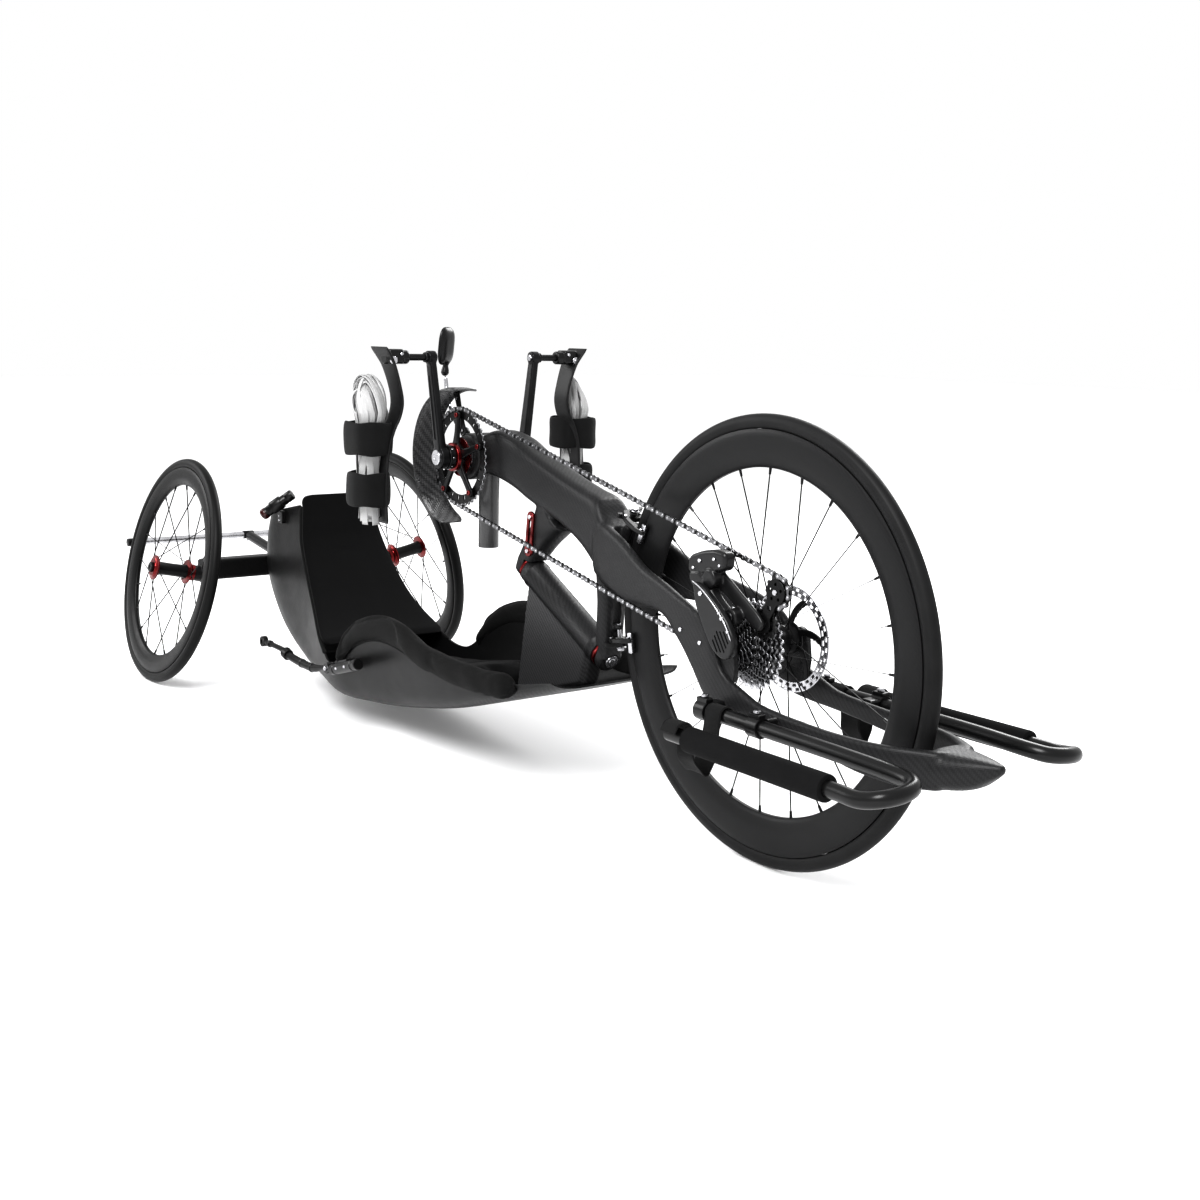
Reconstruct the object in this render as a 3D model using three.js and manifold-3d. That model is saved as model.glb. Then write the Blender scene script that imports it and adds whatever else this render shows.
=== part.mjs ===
// Racing handcycle with two cambered rear wheels, a reclined tub seat and a driven, steered front wheel.
// Millimetres. +X is forward, +Y is the rider's left, +Z is up. The drive side is -Y.
import * as THREE from 'three';
import { mergeVertices } from 'three/addons/utils/BufferGeometryUtils.js';
import Module from 'manifold-3d';

const wasm = await Module();
wasm.setup();

// Sizes that everything else hangs on
const fit = 0.3; // gap between pieces that touch
const overrun = 6; // how far a cutter runs past what it cuts
const wheelbase = 1614;
const frontWheel = {
  radius: 334, tyreWidth: 25, tyreSeat: 312, rimBore: 256, rimWidth: 25, hubWidth: 135,
  segments: 44, spokes: 24, spokeWidth: 2.2,
};
const rearWheel = {
  radius: 247.5, tyreWidth: 23, tyreSeat: 227.5, rimBore: 189, rimWidth: 22, hubWidth: 86,
  segments: 36, spokes: 20, spokeWidth: 2.2,
};
const rearTrack = 589.5; // between the wheel centres
const camberAngle = THREE.MathUtils.degToRad(12);
const bracket = { back: 789, height: 547, bore: 21, shell: 43, width: 70 }; // crank bearing seat
const headTube = { back: 615, drop: 191, length: 241, radius: 25, bore: 15 }; // drop: below the crank
const headAngle = THREE.MathUtils.degToRad(27);
const chainPlane = -48;
const chain = { pitch: 12.7, height: 8.4, waist: 5.4, outerWidth: 5.5, innerWidth: 4.4 };
const chainring = { teeth: 44, thickness: 2.4, rim: 7 };
const cassette = { teeth: [11, 12, 13, 15, 17, 19, 21, 23, 25, 28, 32], used: 4, spacing: 3.95, cog: 1.8,
  body: 17 };
const crankArm = { length: 182, splay: 22.5, foot: 89, width: 27, tipWidth: 20, thickness: 17, boss: 21 };

const P = (x, y, z) => new THREE.Vector3(x, y, z);
const axleHeight = frontWheel.radius;
const bracketX = -bracket.back;
const steerAxis = P(-Math.cos(headAngle), 0, Math.sin(headAngle));
const headTop = P(-headTube.back, 0, bracket.height - headTube.drop);
const headBottom = headTop.clone().addScaledVector(steerAxis, -headTube.length);
const steerUp = P(Math.sin(headAngle), 0, Math.cos(headAngle));
const pitchRadius = (teeth) => chain.pitch / (2 * Math.sin(Math.PI / teeth));

const rearAxle = { radius: 7.5, cap: 11, capWidth: 5 };
const rearHub = { body: 15, flange: 27, edge: 4 };

// Solids

const weldDistance = 1e-3;

// Turns a geometry into a solid, with its faces pointing outwards.
const solidOf = (geometry) => {
  const bare = geometry.clone();
  for (const name of Object.keys(bare.attributes)) {
    if (name !== 'position') bare.deleteAttribute(name);
  }
  const merged = mergeVertices(bare, weldDistance);
  const points = merged.getAttribute('position').array;
  const kept = [];
  let volume = 0;
  const all = merged.index.array;
  for (let i = 0; i < all.length; i += 3) {
    const [a, b, c] = [all[i], all[i + 1], all[i + 2]];
    if (a === b || b === c || c === a) continue;
    kept.push(a, b, c);
    const [u, v, w] = [a, b, c].map((k) => P(points[3 * k], points[3 * k + 1], points[3 * k + 2]));
    volume += u.dot(v.cross(w));
  }
  if (volume < 0) {
    for (let i = 0; i < kept.length; i += 3) [kept[i], kept[i + 1]] = [kept[i + 1], kept[i]];
  }
  return new wasm.Manifold(new wasm.Mesh({
    numProp: 3, vertProperties: Float32Array.from(points), triVerts: Uint32Array.from(kept),
  }));
};

const geometryOf = (solid) => {
  const mesh = solid.getMesh();
  const geometry = new THREE.BufferGeometry();
  geometry.setAttribute('position', new THREE.BufferAttribute(mesh.vertProperties, 3));
  geometry.setIndex(new THREE.BufferAttribute(mesh.triVerts, 1));
  const flat = geometry.toNonIndexed();
  flat.computeVertexNormals();
  return flat;
};

const join = (...parts) => parts.map((g) => (g.isBufferGeometry ? solidOf(g) : g)).reduce((a, b) => a.add(b));
const cut = (body, ...tools) => tools.map((g) => (g.isBufferGeometry ? solidOf(g) : g))
  .reduce((a, b) => a.subtract(b), body.isBufferGeometry ? solidOf(body) : body);

// A closed body through rings of equal, even count, capped flat at both ends or closed on itself.
const loft = (rings, closed = false) => {
  const count = rings[0].length;
  const points = rings.flat();
  const index = [];
  const last = closed ? rings.length : rings.length - 1;
  for (let i = 0; i < last; i += 1) {
    const next = ((i + 1) % rings.length) * count;
    for (let j = 0; j < count; j += 1) {
      const k = (j + 1) % count;
      index.push(i * count + j, i * count + k, next + k, i * count + j, next + k, next + j);
    }
  }
  if (!closed) {
    const end = (rings.length - 1) * count;
    for (let j = 0; j < count / 2 - 1; j += 1) {
      const [a, b, c, d] = [j, j + 1, count - 2 - j, count - 1 - j];
      index.push(a, c, b, a, d, c, end + a, end + b, end + c, end + a, end + c, end + d);
    }
  }
  const geometry = new THREE.BufferGeometry();
  geometry.setAttribute('position', new THREE.Float32BufferAttribute(points.flatMap((p) => p.toArray()), 3));
  geometry.setIndex(index);
  return geometry;
};

// A ring of points on a rounded rectangle, where squareness 2 is an ellipse.
const roundedRing = (middle, across, up, halfAcross, halfUp, squareness = 4, count = 12) => {
  const power = 2 / squareness;
  return Array.from({ length: count }, (_, i) => {
    const angle = (2 * Math.PI * i) / count;
    const c = Math.cos(angle);
    const s = Math.sin(angle);
    return middle.clone()
      .addScaledVector(across, halfAcross * Math.sign(c) * Math.abs(c) ** power)
      .addScaledVector(up, halfUp * Math.sign(s) * Math.abs(s) ** power);
  });
};

// A smooth value from a table of [place, value, ...] rows at a place between them.
const smooth = (table, place, column = 1) => {
  const last = table.length - 1;
  let i = 0;
  while (i < last - 1 && place > table[i + 1][0]) i += 1;
  const slope = (k) => {
    const a = table[Math.max(k - 1, 0)];
    const b = table[Math.min(k + 1, last)];
    return (b[column] - a[column]) / (b[0] - a[0]);
  };
  const span = table[i + 1][0] - table[i][0];
  const t = THREE.MathUtils.clamp((place - table[i][0]) / span, 0, 1);
  const h = (2 * t - 3) * t * t;
  return (1 + h) * table[i][column] - h * table[i + 1][column]
    + ((t - 2) * t + 1) * t * span * slope(i) + (t - 1) * t * t * span * slope(i + 1);
};

const tube = (points, radius, sides = 8, steps = 24) => {
  const section = new THREE.Shape();
  section.absarc(0, 0, radius, 0, 2 * Math.PI);
  const path = points.length > 2 ? new THREE.CatmullRomCurve3(points, false,
    'centripetal') : new THREE.LineCurve3(...points);
  return new THREE.ExtrudeGeometry(section, {
    steps: points.length > 2 ? steps : 1, curveSegments: sides / 2, extrudePath: path, bevelEnabled: false,
  });
};

// A cylinder between two points.
const rod = (from, to, radius, sides = 16, endRadius = radius) => {
  const geometry = new THREE.CylinderGeometry(endRadius, radius, from.distanceTo(to), sides);
  const turn = new THREE.Quaternion().setFromUnitVectors(P(0, 1, 0), to.clone().sub(from).normalize());
  geometry.applyQuaternion(turn);
  const middle = from.clone().add(to).multiplyScalar(0.5);
  return geometry.translate(middle.x, middle.y, middle.z);
};

const block = (middle, width, depth, height) => new THREE.BoxGeometry(width, depth, height)
  .translate(middle.x, middle.y, middle.z);

// A body turned about Y from [radius, y] pairs, with a flat facet at its foot.
const turnedAboutY = (profile, segments) => new THREE.LatheGeometry(
  profile.map(([radius, y]) => new THREE.Vector2(radius, y)), segments, Math.PI / segments);

// A plate cut from an XZ outline, between two places along Y.
const plateXZ = (shape, low, high, curveSegments = 8) => new THREE.ExtrudeGeometry(shape, {
  depth: high - low, bevelEnabled: false, curveSegments,
}).rotateX(Math.PI / 2).translate(0, high, 0);

const outline = (points) => {
  const shape = new THREE.Shape();
  points.forEach(([x, z], i) => (i ? shape.lineTo(x, z) : shape.moveTo(x, z)));
  shape.closePath();
  return shape;
};

// Finishes

const finish = (color, roughness, metalness) => ({ color, roughness, metalness });
const finishes = {
  carbon: finish(0x2b2b2c, 0.5, 0.15),
  glossCarbon: finish(0x151516, 0.25, 0.1),
  blackMetal: finish(0x141415, 0.4, 0.6),
  silver: finish(0xb9bbbd, 0.3, 0.95),
  steel: finish(0x8b8d90, 0.35, 0.95),
  red: finish(0x8e0f14, 0.3, 0.8),
  rubber: finish(0x18181a, 0.8, 0),
  rim: finish(0x2d2d2f, 0.55, 0.1),
  foam: finish(0x121213, 0.95, 0),
  cloth: finish(0x0d0d0e, 0.95, 0),
  whiteCloth: finish(0xd8d8d6, 0.9, 0),
  chainSteel: finish(0x77797c, 0.35, 0.9),
};

const bike = new THREE.Group();

const addPart = (group, name, body, look) => {
  const geometry = geometryOf(body.isBufferGeometry ? solidOf(body) : body);
  const mesh = new THREE.Mesh(geometry, new THREE.MeshStandardMaterial(finishes[look]));
  mesh.name = name;
  group.add(mesh);
  return mesh;
};

const newGroup = (parent, place = P(0, 0, 0), turn = P(0, 0, 0)) => {
  const group = new THREE.Group();
  group.position.copy(place);
  group.rotation.set(turn.x, turn.y, turn.z);
  parent.add(group);
  return group;
};

// Tub seat: one channel of carbon whose floor runs up behind the rider's back
const axleBeam = { depth: 42, height: 46, span: 452, middle: 237, corner: 6 };
const tub = {
  front: 350, low: 38, height: 362, width: 330, wall: 4, cornerTuck: 9, stations: 16,
};
const beamFace = wheelbase - axleBeam.depth / 2;
const tubLength = beamFace - fit - tub.front;
// place along the tub: floor back, floor height, rim back, rim height, floor half width, rim half width
const tubShares = [
  [0, 0, 0.46, 0.01, 0.49, 0.32, 0.4],
  [0.1, 0.115, 0.335, 0.12, 0.425, 0.4, 0.46],
  [0.22, 0.27, 0.18, 0.27, 0.44, 0.42, 0.49],
  [0.34, 0.42, 0.075, 0.415, 0.5, 0.42, 0.5],
  [0.44, 0.525, 0.025, 0.51, 0.42, 0.42, 0.5],
  [0.53, 0.615, 0, 0.6, 0.21, 0.4, 0.48],
  [0.62, 0.71, 0.02, 0.675, 0.27, 0.35, 0.42],
  [0.71, 0.81, 0.07, 0.74, 0.42, 0.31, 0.35],
  [0.8, 0.915, 0.24, 0.79, 0.6, 0.3, 0.31],
  [0.88, 0.985, 0.5, 0.825, 0.77, 0.29, 0.285],
  [0.94, 1, 0.72, 0.838, 0.89, 0.27, 0.265],
  [1, 0.995, 0.88, 0.845, 0.98, 0.25, 0.25],
];
const flatFloorShare = 0.78; // how much of the floor half width is flat
// up the wall, from rim width to floor width
const cornerShares = [[1, 0], [0.55, 0.3], [0.22, 0.75], [0.06, 1]];
const tubStation = (share) => {
  const at = (column) => smooth(tubShares, share, column);
  const place = (back, up) => P(-tub.front - tubLength * at(back), 0, tub.low + tub.height * at(up));
  const [floor, rim] = [place(1, 2), place(3, 4)];
  return {
    floor, rim, floorHalf: tub.width * at(5), rimHalf: tub.width * at(6),
      up: rim.clone().sub(floor).normalize(),
  };
};

// The right half of the channel, from its rim to its floor, drawn in by an inset.
const channelSide = (share, inset, rimRise = 0) => {
  const { floor, rim, floorHalf, rimHalf, up } = tubStation(share);
  const depth = floor.distanceTo(rim);
  const side = cornerShares.map(([rise, blend]) => {
    const tuck = blend === 1 ? tub.cornerTuck : 0;
    const half = THREE.MathUtils.lerp(rimHalf, floorHalf, blend) - tuck - inset;
    const reach = rise === 1 ? depth + rimRise : inset + rise * (depth - inset);
    return floor.clone().addScaledVector(up, reach).setY(-half);
  });
  side.push(floor.clone().addScaledVector(up, inset).setY(-floorHalf * flatFloorShare));
  return side;
};
const acrossY = (points) => points.map((p) => p.clone().setY(-p.y)).reverse();
const channelRing = (share, outset, inset, rimRise) => {
  const outer = channelSide(share, -outset, rimRise);
  const inner = channelSide(share, inset, rimRise);
  return [...outer, ...acrossY(outer), ...acrossY(inner).reverse(), ...inner.reverse()];
};
const sharesFrom = (from, to, count) => Array.from({ length: count + 1 },
  (_, i) => from + ((to - from) * i) / count);
const tubPlaces = sharesFrom(0, 1, tub.stations);
const tubEnvelope = loft(tubPlaces.map((share) => channelRing(share, fit, tub.wall + fit, fit)));
addPart(bike, 'tub_shell', loft(tubPlaces.map((share) => channelRing(share, 0, tub.wall, 0))), 'carbon');

// The room inside the channel, open upwards, which trims what stands on its floor
const tubRoom = loft(tubPlaces.filter((share) => share < 0.5).map((share) => {
  const inner = channelSide(share, tub.wall + fit);
  const above = inner[0].clone().add(P(0, 0, tub.height));
  const side = [above, ...inner];
  return [...side, ...acrossY(side)];
}));

// Steering mast: a fin that carries the slanted head tube
const mast = { width: 42, rearFoot: 640, neck: 604, frontFoot: 432, footHeight: 40, edge: 9, shoulder: 14 };
const alongHead = (distance, lift = 0) => headTop.clone().addScaledVector(steerAxis,
  -distance).addScaledVector(steerUp, lift);
const finTop = [alongHead(mast.shoulder), alongHead(headTube.length - mast.shoulder)];
const finShape = outline([
  [-mast.rearFoot, mast.footHeight], [-mast.neck, headTop.z - headTube.radius - mast.shoulder],
  ...finTop.map((p) => [p.x, p.z]), [-mast.frontFoot, mast.footHeight],
]);
const fin = new THREE.ExtrudeGeometry(finShape, {
  depth: mast.width - 2 * mast.edge, bevelThickness: mast.edge, bevelSize: mast.edge, bevelOffset: -mast.edge,
    bevelSegments: 2,
}).rotateX(Math.PI / 2).translate(0, mast.width / 2 - mast.edge, 0);
const trimmedFin = solidOf(fin).intersect(solidOf(tubRoom));
addPart(bike, 'steering_mast', cut(
  trimmedFin.add(solidOf(rod(headTop, headBottom, headTube.radius, 20))),
  rod(alongHead(-overrun), alongHead(headTube.length + overrun), headTube.bore, 20),
), 'carbon');

// Cushions that line the tub
const cushion = {
  backThickness: 40, seatThickness: 62, proud: 14, sideGap: 1.3, topReach: 26, panel: 3, rollHalfWidth: 17,
    rollHalfHeight: 25,
};
const acrossDirection = P(0, 1, 0);
const backShares = [[0.655, 0.3], [0.675, 0.86], [0.71, 1], [0.77, 1], [0.83, 1], [0.89, 1], [0.95, 0.99],
  [1, 0.96]];
const backHalf = (station) => Math.min(station.rimHalf, station.floorHalf * 1.2) - tub.wall - cushion.sideGap;
const backRing = (share, sizeShare, reach = 0) => {
  const station = tubStation(share);
  const inset = cushion.backThickness / 2 - cushion.proud;
  const beyond = station.up.clone().cross(acrossDirection).multiplyScalar(-reach);
  const middle = station.rim.clone().addScaledVector(station.up, -inset).add(beyond);
  return roundedRing(middle, acrossDirection, station.up, backHalf(station) * sizeShare,
    (cushion.backThickness / 2) * Math.sqrt(sizeShare), 3, 14);
};
addPart(bike, 'backrest_cushion', loft([
  ...backShares.map(([share, size]) => backRing(share, size)),
  backRing(1, 0.88, cushion.topReach * 0.6), backRing(1, 0.62, cushion.topReach),
]), 'cloth');
const panelRing = (share) => {
  const station = tubStation(share);
  const depth = cushion.backThickness - cushion.proud + fit + cushion.panel / 2;
  return roundedRing(station.rim.clone().addScaledVector(station.up, -depth), acrossDirection, station.up,
    backHalf(station) - cushion.sideGap, cushion.panel / 2, 8, 8);
};
const panelPlaces = backShares.slice(2).map(([share]) => share);
addPart(bike, 'seat_back_panel', loft(panelPlaces.map(panelRing)), 'carbon');
const seatRing = (share, sizeShare) => {
  const station = tubStation(share);
  const half = (cushion.seatThickness / 2) * sizeShare;
  const middle = station.floor.clone().addScaledVector(station.up,
    tub.wall + fit + cushion.seatThickness / 2);
  return roundedRing(middle, acrossDirection, station.up, station.floorHalf * 0.93 * Math.sqrt(sizeShare),
    half, 3, 14);
};
const seatShares = [[0.25, 0.5], [0.262, 0.85], [0.28, 1], [0.35, 1], [0.42, 1], [0.49, 1], [0.56, 1],
  [0.6, 0.85], [0.615, 0.5]];
addPart(bike, 'seat_cushion', loft(seatShares.map(([share, size]) => seatRing(share, size))), 'cloth');
const rollRing = (share, sizeShare, side) => {
  const station = tubStation(share);
  const middle = station.rim.clone().setY(side * (station.rimHalf - tub.wall / 2));
  return roundedRing(middle, acrossDirection, station.up, cushion.rollHalfWidth * sizeShare,
    cushion.rollHalfHeight * sizeShare, 2.4, 10);
};
const sides = [['right', -1], ['left', 1]];
const rollPlaces = tubPlaces.filter((share) => share > 0.05 && share < 0.52);
for (const [name, side] of sides) {
  const rings = rollPlaces.map((share, i) => rollRing(share, i === 0 || i === rollPlaces.length - 1 ? 0.8 : 1,
    side));
  addPart(bike, `leg_pad_${name}`, cut(loft(rings), tubEnvelope), 'cloth');
}

// Fork: one carbon moulding from the crank bracket, over the steering joint, to the nose ahead of the wheel
const fork = newGroup(bike);
const beam = { depth: 88, width: 60, crownBack: 345, crownHeight: 416 };
const beamRun = bracket.back - beam.crownBack;
const beamDrop = bracket.height - beam.crownHeight;
// along from the bracket, drop, half depth, half width
const beamShares = [
  [0.05, -0.04, 0.4, 0.44], [0.18, -0.077, 0.49, 0.48], [0.32, 0.015, 0.51, 0.5], [0.43, 0.16, 0.495, 0.5],
  [0.66, 0.41, 0.48, 0.5], [0.8, 0.585, 0.545, 0.52], [0.9, 0.75, 0.65, 0.58], [0.955, 0.93, 0.6, 0.64],
    [1, 1, 0.56, 0.68],
];
const upDirection = P(0, 0, 1);
const headBeam = loft(beamShares.map(([along, drop, halfDepth, halfWidth]) => roundedRing(
  P(bracketX + along * beamRun, 0, bracket.height - drop * beamDrop), acrossDirection, upDirection,
  halfWidth * beam.width, halfDepth * beam.depth, 4.5, 12)));
const head = rod(P(bracketX, -bracket.width / 2, bracket.height), P(bracketX, bracket.width / 2,
  bracket.height),
  bracket.shell, 22);

const blade = { thickness: 14, stance: 77, crownAhead: 51, noseBack: 365, top: 470, bottom: 205, edge: 2.6 };
const bladeCrown = frontWheel.radius + blade.crownAhead;
const bladeRun = bladeCrown + blade.noseBack;
const bladeRise = blade.top - blade.bottom;
// along from the crown, upper edge, lower edge, stance, half thickness
const bladeShares = [
  [0, 1, 0.68, 0.31, 0.93], [0.047, 0.99, 0.62, 0.41, 0.86], [0.127, 0.915, 0.57, 0.52, 0.79],
    [0.212, 0.805, 0.573, 0.65, 0.71],
  [0.304, 0.745, 0.566, 0.805, 0.64], [0.364, 0.7, 0.46, 0.9, 0.6], [0.41, 0.66, 0.343, 0.95, 0.57],
    [0.459, 0.59, 0.19, 0.985, 0.57],
  [0.487, 0.47, 0.155, 1, 0.54], [0.513, 0.35, 0.144, 1, 0.5], [0.567, 0.28, 0.132, 1, 0.5],
    [0.62, 0.232, 0.125, 1, 0.5],
  [0.768, 0.204, 0.083, 0.975, 0.5], [0.86, 0.2, 0.038, 0.9, 0.54], [0.927, 0.2, 0.012, 0.715, 0.6],
  [0.973, 0.204, 0.008, 0.47, 0.8], [1, 0.204, 0.012, 0.3, 1],
];
const bladeRow = (along) => [1, 2, 3, 4].map((column) => smooth(bladeShares, along, column));
const bladeAt = (x) => {
  const [top, bottom, stance, half] = bladeRow((x + bladeCrown) / bladeRun);
  return {
    top: blade.bottom + top * bladeRise, bottom: blade.bottom + bottom * bladeRise,
    middle: stance * blade.stance, half: half * blade.thickness,
  };
};
const bladeBody = (side) => loft(bladeShares.map(([along]) => {
  const x = along * bladeRun - bladeCrown;
  const { top, bottom, middle, half } = bladeAt(x);
  return roundedRing(P(x, side * middle, (top + bottom) / 2), acrossDirection, upDirection, half,
    (top - bottom) / 2, 4, 8);
}));
const nose = { back: 345, length: 97, halfWidth: 46, low: 207, height: 52 };
// along, half width, low edge, high edge
const noseShares = [[0, 1, 0, 1], [0.31, 0.8, 0.04, 1], [0.62, 0.54, 0.21, 0.99], [0.88, 0.26, 0.55, 0.95],
  [1, 0.1, 0.74, 0.92]];
const noseBody = loft(noseShares.map(([along, half, low, high]) => roundedRing(
  P(nose.back + along * nose.length, 0, nose.low + (nose.height * (low + high)) / 2), acrossDirection,
    upDirection,
  half * nose.halfWidth, (nose.height * (high - low)) / 2, 2.8, 10)));

// Dropouts that hold the front axle, with the gear hanger on the drive side
const dropout = { radius: 17, thickness: 8.5, foot: 40, sink: 44 };
const dropoutFace = frontWheel.hubWidth / 2 + fit;
const frontAxle = { radius: 6, head: 9, overhang: 6 };
const hanger = { ahead: 8, rise: 45, radius: 10, bolt: 4 };
const dropoutBody = (side) => {
  const [near, far] = [dropoutFace, dropoutFace + dropout.thickness].map((y) => side * y);
  const neck = outline([
    [-dropout.foot, axleHeight - dropout.sink], [dropout.foot * 0.6, axleHeight - dropout.sink
      - dropout.radius / 2],
    [dropout.radius, axleHeight], [-dropout.radius, axleHeight],
  ]);
  return join(
    plateXZ(neck, Math.min(near, far), Math.max(near, far)),
    rod(P(0, near, axleHeight), P(0, far, axleHeight), dropout.radius, 14),
  );
};
const hangerTab = join(...[[0, 0], [hanger.ahead, hanger.rise]].map(([x, rise]) => rod(
  P(x, -dropoutFace, axleHeight + rise), P(x, -dropoutFace - dropout.thickness, axleHeight + rise),
    hanger.radius, 10)),
plateXZ(outline([
  [-hanger.radius, axleHeight], [hanger.radius, axleHeight],
  [hanger.ahead + hanger.radius, axleHeight + hanger.rise], [hanger.ahead - hanger.radius,
    axleHeight + hanger.rise],
]), -dropoutFace - dropout.thickness, -dropoutFace));

// Steering joint: a foot of the fork at each end of the head tube, on a bearing, with a bolt through
const headset = { bearing: 8, foot: 17, footRadius: 23, boltRadius: 8, boltHead: 12, headHeight: 5,
  clearance: 4, pocket: 30, lip: 1 };
const footStart = headset.bearing + fit;
const feet = [
  [alongHead(-footStart), alongHead(-footStart - headset.foot)],
  [alongHead(headTube.length + footStart), alongHead(headTube.length + footStart + headset.foot)],
];
const footMiddles = feet.map(([a, b]) => a.clone().add(b).multiplyScalar(0.5));
const legBody = (points, shares, width) => loft(points.map((p, i) => {
  const before = points[Math.max(i - 1, 0)];
  const after = points[Math.min(i + 1, points.length - 1)];
  const along = after.clone().sub(before).normalize();
  return roundedRing(p, acrossDirection, along.clone().cross(acrossDirection), width * shares[i][0],
    width * shares[i][1], 3.6, 10);
}));
const stub = { width: 44, topBack: 540, topDrop: 79 };
const stubTop = P(-stub.topBack, 0, bracket.height - stub.topDrop);
const stubBody = legBody(
  [0, 0.4, 0.75, 1].map((t) => stubTop.clone().lerp(footMiddles[0], t)),
  [[0.6, 1], [0.52, 0.66], [0.48, 0.5], [0.46, 0.42]], stub.width);
const web = { width: 44, behindCrown: 29, belowCrown: 21 };
const webTop = P(-beam.crownBack - web.behindCrown, 0, beam.crownHeight - web.belowCrown);
const webBody = legBody(
  [0, 0.4, 0.75, 1].map((t) => webTop.clone().lerp(footMiddles[1], t)),
  [[0.66, 0.48], [0.54, 0.36], [0.5, 0.36], [0.46, 0.34]], web.width);
// shares of the web, from its foot to its top
const webSlot = { halfWidth: 8, lowShare: 0.39, highShare: 0.72 };
const [slotLow, slotHigh] = [webSlot.lowShare, webSlot.highShare].map((share) => footMiddles[1].z + share
  * (webTop.z - footMiddles[1].z));
const slotCutter = block(P(webTop.x, 0, (slotLow + slotHigh) / 2), web.width * 2, webSlot.halfWidth * 2,
  slotHigh - slotLow);
const headEnvelope = rod(alongHead(-footStart), alongHead(headTube.length + footStart),
  headTube.radius + headset.clearance, 14);
const post = { radius: 19, wall: 2, length: 168, ahead: 24 };
const postX = bracketX + post.ahead;
const postBody = rod(P(postX, 0, bracket.height), P(postX, 0, bracket.height - post.length), post.radius, 16);
const postBore = rod(P(postX, 0, bracket.height - bracket.shell - overrun),
  P(postX, 0, bracket.height - post.length - overrun),
  post.radius - post.wall, 16);

// Rim brakes: the angle each sits at about the wheel, and which way its bolt runs
const brake = { // pivotAbove and padBelow: from the tyre's tread
  pivotAbove: 24, padBelow: 31, padGap: 2, padHeight: 11, padLength: 34, padThickness: 8, eye: 9, arm: 8,
    bolt: 3.5,
  boltRoot: 56, boltTop: 16, boss: 8, bossStart: 20, elbow: 31.5, wing: 25,
};
const brakeSites = [['upper', THREE.MathUtils.degToRad(155), 1], ['lower', THREE.MathUtils.degToRad(190),
  -1]];
const brakeFrame = (angle) => ({
  out: P(Math.cos(angle), 0, Math.sin(angle)), along: P(-Math.sin(angle), 0, Math.cos(angle)),
});
const wheelCentre = P(0, 0, axleHeight);
const brakePivotRadius = frontWheel.radius + brake.pivotAbove;
const brakeBolt = ([, angle, way]) => {
  const { out, along } = brakeFrame(angle);
  const at = (distance) => wheelCentre.clone().addScaledVector(out, brakePivotRadius).addScaledVector(along,
    way * distance);
  return join(rod(at(brake.boltRoot), at(-brake.boltTop), brake.bolt, 10),
    rod(at(brake.boltRoot), at(brake.bossStart), brake.boss, 12));
};

const bracketBore = rod(P(bracketX, -bracket.width, bracket.height), P(bracketX, bracket.width,
  bracket.height), bracket.bore, 18);
const axleBore = rod(P(0, -bracket.width * 2, axleHeight), P(0, bracket.width * 2, axleHeight),
  frontAxle.radius + fit, 10);
const hangerBore = rod(P(hanger.ahead, -dropoutFace - dropout.thickness - overrun, axleHeight + hanger.rise),
  P(hanger.ahead, -dropoutFace + overrun, axleHeight + hanger.rise), hanger.bolt + fit * 2, 8);
const boltBore = rod(alongHead(-footStart - headset.foot - overrun),
  alongHead(headTube.length + footStart + headset.foot + overrun),
  headset.boltRadius + fit, 10);
const forkCore = cut(join(headBeam, head, stubBody, webBody, postBody), slotCutter, headEnvelope);
const forkShell = join(
  forkCore, ...feet.map(([a, b]) => rod(a, b, headset.footRadius, 14)), bladeBody(-1), bladeBody(1), noseBody,
  dropoutBody(-1), dropoutBody(1), hangerTab, ...brakeSites.map(brakeBolt),
);
const headPockets = feet.map(([, end], i) => rod(end, end.clone().addScaledVector(steerAxis,
  (i ? -1 : 1) * headset.pocket),
  headset.boltHead + headset.clearance / 2, 12));
addPart(fork, 'fork_shell', cut(forkShell, bracketBore, axleBore, hangerBore, boltBore, postBore,
  ...headPockets), 'carbon');

const bearingRing = (from, to, outer, inner) => cut(rod(from, to, outer, 16), rod(
  from.clone().lerp(to, -1), from.clone().lerp(to, 2), inner, 12));
addPart(bike, 'upper_bearing', bearingRing(alongHead(-fit), alongHead(-headset.bearing), headset.footRadius
  + headset.lip,
  headset.boltRadius + fit), 'red');
addPart(bike, 'lower_bearing', bearingRing(alongHead(headTube.length + fit),
  alongHead(headTube.length + headset.bearing),
  headset.footRadius + headset.lip, headset.boltRadius + fit), 'red');
const boltEnds = [feet[0][1], feet[1][1]];
addPart(fork, 'steering_bolt', join(
  rod(boltEnds[0].clone().addScaledVector(steerAxis, headset.headHeight),
    boltEnds[1].clone().addScaledVector(steerAxis, -headset.headHeight),
    headset.boltRadius, 10),
  ...[1, -1].map((way, i) => rod(boltEnds[i].clone().addScaledVector(steerAxis, way * fit),
    boltEnds[i].clone().addScaledVector(steerAxis, way * headset.headHeight), headset.boltHead, 12)),
), 'steel');
addPart(fork, 'front_axle', join(
  rod(P(0, -dropoutFace - dropout.thickness - frontAxle.overhang, axleHeight),
    P(0, dropoutFace + dropout.thickness + frontAxle.overhang, axleHeight), frontAxle.radius, 10),
  ...[-1, 1].map((side) => rod(P(0, side * (dropoutFace + dropout.thickness + fit), axleHeight),
    P(0, side * (dropoutFace + dropout.thickness + frontAxle.overhang), axleHeight), frontAxle.head, 10)),
), 'blackMetal');

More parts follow.
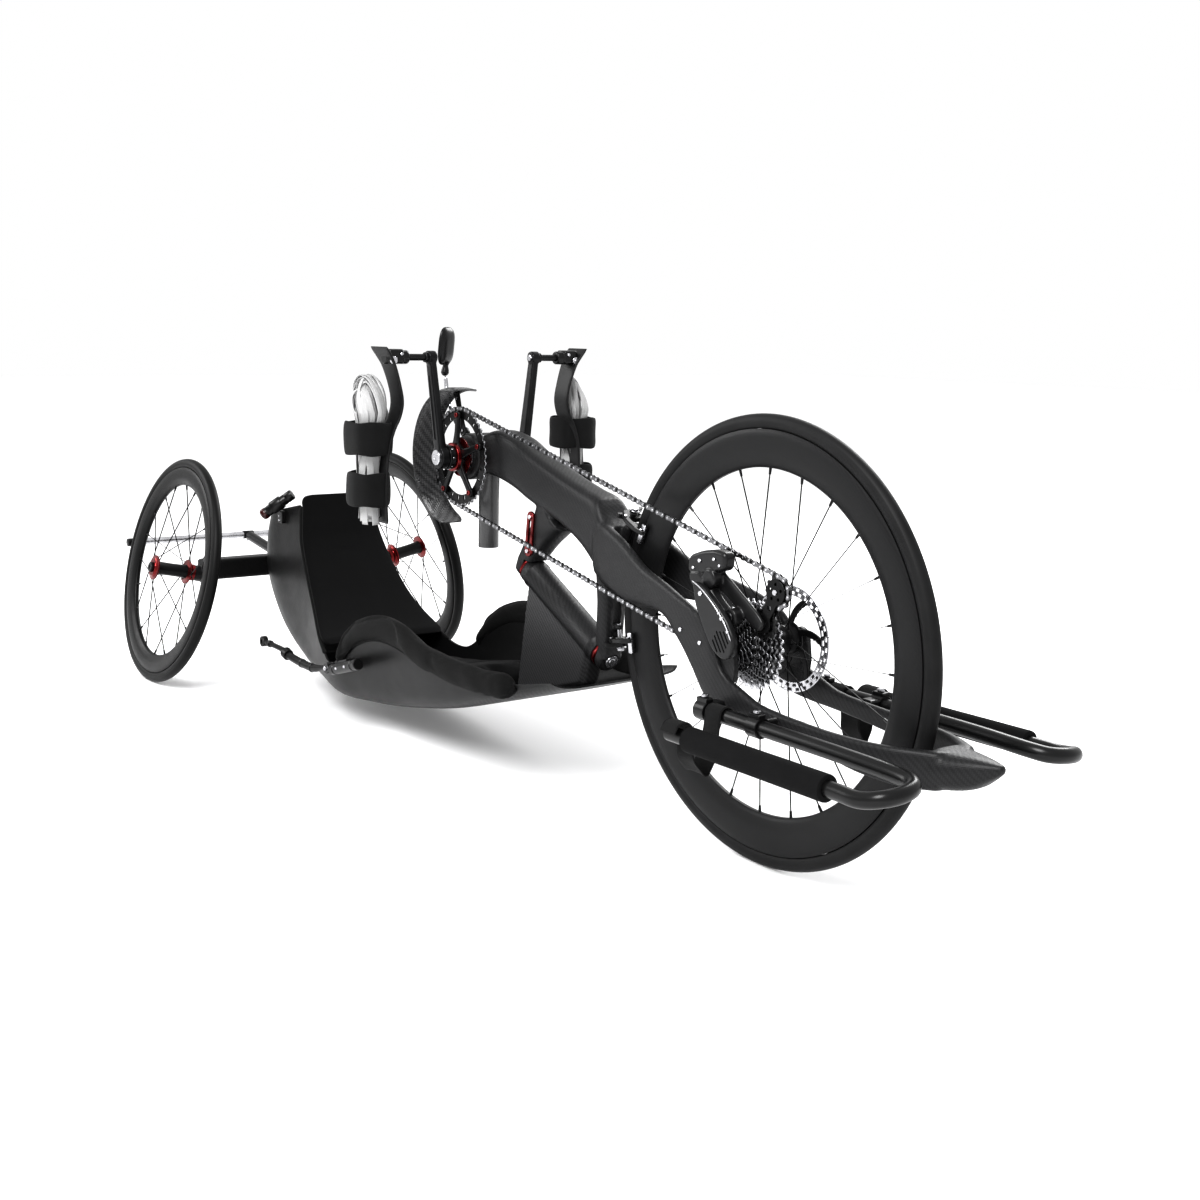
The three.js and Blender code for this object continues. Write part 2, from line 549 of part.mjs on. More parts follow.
// Wheels: each is a group at its centre, turned by its camber
const treadShares = [-1, -0.5, -0.13, 0.13, 0.5, 1];
const tyreBody = (wheel) => {
  const half = wheel.tyreWidth / 2;
  const middle = wheel.radius - half;
  const seat = wheel.tyreSeat + fit;
  const start = Math.acos((seat - middle) / half);
  const facet = 1 / Math.cos(Math.PI / wheel.segments);
  const arc = treadShares.map((share) => share * start).map((angle) => [
    (middle + half * Math.cos(angle)) * (Math.abs(angle) < start ? facet : 1), half * Math.sin(angle)]);
  return turnedAboutY([...arc, arc[0]], wheel.segments);
};
// from the bore outwards: how far out, half width
const rimShares = [[0, 0.4], [0.35, 0.88], [0.8, 1], [1, 0.72]];
const rimBody = (wheel) => {
  const edge = rimShares.map(([out, half]) => [
    THREE.MathUtils.lerp(wheel.rimBore, wheel.tyreSeat, out), (half * wheel.rimWidth) / 2]);
  const back = edge.map(([r, y]) => [r, -y]).reverse();
  return turnedAboutY([...edge, ...back, edge[0]], wheel.segments);
};
const spokeBody = (wheel, flangeRadius, flangeY, index, lean) => {
  const angle = (2 * Math.PI * index) / wheel.spokes;
  const end = wheel.rimBore * Math.cos(Math.PI / wheel.segments) - fit;
  const at = (radius, turn, y) => P(radius * Math.cos(turn), y, radius * Math.sin(turn));
  return rod(at(flangeRadius, angle - lean, flangeY), at(end, angle, 0), wheel.spokeWidth / 2, 3);
};
const hubWithSpokes = (wheel, profile, flanges, lean) => {
  const spokes = Array.from({ length: wheel.spokes }, (_, i) => {
    const [radius, y] = flanges[i % 2];
    return spokeBody(wheel, radius, y, i, lean * (i % 4 < 2 ? 1 : -1));
  });
  return join(turnedAboutY(profile, 12), ...spokes);
};

const front = newGroup(fork, wheelCentre);
addPart(front, 'front_tyre', tyreBody(frontWheel), 'rubber');
addPart(front, 'front_rim', rimBody(frontWheel), 'rim');
const hub = { bore: frontAxle.radius + fit, body: 13, flange: 22, driveFlange: -17, farFlange: 32,
  flangeWidth: 4, rotorSeat: 49 };
const driverFace = -20.5;
addPart(front, 'front_hub', hubWithSpokes(frontWheel, [
  [hub.bore, driverFace + fit], [hub.flange, driverFace + fit],
    [hub.flange, hub.driveFlange + hub.flangeWidth / 2],
  [hub.body, hub.driveFlange + hub.flangeWidth * 2], [hub.body, hub.farFlange - hub.flangeWidth * 2],
  [hub.flange, hub.farFlange - hub.flangeWidth / 2], [hub.flange, hub.rotorSeat], [hub.body, hub.rotorSeat],
  [hub.body, frontWheel.hubWidth / 2], [hub.bore, frontWheel.hubWidth / 2], [hub.bore, driverFace + fit],
], [[hub.flange - 2, hub.driveFlange], [hub.flange - 2, hub.farFlange]], 0.5), 'blackMetal');
const rotor = { radius: 80, track: 14, thickness: 1.8, carrier: 26, arms: 6, arm: 7 };
const ringShape = (outer, inner, points = 40) => {
  const shape = new THREE.Shape();
  shape.absarc(0, 0, outer, 0, 2 * Math.PI);
  const hole = new THREE.Path();
  hole.absarc(0, 0, inner, 0, 2 * Math.PI, true);
  shape.holes.push(hole);
  return [shape, points];
};
const ringPlate = (outer, inner, low, high, points) => plateXZ(ringShape(outer, inner)[0], low, high, points);
const armPlate = (from, to, width, angle, low, high, skew = 0) => {
  const at = (radius, turn, offset) => [
    radius * Math.cos(turn) - offset * Math.sin(turn), radius * Math.sin(turn) + offset * Math.cos(turn)];
  return plateXZ(outline([
    at(from, angle, -width / 2), at(to, angle + skew, -width / 2), at(to, angle + skew, width / 2),
      at(from, angle, width / 2),
  ]), low, high);
};
const rotorLow = hub.rotorSeat + fit;
addPart(front, 'brake_rotor', join(
  ringPlate(rotor.radius, rotor.radius - rotor.track, rotorLow, rotorLow + rotor.thickness, 12),
  ringPlate(rotor.carrier, hub.body + fit, rotorLow, rotorLow + rotor.thickness, 8),
  ...Array.from({ length: rotor.arms }, (_, i) => armPlate(rotor.carrier - rotor.thickness,
    rotor.radius - rotor.track + rotor.thickness,
    rotor.arm, (2 * Math.PI * i) / rotor.arms, rotorLow, rotorLow + rotor.thickness, 0.5)),
), 'steel');

// A toothed disc: teeth with a flat crest, on the pitch circle of the chain
const toothed = (teeth, rise, crestShare) => {
  const pitch = pitchRadius(teeth);
  const points = [];
  for (let i = 0; i < teeth; i += 1) {
    const at = (radius, place) => {
      const angle = (2 * Math.PI * (i + place)) / teeth;
      points.push([radius * Math.cos(angle), radius * Math.sin(angle)]);
    };
    at(pitch - rise, 0);
    if (crestShare) at(pitch + rise, 0.5 - crestShare / 2);
    at(pitch + rise, 0.5 + crestShare / 2);
  }
  return outline(points);
};
const cassetteTeeth = { rise: 2 };
const driver = newGroup(fork, wheelCentre);
const cogY = (index) => chainPlane + (index - cassette.used) * cassette.spacing;
const roundCog = (teeth) => outline(Array.from({ length: teeth }, (_, i) => {
  const angle = (2 * Math.PI * i) / teeth;
  const tip = pitchRadius(teeth) + cassetteTeeth.rise / 2;
  return [tip * Math.cos(angle), tip * Math.sin(angle)];
}));
const cogs = cassette.teeth.map((teeth, i) => plateXZ(
  i > cassette.used ? roundCog(teeth) : toothed(teeth, cassetteTeeth.rise, 0), cogY(i) - cassette.cog / 2,
    cogY(i) + cassette.cog / 2));
const driverEnd = cogY(0) - cassette.cog * 1.5;
addPart(driver, 'cassette', cut(join(...cogs, rod(P(0, driverFace, 0), P(0, driverEnd, 0), cassette.body,
  10)),
  rod(P(0, driverFace + overrun, 0), P(0, driverEnd - overrun, 0), hub.bore + fit, 10)), 'steel');

const rearTyreHalf = rearWheel.tyreWidth / 2;
const rearHeight = (rearWheel.radius - rearTyreHalf) * Math.cos(camberAngle) + rearTyreHalf;
const rearCentre = (side) => P(-wheelbase, (side * rearTrack) / 2, rearHeight);
for (const [name, side] of sides) {
  const rear = newGroup(bike, rearCentre(side), P(-side * -camberAngle, 0, 0));
  addPart(rear, `rear_tyre_${name}`, tyreBody(rearWheel), 'rubber');
  addPart(rear, `rear_rim_${name}`, rimBody(rearWheel), 'rim');
  const half = rearWheel.hubWidth / 2;
  const bore = rearAxle.radius + fit;
  addPart(rear, `rear_hub_${name}`, hubWithSpokes(rearWheel, [
    [bore, -half], [rearHub.flange, -half + rearHub.edge], [rearHub.flange, -half + rearHub.edge * 2],
    [rearHub.body, -half + rearHub.edge * 4], [rearHub.body, half - rearHub.edge * 4],
      [rearHub.flange, half - rearHub.edge * 2],
    [rearHub.flange, half - rearHub.edge], [bore, half], [bore, -half],
  ], [[rearHub.flange - 2, -half + rearHub.edge * 1.5], [rearHub.flange - 2, half - rearHub.edge * 1.5]],
    0.6), 'red');
}

// Rear end: the cross beam behind the seat, its wheel axles, and the safety bar
const beamHeight = axleBeam.middle;
const beamBody = block(P(-wheelbase, 0, beamHeight), axleBeam.depth, axleBeam.span, axleBeam.height);
const outward = (side) => P(0, side * Math.cos(camberAngle), Math.sin(camberAngle));
const onRearAxis = (side, distance) => rearCentre(side).addScaledVector(outward(side), distance);
const socket = { radius: 17, depth: 62 };
const hubHalf = rearWheel.hubWidth / 2;
const sockets = sides.map(([, side]) => rod(onRearAxis(side, -hubHalf - fit),
  onRearAxis(side, -hubHalf - socket.depth), socket.radius, 14));
const socketBores = sides.map(([, side]) => rod(
  onRearAxis(side, -hubHalf + overrun), onRearAxis(side, -hubHalf - socket.depth - overrun),
    rearAxle.radius + fit, 10));
const shellBackAt = (height) => {
  const places = sharesFrom(0.6, 1, 60).map((share) => tubStation(share).floor);
  return places.find((p) => p.z >= height).x;
};
const saddle = { low: 217, high: 257, width: 130 };
const saddleFront = [saddle.low, saddle.high].map((height) => [shellBackAt(height) + tub.wall / 2, height]);
const saddleBody = plateXZ(outline([
  [-wheelbase, saddle.low], ...saddleFront, [-wheelbase, saddle.high]]), -saddle.width / 2, saddle.width / 2);
addPart(bike, 'rear_axle_beam', cut(join(beamBody, saddleBody, ...sockets), tubEnvelope, ...socketBores),
  'carbon');
for (const [name, side] of sides) {
  addPart(bike, `rear_axle_${name}`, join(
    rod(onRearAxis(side, hubHalf + fit + rearAxle.capWidth), onRearAxis(side, -hubHalf - socket.depth),
      rearAxle.radius, 10),
    rod(onRearAxis(side, hubHalf + fit + rearAxle.capWidth), onRearAxis(side, hubHalf + fit), rearAxle.cap,
      10)), 'steel');
}
const guardBar = { back: 1880, height: 270, span: 600, radius: 8, plug: 9.5, plugLength: 18, stay: 11,
  plate: 8, plateSpan: 64 };
const barEnd = (side, inset) => P(-guardBar.back, side * (guardBar.span / 2 - inset), guardBar.height);
const stayFoot = P(-wheelbase - axleBeam.depth / 2 - fit, 0, beamHeight);
addPart(bike, 'safety_bar', join(
  rod(barEnd(-1, 0), barEnd(1, 0), guardBar.radius, 10),
  ...sides.map(([, side]) => rod(barEnd(side, 0), barEnd(side, guardBar.plugLength), guardBar.plug, 10)),
  rod(stayFoot.clone().setX(stayFoot.x - guardBar.plate / 2), P(-guardBar.back, 0, guardBar.height),
    guardBar.stay, 12),
  block(stayFoot.clone().setX(stayFoot.x - guardBar.plate / 2), guardBar.plate, guardBar.plateSpan,
    axleBeam.height - axleBeam.corner),
), 'carbon');

// Rear lamp, clipped to the top edge of the shell beside the rider's shoulder
const lamp = {
  alongEdge: 0.45, out: 17.5, rise: 12.5, length: 85, radius: 11.5, clip: 13, clipWall: 1.5, clipLength: 26,
    foot: 26, footDown: 28, gap: 1,
};
const lampEdge = tubStation(1).rim.lerp(tubStation(1).floor, lamp.alongEdge).setY(-tubStation(1).rimHalf);
const lampWay = P(0.48, 0.65, 0.59).normalize();
const lampMiddle = lampEdge.clone().add(P(0, -lamp.out, lamp.rise));
const alongLamp = (distance) => lampMiddle.clone().addScaledVector(lampWay, distance);
addPart(bike, 'rear_lamp', join(
  rod(alongLamp(-lamp.length / 2), alongLamp(lamp.length / 2), lamp.radius, 14),
  rod(alongLamp(-lamp.length / 2), alongLamp(-lamp.length / 3), (lamp.clip + lamp.radius) / 2, 14)), 'red');
const lampFootLow = lampEdge.z - lamp.footDown;
const lampFoot = P(lampEdge.x, lampEdge.y - (lamp.out + lamp.gap) / 2, (lampFootLow + lampMiddle.z) / 2);
addPart(bike, 'lamp_bracket', cut(
  join(rod(alongLamp(-lamp.clipLength / 2), alongLamp(lamp.clipLength / 2), lamp.clip + lamp.clipWall, 14),
    block(lampFoot, lamp.foot, lamp.out - lamp.gap, lampMiddle.z - lampFootLow)),
  rod(alongLamp(-lamp.length), alongLamp(lamp.length), lamp.radius + fit * 2, 14), tubEnvelope),
    'blackMetal');

// Gear lever beside the rider's hip, hinged on a holder at the shell's edge
const lever = {
  outset: 32, hingeBack: 1036, belowRim: 31.9, length: 306, tipDrop: 1, radius: 8, neck: 5.5, eye: 11,
    eyeHole: 5,
  boss: 11, bossWidth: 12, ring: 11.5, holder: 11, holderLength: 109, holderBelowRim: 63.9, holderGap: 18,
    tab: 5, foot: 38, footHeight: 24,
};
const rimAt = (back) => tubStation(sharesFrom(0.3, 0.8, 200).find((share) =>
  -tubStation(share).rim.x >= back) ?? 0.8);
const leverSide = rimAt(lever.hingeBack).rimHalf + lever.outset;
const leverHinge = P(-lever.hingeBack, -leverSide, rimAt(lever.hingeBack).rim.z - lever.belowRim);
const leverTip = leverHinge.clone().add(P(-lever.length, 0, -lever.tipDrop));
const onLever = (share, dropShare) => leverHinge.clone().lerp(leverTip,
  share).add(P(0, 0, -dropShare * lever.neck));
// along the lever, drop in necks, radius in necks
const leverShares = [[0, 0, 1], [0.21, 2.3, 1.45], [0.405, 2.3, 1.45], [0.608, 1.4, 1.45], [0.683, 0.35, 1],
  [1, 0, 0.9]];
const alongY = (middle, radius, width, sideCount = 12) => rod(
  middle.clone().setY(middle.y - width / 2), middle.clone().setY(middle.y + width / 2), radius, sideCount);
const leverBody = loft(leverShares.map(([share, drop, size]) => roundedRing(
  onLever(share, drop), acrossDirection, P(0, 0, 1), size * lever.neck, size * lever.neck, 2, 8)));
const gearLever = newGroup(bike, leverHinge);
const atHinge = (geometry) => geometryOf(geometry.isBufferGeometry ? solidOf(geometry) : geometry)
  .translate(-leverHinge.x, -leverHinge.y, -leverHinge.z);
addPart(gearLever, 'gear_lever', atHinge(cut(join(
  leverBody, alongY(leverHinge, lever.boss, lever.bossWidth), alongY(leverTip, lever.eye, lever.neck * 2),
  rod(onLever(0.615, 1.2), onLever(0.667, 0.7), lever.ring, 12)), alongY(leverTip, lever.eyeHole,
    lever.boss * 4, 8))), 'blackMetal');
const holderFront = rimAt(lever.hingeBack - lever.holderLength);
const holderEnds = [
  leverHinge.clone().add(P(lever.holderGap, 0, 0)),
  P(-lever.hingeBack + lever.holderLength, -leverSide, holderFront.rim.z - lever.holderBelowRim)];
const holderFoot = leverHinge.clone().lerp(holderEnds[1], 0.5).setY(-leverSide + lever.foot / 2);
const tabMiddle = leverHinge.clone().setY(-leverSide + lever.bossWidth / 2 + fit + lever.tab / 2);
addPart(bike, 'lever_holder', cut(join(
  rod(...holderEnds, lever.holder, 14),
  alongY(tabMiddle, lever.boss, lever.tab),
  block(tabMiddle.clone().setX(tabMiddle.x + lever.boss), lever.boss * 2, lever.tab, lever.boss * 1.4),
  block(holderFoot, lever.foot, lever.foot, lever.footHeight)), tubEnvelope), 'blackMetal');

// Cranks: both arms point the same way, so the hands turn together
const crankCentre = P(bracketX, 0, bracket.height);
const crank = newGroup(fork, crankCentre);
const spindle = { axle: 12, radius: 6, end: 191, cap: 14, capWidth: 3.2, tipDisc: 12, shoulder: 9,
  shoulderWidth: 5 };
const bearing = { depth: 18, flange: 25, flangeWidth: 4, sides: 18 };
const faceOf = bracket.width / 2;
for (const [name, side] of sides) {
  const at = (y) => P(bracketX, side * y, bracket.height);
  addPart(fork, `crank_bearing_${name}`, cut(join(
    rod(at(faceOf - bearing.depth), at(faceOf + bearing.flangeWidth), bracket.bore - fit, 18),
    rod(at(faceOf + fit), at(faceOf + bearing.flangeWidth), bearing.flange, 18)),
  rod(at(faceOf - bearing.depth - overrun), at(faceOf + bearing.flangeWidth + overrun),
    (spindle.axle + fit) / Math.cos(Math.PI / bearing.sides), bearing.sides)), 'silver');
}
const armHalf = crankArm.thickness / 2;
const axleEnd = crankArm.foot + armHalf + fit;
addPart(crank, 'crank_axle', join(
  rod(P(0, -axleEnd - spindle.capWidth, 0), P(0, axleEnd + spindle.capWidth, 0), spindle.axle, 14),
  ...sides.map(([, side]) => rod(P(0, side * axleEnd, 0), P(0, side * (axleEnd + spindle.capWidth), 0),
    spindle.cap, 14))), 'silver');
const spiderBolts = { count: 5, radius: 77, bolt: 4, arm: 15, face: 3, depth: 7, root: 17 };
const ringShapeWithHoles = toothed(chainring.teeth, cassetteTeeth.rise, 0);
const boltAngles = Array.from({ length: spiderBolts.count },
  (_, i) => (2 * Math.PI * (i + 0.25)) / spiderBolts.count);
const hole = (x, z, radius, count = 8) => {
  const path = new THREE.Path();
  for (let i = 0; i < count; i += 1) {
    const angle = (-2 * Math.PI * (i + 0.5)) / count;
    const [px, pz] = [x + radius * Math.cos(angle), z + radius * Math.sin(angle)];
    if (i) path.lineTo(px, pz);
    else path.moveTo(px, pz);
  }
  path.closePath();
  return path;
};
ringShapeWithHoles.holes.push(hole(0, 0, spiderBolts.radius - chainring.rim, 26), ...boltAngles.map(
  (angle) => hole(spiderBolts.radius * Math.cos(angle), spiderBolts.radius * Math.sin(angle),
    spiderBolts.bolt + fit * 2)));
const ringLow = chainPlane - chainring.thickness / 2;
addPart(crank, 'chainring', plateXZ(ringShapeWithHoles, ringLow, ringLow + chainring.thickness, 10),
  'blackMetal');
const spiderFace = ringLow - fit;
const spiderBody = join(
  rod(P(0, spiderFace + spiderBolts.face, 0), P(0, -crankArm.foot + armHalf, 0),
    crankArm.boss + spiderBolts.face, 18),
  ...boltAngles.map((angle) => join(
    armPlate(spiderBolts.root, spiderBolts.radius + spiderBolts.bolt, spiderBolts.arm, angle,
      spiderFace - spiderBolts.depth, spiderFace),
    rod(P(spiderBolts.radius * Math.cos(angle), spiderFace - spiderBolts.face, spiderBolts.radius
      * Math.sin(angle)),
      P(spiderBolts.radius * Math.cos(angle), ringLow + chainring.thickness + spiderBolts.face / 2,
        spiderBolts.radius * Math.sin(angle)),
      spiderBolts.bolt, 8))));
const armShares = [[0, 1], [0.12, 0.92], [0.5, 0.84], [0.88, 0.78], [1, 0.74]];
for (const [name, side] of sides) {
  const at = (along, y = 0) => P(0, side * (crankArm.foot + along * crankArm.splay + y),
    along * crankArm.length);
  const arm = join(
    loft(armShares.map(([along, half]) => roundedRing(at(along), P(1, 0, 0), acrossDirection,
      (half * crankArm.width) / 2,
      (half * crankArm.thickness) / 2, 4, 8))),
    rod(at(0, -armHalf), at(0, armHalf), crankArm.boss, 18),
    rod(at(1, -armHalf), at(1, armHalf), spindle.tipDisc, 14),
    rod(at(1), at(1).setY(side * spindle.end), spindle.radius, 10),
    rod(at(1, armHalf - 1), at(1, armHalf + spindle.shoulderWidth), spindle.shoulder, 12));
  const whole = side < 0 ? join(arm, spiderBody) : arm;
  addPart(crank, `crank_arm_${name}`, cut(
    whole, rod(P(0, side * -overrun, 0), P(0, side * axleEnd, 0), spindle.axle + fit, 14),
    rod(P(0, side * (axleEnd - fit), 0), P(0, side * (axleEnd + overrun), 0), spindle.cap + fit * 2, 14)),
      side < 0 ? 'red' : 'blackMetal');
}

// Hand grips: a bent blade hung from each spindle, with a wrapped bundle of straps that the hand goes through
const grip = {
  width: 45, out: 209, drop: 296, thickness: 5.6, block: 30, blockStart: 160, blockEnd: 207, blockHeight: 26,
    behind: 3, bundleBack: 24, backRun: 120,
};
// height above the crank tip over the drop, distance from the middle over the greatest, width over the width
const gripShares = [
  [0.061, 1.029, 1.333], [0.007, 0.976, 1.244], [-0.047, 0.933, 1.111], [-0.169, 0.876, 1.000],
    [-0.270, 0.852, 1.000],
  [-0.355, 0.876, 1.000], [-0.439, 0.933, 1.000], [-0.557, 0.981, 1.000], [-0.726, 1.000, 0.933],
    [-0.878, 1.000, 0.889],
  [-1.000, 0.986, 0.800],
];
const bladeRings = (side, extra) => gripShares.map(([rise, out, width], i) => {
  const before = gripShares[Math.max(i - 1, 0)];
  const after = gripShares[Math.min(i + 1, gripShares.length - 1)];
  const along = P(0, side * (after[1] - before[1]) * grip.out, (after[0] - before[0])
    * grip.drop).normalize();
  const back = grip.behind + grip.bundleBack * Math.min(1, (-Math.min(rise, 0) * grip.drop) / grip.backRun);
  return roundedRing(P(-back, side * out * grip.out, rise * grip.drop), P(1, 0, 0), along.cross(P(1, 0, 0)),
    (width * grip.width) / 2 + extra, grip.thickness / 2 + extra, 5, 8);
});
const wrap = { drop: 304, half: 46, out: 227 };
// height above the crank tip over the drop, half width along and half width across over the greatest
const wrapShares = [
  [-0.086, 0.174, 0.109], [-0.112, 0.478, 0.261], [-0.197, 0.652, 0.391], [-0.303, 0.739, 0.522],
    [-0.362, 0.870, 0.783],
  [-0.382, 0.978, 0.935], [-0.493, 1.000, 0.978], [-0.566, 0.978, 0.935], [-0.586, 0.783, 0.761],
    [-0.664, 0.739, 0.717],
  [-0.684, 0.870, 0.826], [-0.789, 0.891, 0.848], [-0.868, 0.826, 0.761], [-0.888, 0.652, 0.565],
    [-0.954, 0.435, 0.370],
  [-1.000, 0.261, 0.196],
];
for (const [name, side] of sides) {
  const tip = P(0, 0, crankArm.length);
  const gripGroup = newGroup(crank, tip);
  const blockBody = block(P(0, (side * (grip.blockStart + grip.blockEnd)) / 2, 0), grip.block,
    grip.blockEnd - grip.blockStart, grip.blockHeight);
  addPart(gripGroup, `grip_blade_${name}`, cut(join(loft(bladeRings(side, 0)), blockBody),
    rod(P(0, side * (grip.blockStart - overrun), 0), P(0, side * (spindle.end + fit * 3), 0),
      (spindle.radius + fit) / Math.cos(Math.PI / 10), 10)), 'carbon');
  const bundle = loft(wrapShares.map(([rise, along, across]) => roundedRing(
    P(-grip.behind - grip.bundleBack, side * wrap.out, rise * wrap.drop), P(1, 0, 0), acrossDirection,
      along * wrap.half, across * wrap.half, 2, 8)));
  addPart(gripGroup, `hand_wrap_${name}`, cut(bundle, loft(bladeRings(side, fit))), 'cloth');
}

// Chain: one ribbon of links round the ring, the two small pulleys and the cog
const pulley = { teeth: 11, width: 2.4, bore: 4 };
const hangerPoint = P(hanger.ahead, 0, axleHeight + hanger.rise);
const changer = {
  knuckle: 11, outerY: -67.5, innerY: -54.5, arm: 9, elbowBack: 48, elbowRise: 49, cageY: 3.4, plate: 1.8,
    cagePin: 3.5,
  guideAhead: 44, guideDrop: 4, tensionAhead: 67, tensionRise: 44,
};
const guidePulley = hangerPoint.clone().add(P(changer.guideAhead, 0, -changer.guideDrop));
const tensionPulley = hangerPoint.clone().add(P(changer.tensionAhead, 0, changer.tensionRise));
const pulleyRadius = pitchRadius(pulley.teeth);
const chainStops = [
  { centre: crankCentre, radius: pitchRadius(chainring.teeth), turn: 1 },
  { centre: tensionPulley, radius: pulleyRadius, turn: 1 },
  { centre: guidePulley, radius: pulleyRadius, turn: -1 },
  { centre: wheelCentre, radius: pitchRadius(cassette.teeth[cassette.used]), turn: 1 },
];
const chainRise = { clear: 2.6, waistOut: 3.5 };
const spans = chainStops.map((from, i) => {
  const to = chainStops[(i + 1) % chainStops.length];
  const gap = to.centre.clone().sub(from.centre);
  const turnTo = Math.asin((from.turn * from.radius - to.turn * to.radius) / gap.length());
  const heading = Math.atan2(gap.z, gap.x) - turnTo;
  const left = P(-Math.sin(heading), 0, Math.cos(heading));
  const start = from.centre.clone().addScaledVector(left, from.turn * from.radius);
  const end = to.centre.clone().addScaledVector(left, to.turn * to.radius);
  return { heading, left, start, end, length: start.distanceTo(end) };
});
const runs = chainStops.flatMap((stop, i) => {
  const arriving = spans[(i + chainStops.length - 1) % chainStops.length];
  const leaving = spans[i];
  const full = 2 * Math.PI;
  const sweep = (((stop.turn * (arriving.heading - leaving.heading)) % full) + full) % full;
  return [
    { kind: 'arc', stop, heading: arriving.heading, length: sweep * stop.radius },
    { kind: 'straight', from: stop, to: chainStops[(i + 1) % chainStops.length], ...leaving },
  ];
});
const chainLength = runs.reduce((sum, run) => sum + run.length, 0);
const linkCount = 2 * Math.round(chainLength / chain.pitch / 2);
const heightLimit = (stop, distance) => {
  const tip = stop.radius + chainRise.clear;
  return distance < tip ? stop.radius - Math.sqrt(tip * tip - distance * distance) : chain.height;
};
const chainRing = (distance, waist, wide) => {
  let left = distance;
  const run = runs.find((r) => {
    if (left <= r.length) return true;
    left -= r.length;
    return false;
  }) ?? runs[runs.length - 1];
  const plain = (waist ? chain.waist : chain.height) / 2;
  const half = { right: plain, left: plain };
  let point;
  let heading;
  if (run.kind === 'arc') {
    const { stop } = run;
    heading = run.heading - (stop.turn * left) / stop.radius;
    point = stop.centre.clone().addScaledVector(P(-Math.sin(heading), 0, Math.cos(heading)),
      stop.turn * stop.radius);
    const [inner, outer] = stop.turn > 0 ? ['right', 'left'] : ['left', 'right'];
    half[inner] = -chainRise.clear;
    half[outer] = waist ? chainRise.waistOut : chain.height / 2;
  } else {
    heading = run.heading;
    point = run.start.clone().lerp(run.end, left / run.length);
    for (const [stop, away] of [[run.from, left], [run.to, run.length - left]]) {
      const inner = stop.turn > 0 ? 'right' : 'left';
      half[inner] = Math.min(half[inner], heightLimit(stop, away));
      const outer = stop.turn > 0 ? 'left' : 'right';
      if (waist && heightLimit(stop, away) < 0) half[outer] = Math.max(half[outer], chainRise.waistOut);
    }
  }
  const across = P(-Math.sin(heading), 0, Math.cos(heading));
  const width = wide / 2;
  return [[-half.right, -width], [-half.right, width], [half.left, width],
    [half.left, -width]].map(([rise, y]) => point.clone()
    .addScaledVector(across, rise).setY(chainPlane + y));
};
const halfLink = chainLength / (linkCount * 2);
const runsStraight = (distance) => {
  let left = distance;
  const run = runs.find((r) => {
    if (left <= r.length) return true;
    left -= r.length;
    return false;
  });
  return run?.kind === 'straight' && Math.min(left, run.length - left) > chain.pitch * 3;
};
const chainRings = Array.from({ length: linkCount * 2 }, (_, i) => i).flatMap((i) => {
  const open = runsStraight(i * halfLink);
  if (open && i % 2 === 1) return [];
  const waist = open ? i % 4 === 2 : i % 2 === 1;
  return [chainRing(i * halfLink, waist, i % 4 < 2 ? chain.outerWidth : chain.innerWidth)];
});
addPart(fork, 'chain', loft(chainRings, true), 'chainSteel');

const guard = { radius: 128, thickness: 2.6, inner: -25, outer: -80, start: 62, end: 268, armY: -33,
  armWidth: 20, armFrom: 43.5, arms: [110, 205] };
const guardShape = new THREE.Shape();
const [guardStart, guardEnd] = [guard.start, guard.end].map(THREE.MathUtils.degToRad);
guardShape.absarc(0, 0, guard.radius, guardStart, guardEnd, false);
guardShape.absarc(0, 0, guard.radius - guard.thickness, guardEnd, guardStart, true);
const guardArms = guard.arms.map((angle) => armPlate(guard.armFrom, guard.radius - guard.thickness / 2,
  guard.armWidth,
  THREE.MathUtils.degToRad(angle), guard.armY, guard.armY + guard.thickness));
addPart(fork, 'chain_guard', geometryOf(join(plateXZ(guardShape, guard.outer, guard.inner, 12), ...guardArms))
  .translate(crankCentre.x, 0, crankCentre.z), 'carbon');

// Gear changer: its body hangs on the tab above the axle, and the sprung cage turns on the guide pulley's pin
const pin = (middle, radius, from, to, sideCount = 14) => rod(middle.clone().setY(from),
  middle.clone().setY(to), radius, sideCount);
const elbow = hangerPoint.clone().add(P(-changer.elbowBack, 0, changer.elbowRise));
const barBetween = (a, b, half, low, high) => {
  const way = b.clone().sub(a).normalize();
  const normal = P(-way.z, 0, way.x);
  const corner = (p, sign) => p.clone().addScaledVector(normal, sign * half);
  return plateXZ(outline([corner(a, -1), corner(b, -1), corner(b, 1), corner(a, 1)].map((p) => [p.x, p.z])),
    low, high);
};
const cagePlates = [[chainPlane - changer.cageY - changer.plate, chainPlane - changer.cageY],
  [chainPlane + changer.cageY, chainPlane + changer.cageY + changer.plate]];
addPart(fork, 'gear_changer', join(
  pin(hangerPoint, changer.knuckle, changer.outerY, changer.innerY),
  pin(hangerPoint, hanger.bolt, changer.innerY, -dropoutFace - dropout.thickness - 3),
  pin(hangerPoint, hanger.bolt * 2, -dropoutFace - dropout.thickness - fit, -dropoutFace - dropout.thickness
    - 4),
  barBetween(hangerPoint, elbow, changer.arm, changer.outerY, changer.innerY),
  pin(elbow, changer.knuckle * 1.3, changer.outerY - 3, changer.innerY),
  barBetween(elbow, guidePulley, changer.arm * 0.9, changer.innerY - 6, changer.innerY),
  pin(guidePulley, changer.knuckle * 1.2, changer.innerY - 6, changer.innerY),
), 'blackMetal');
const cage = newGroup(fork, guidePulley);
const cageEnd = tensionPulley.clone().sub(guidePulley);
const cageStart = P(0, 0, 0);
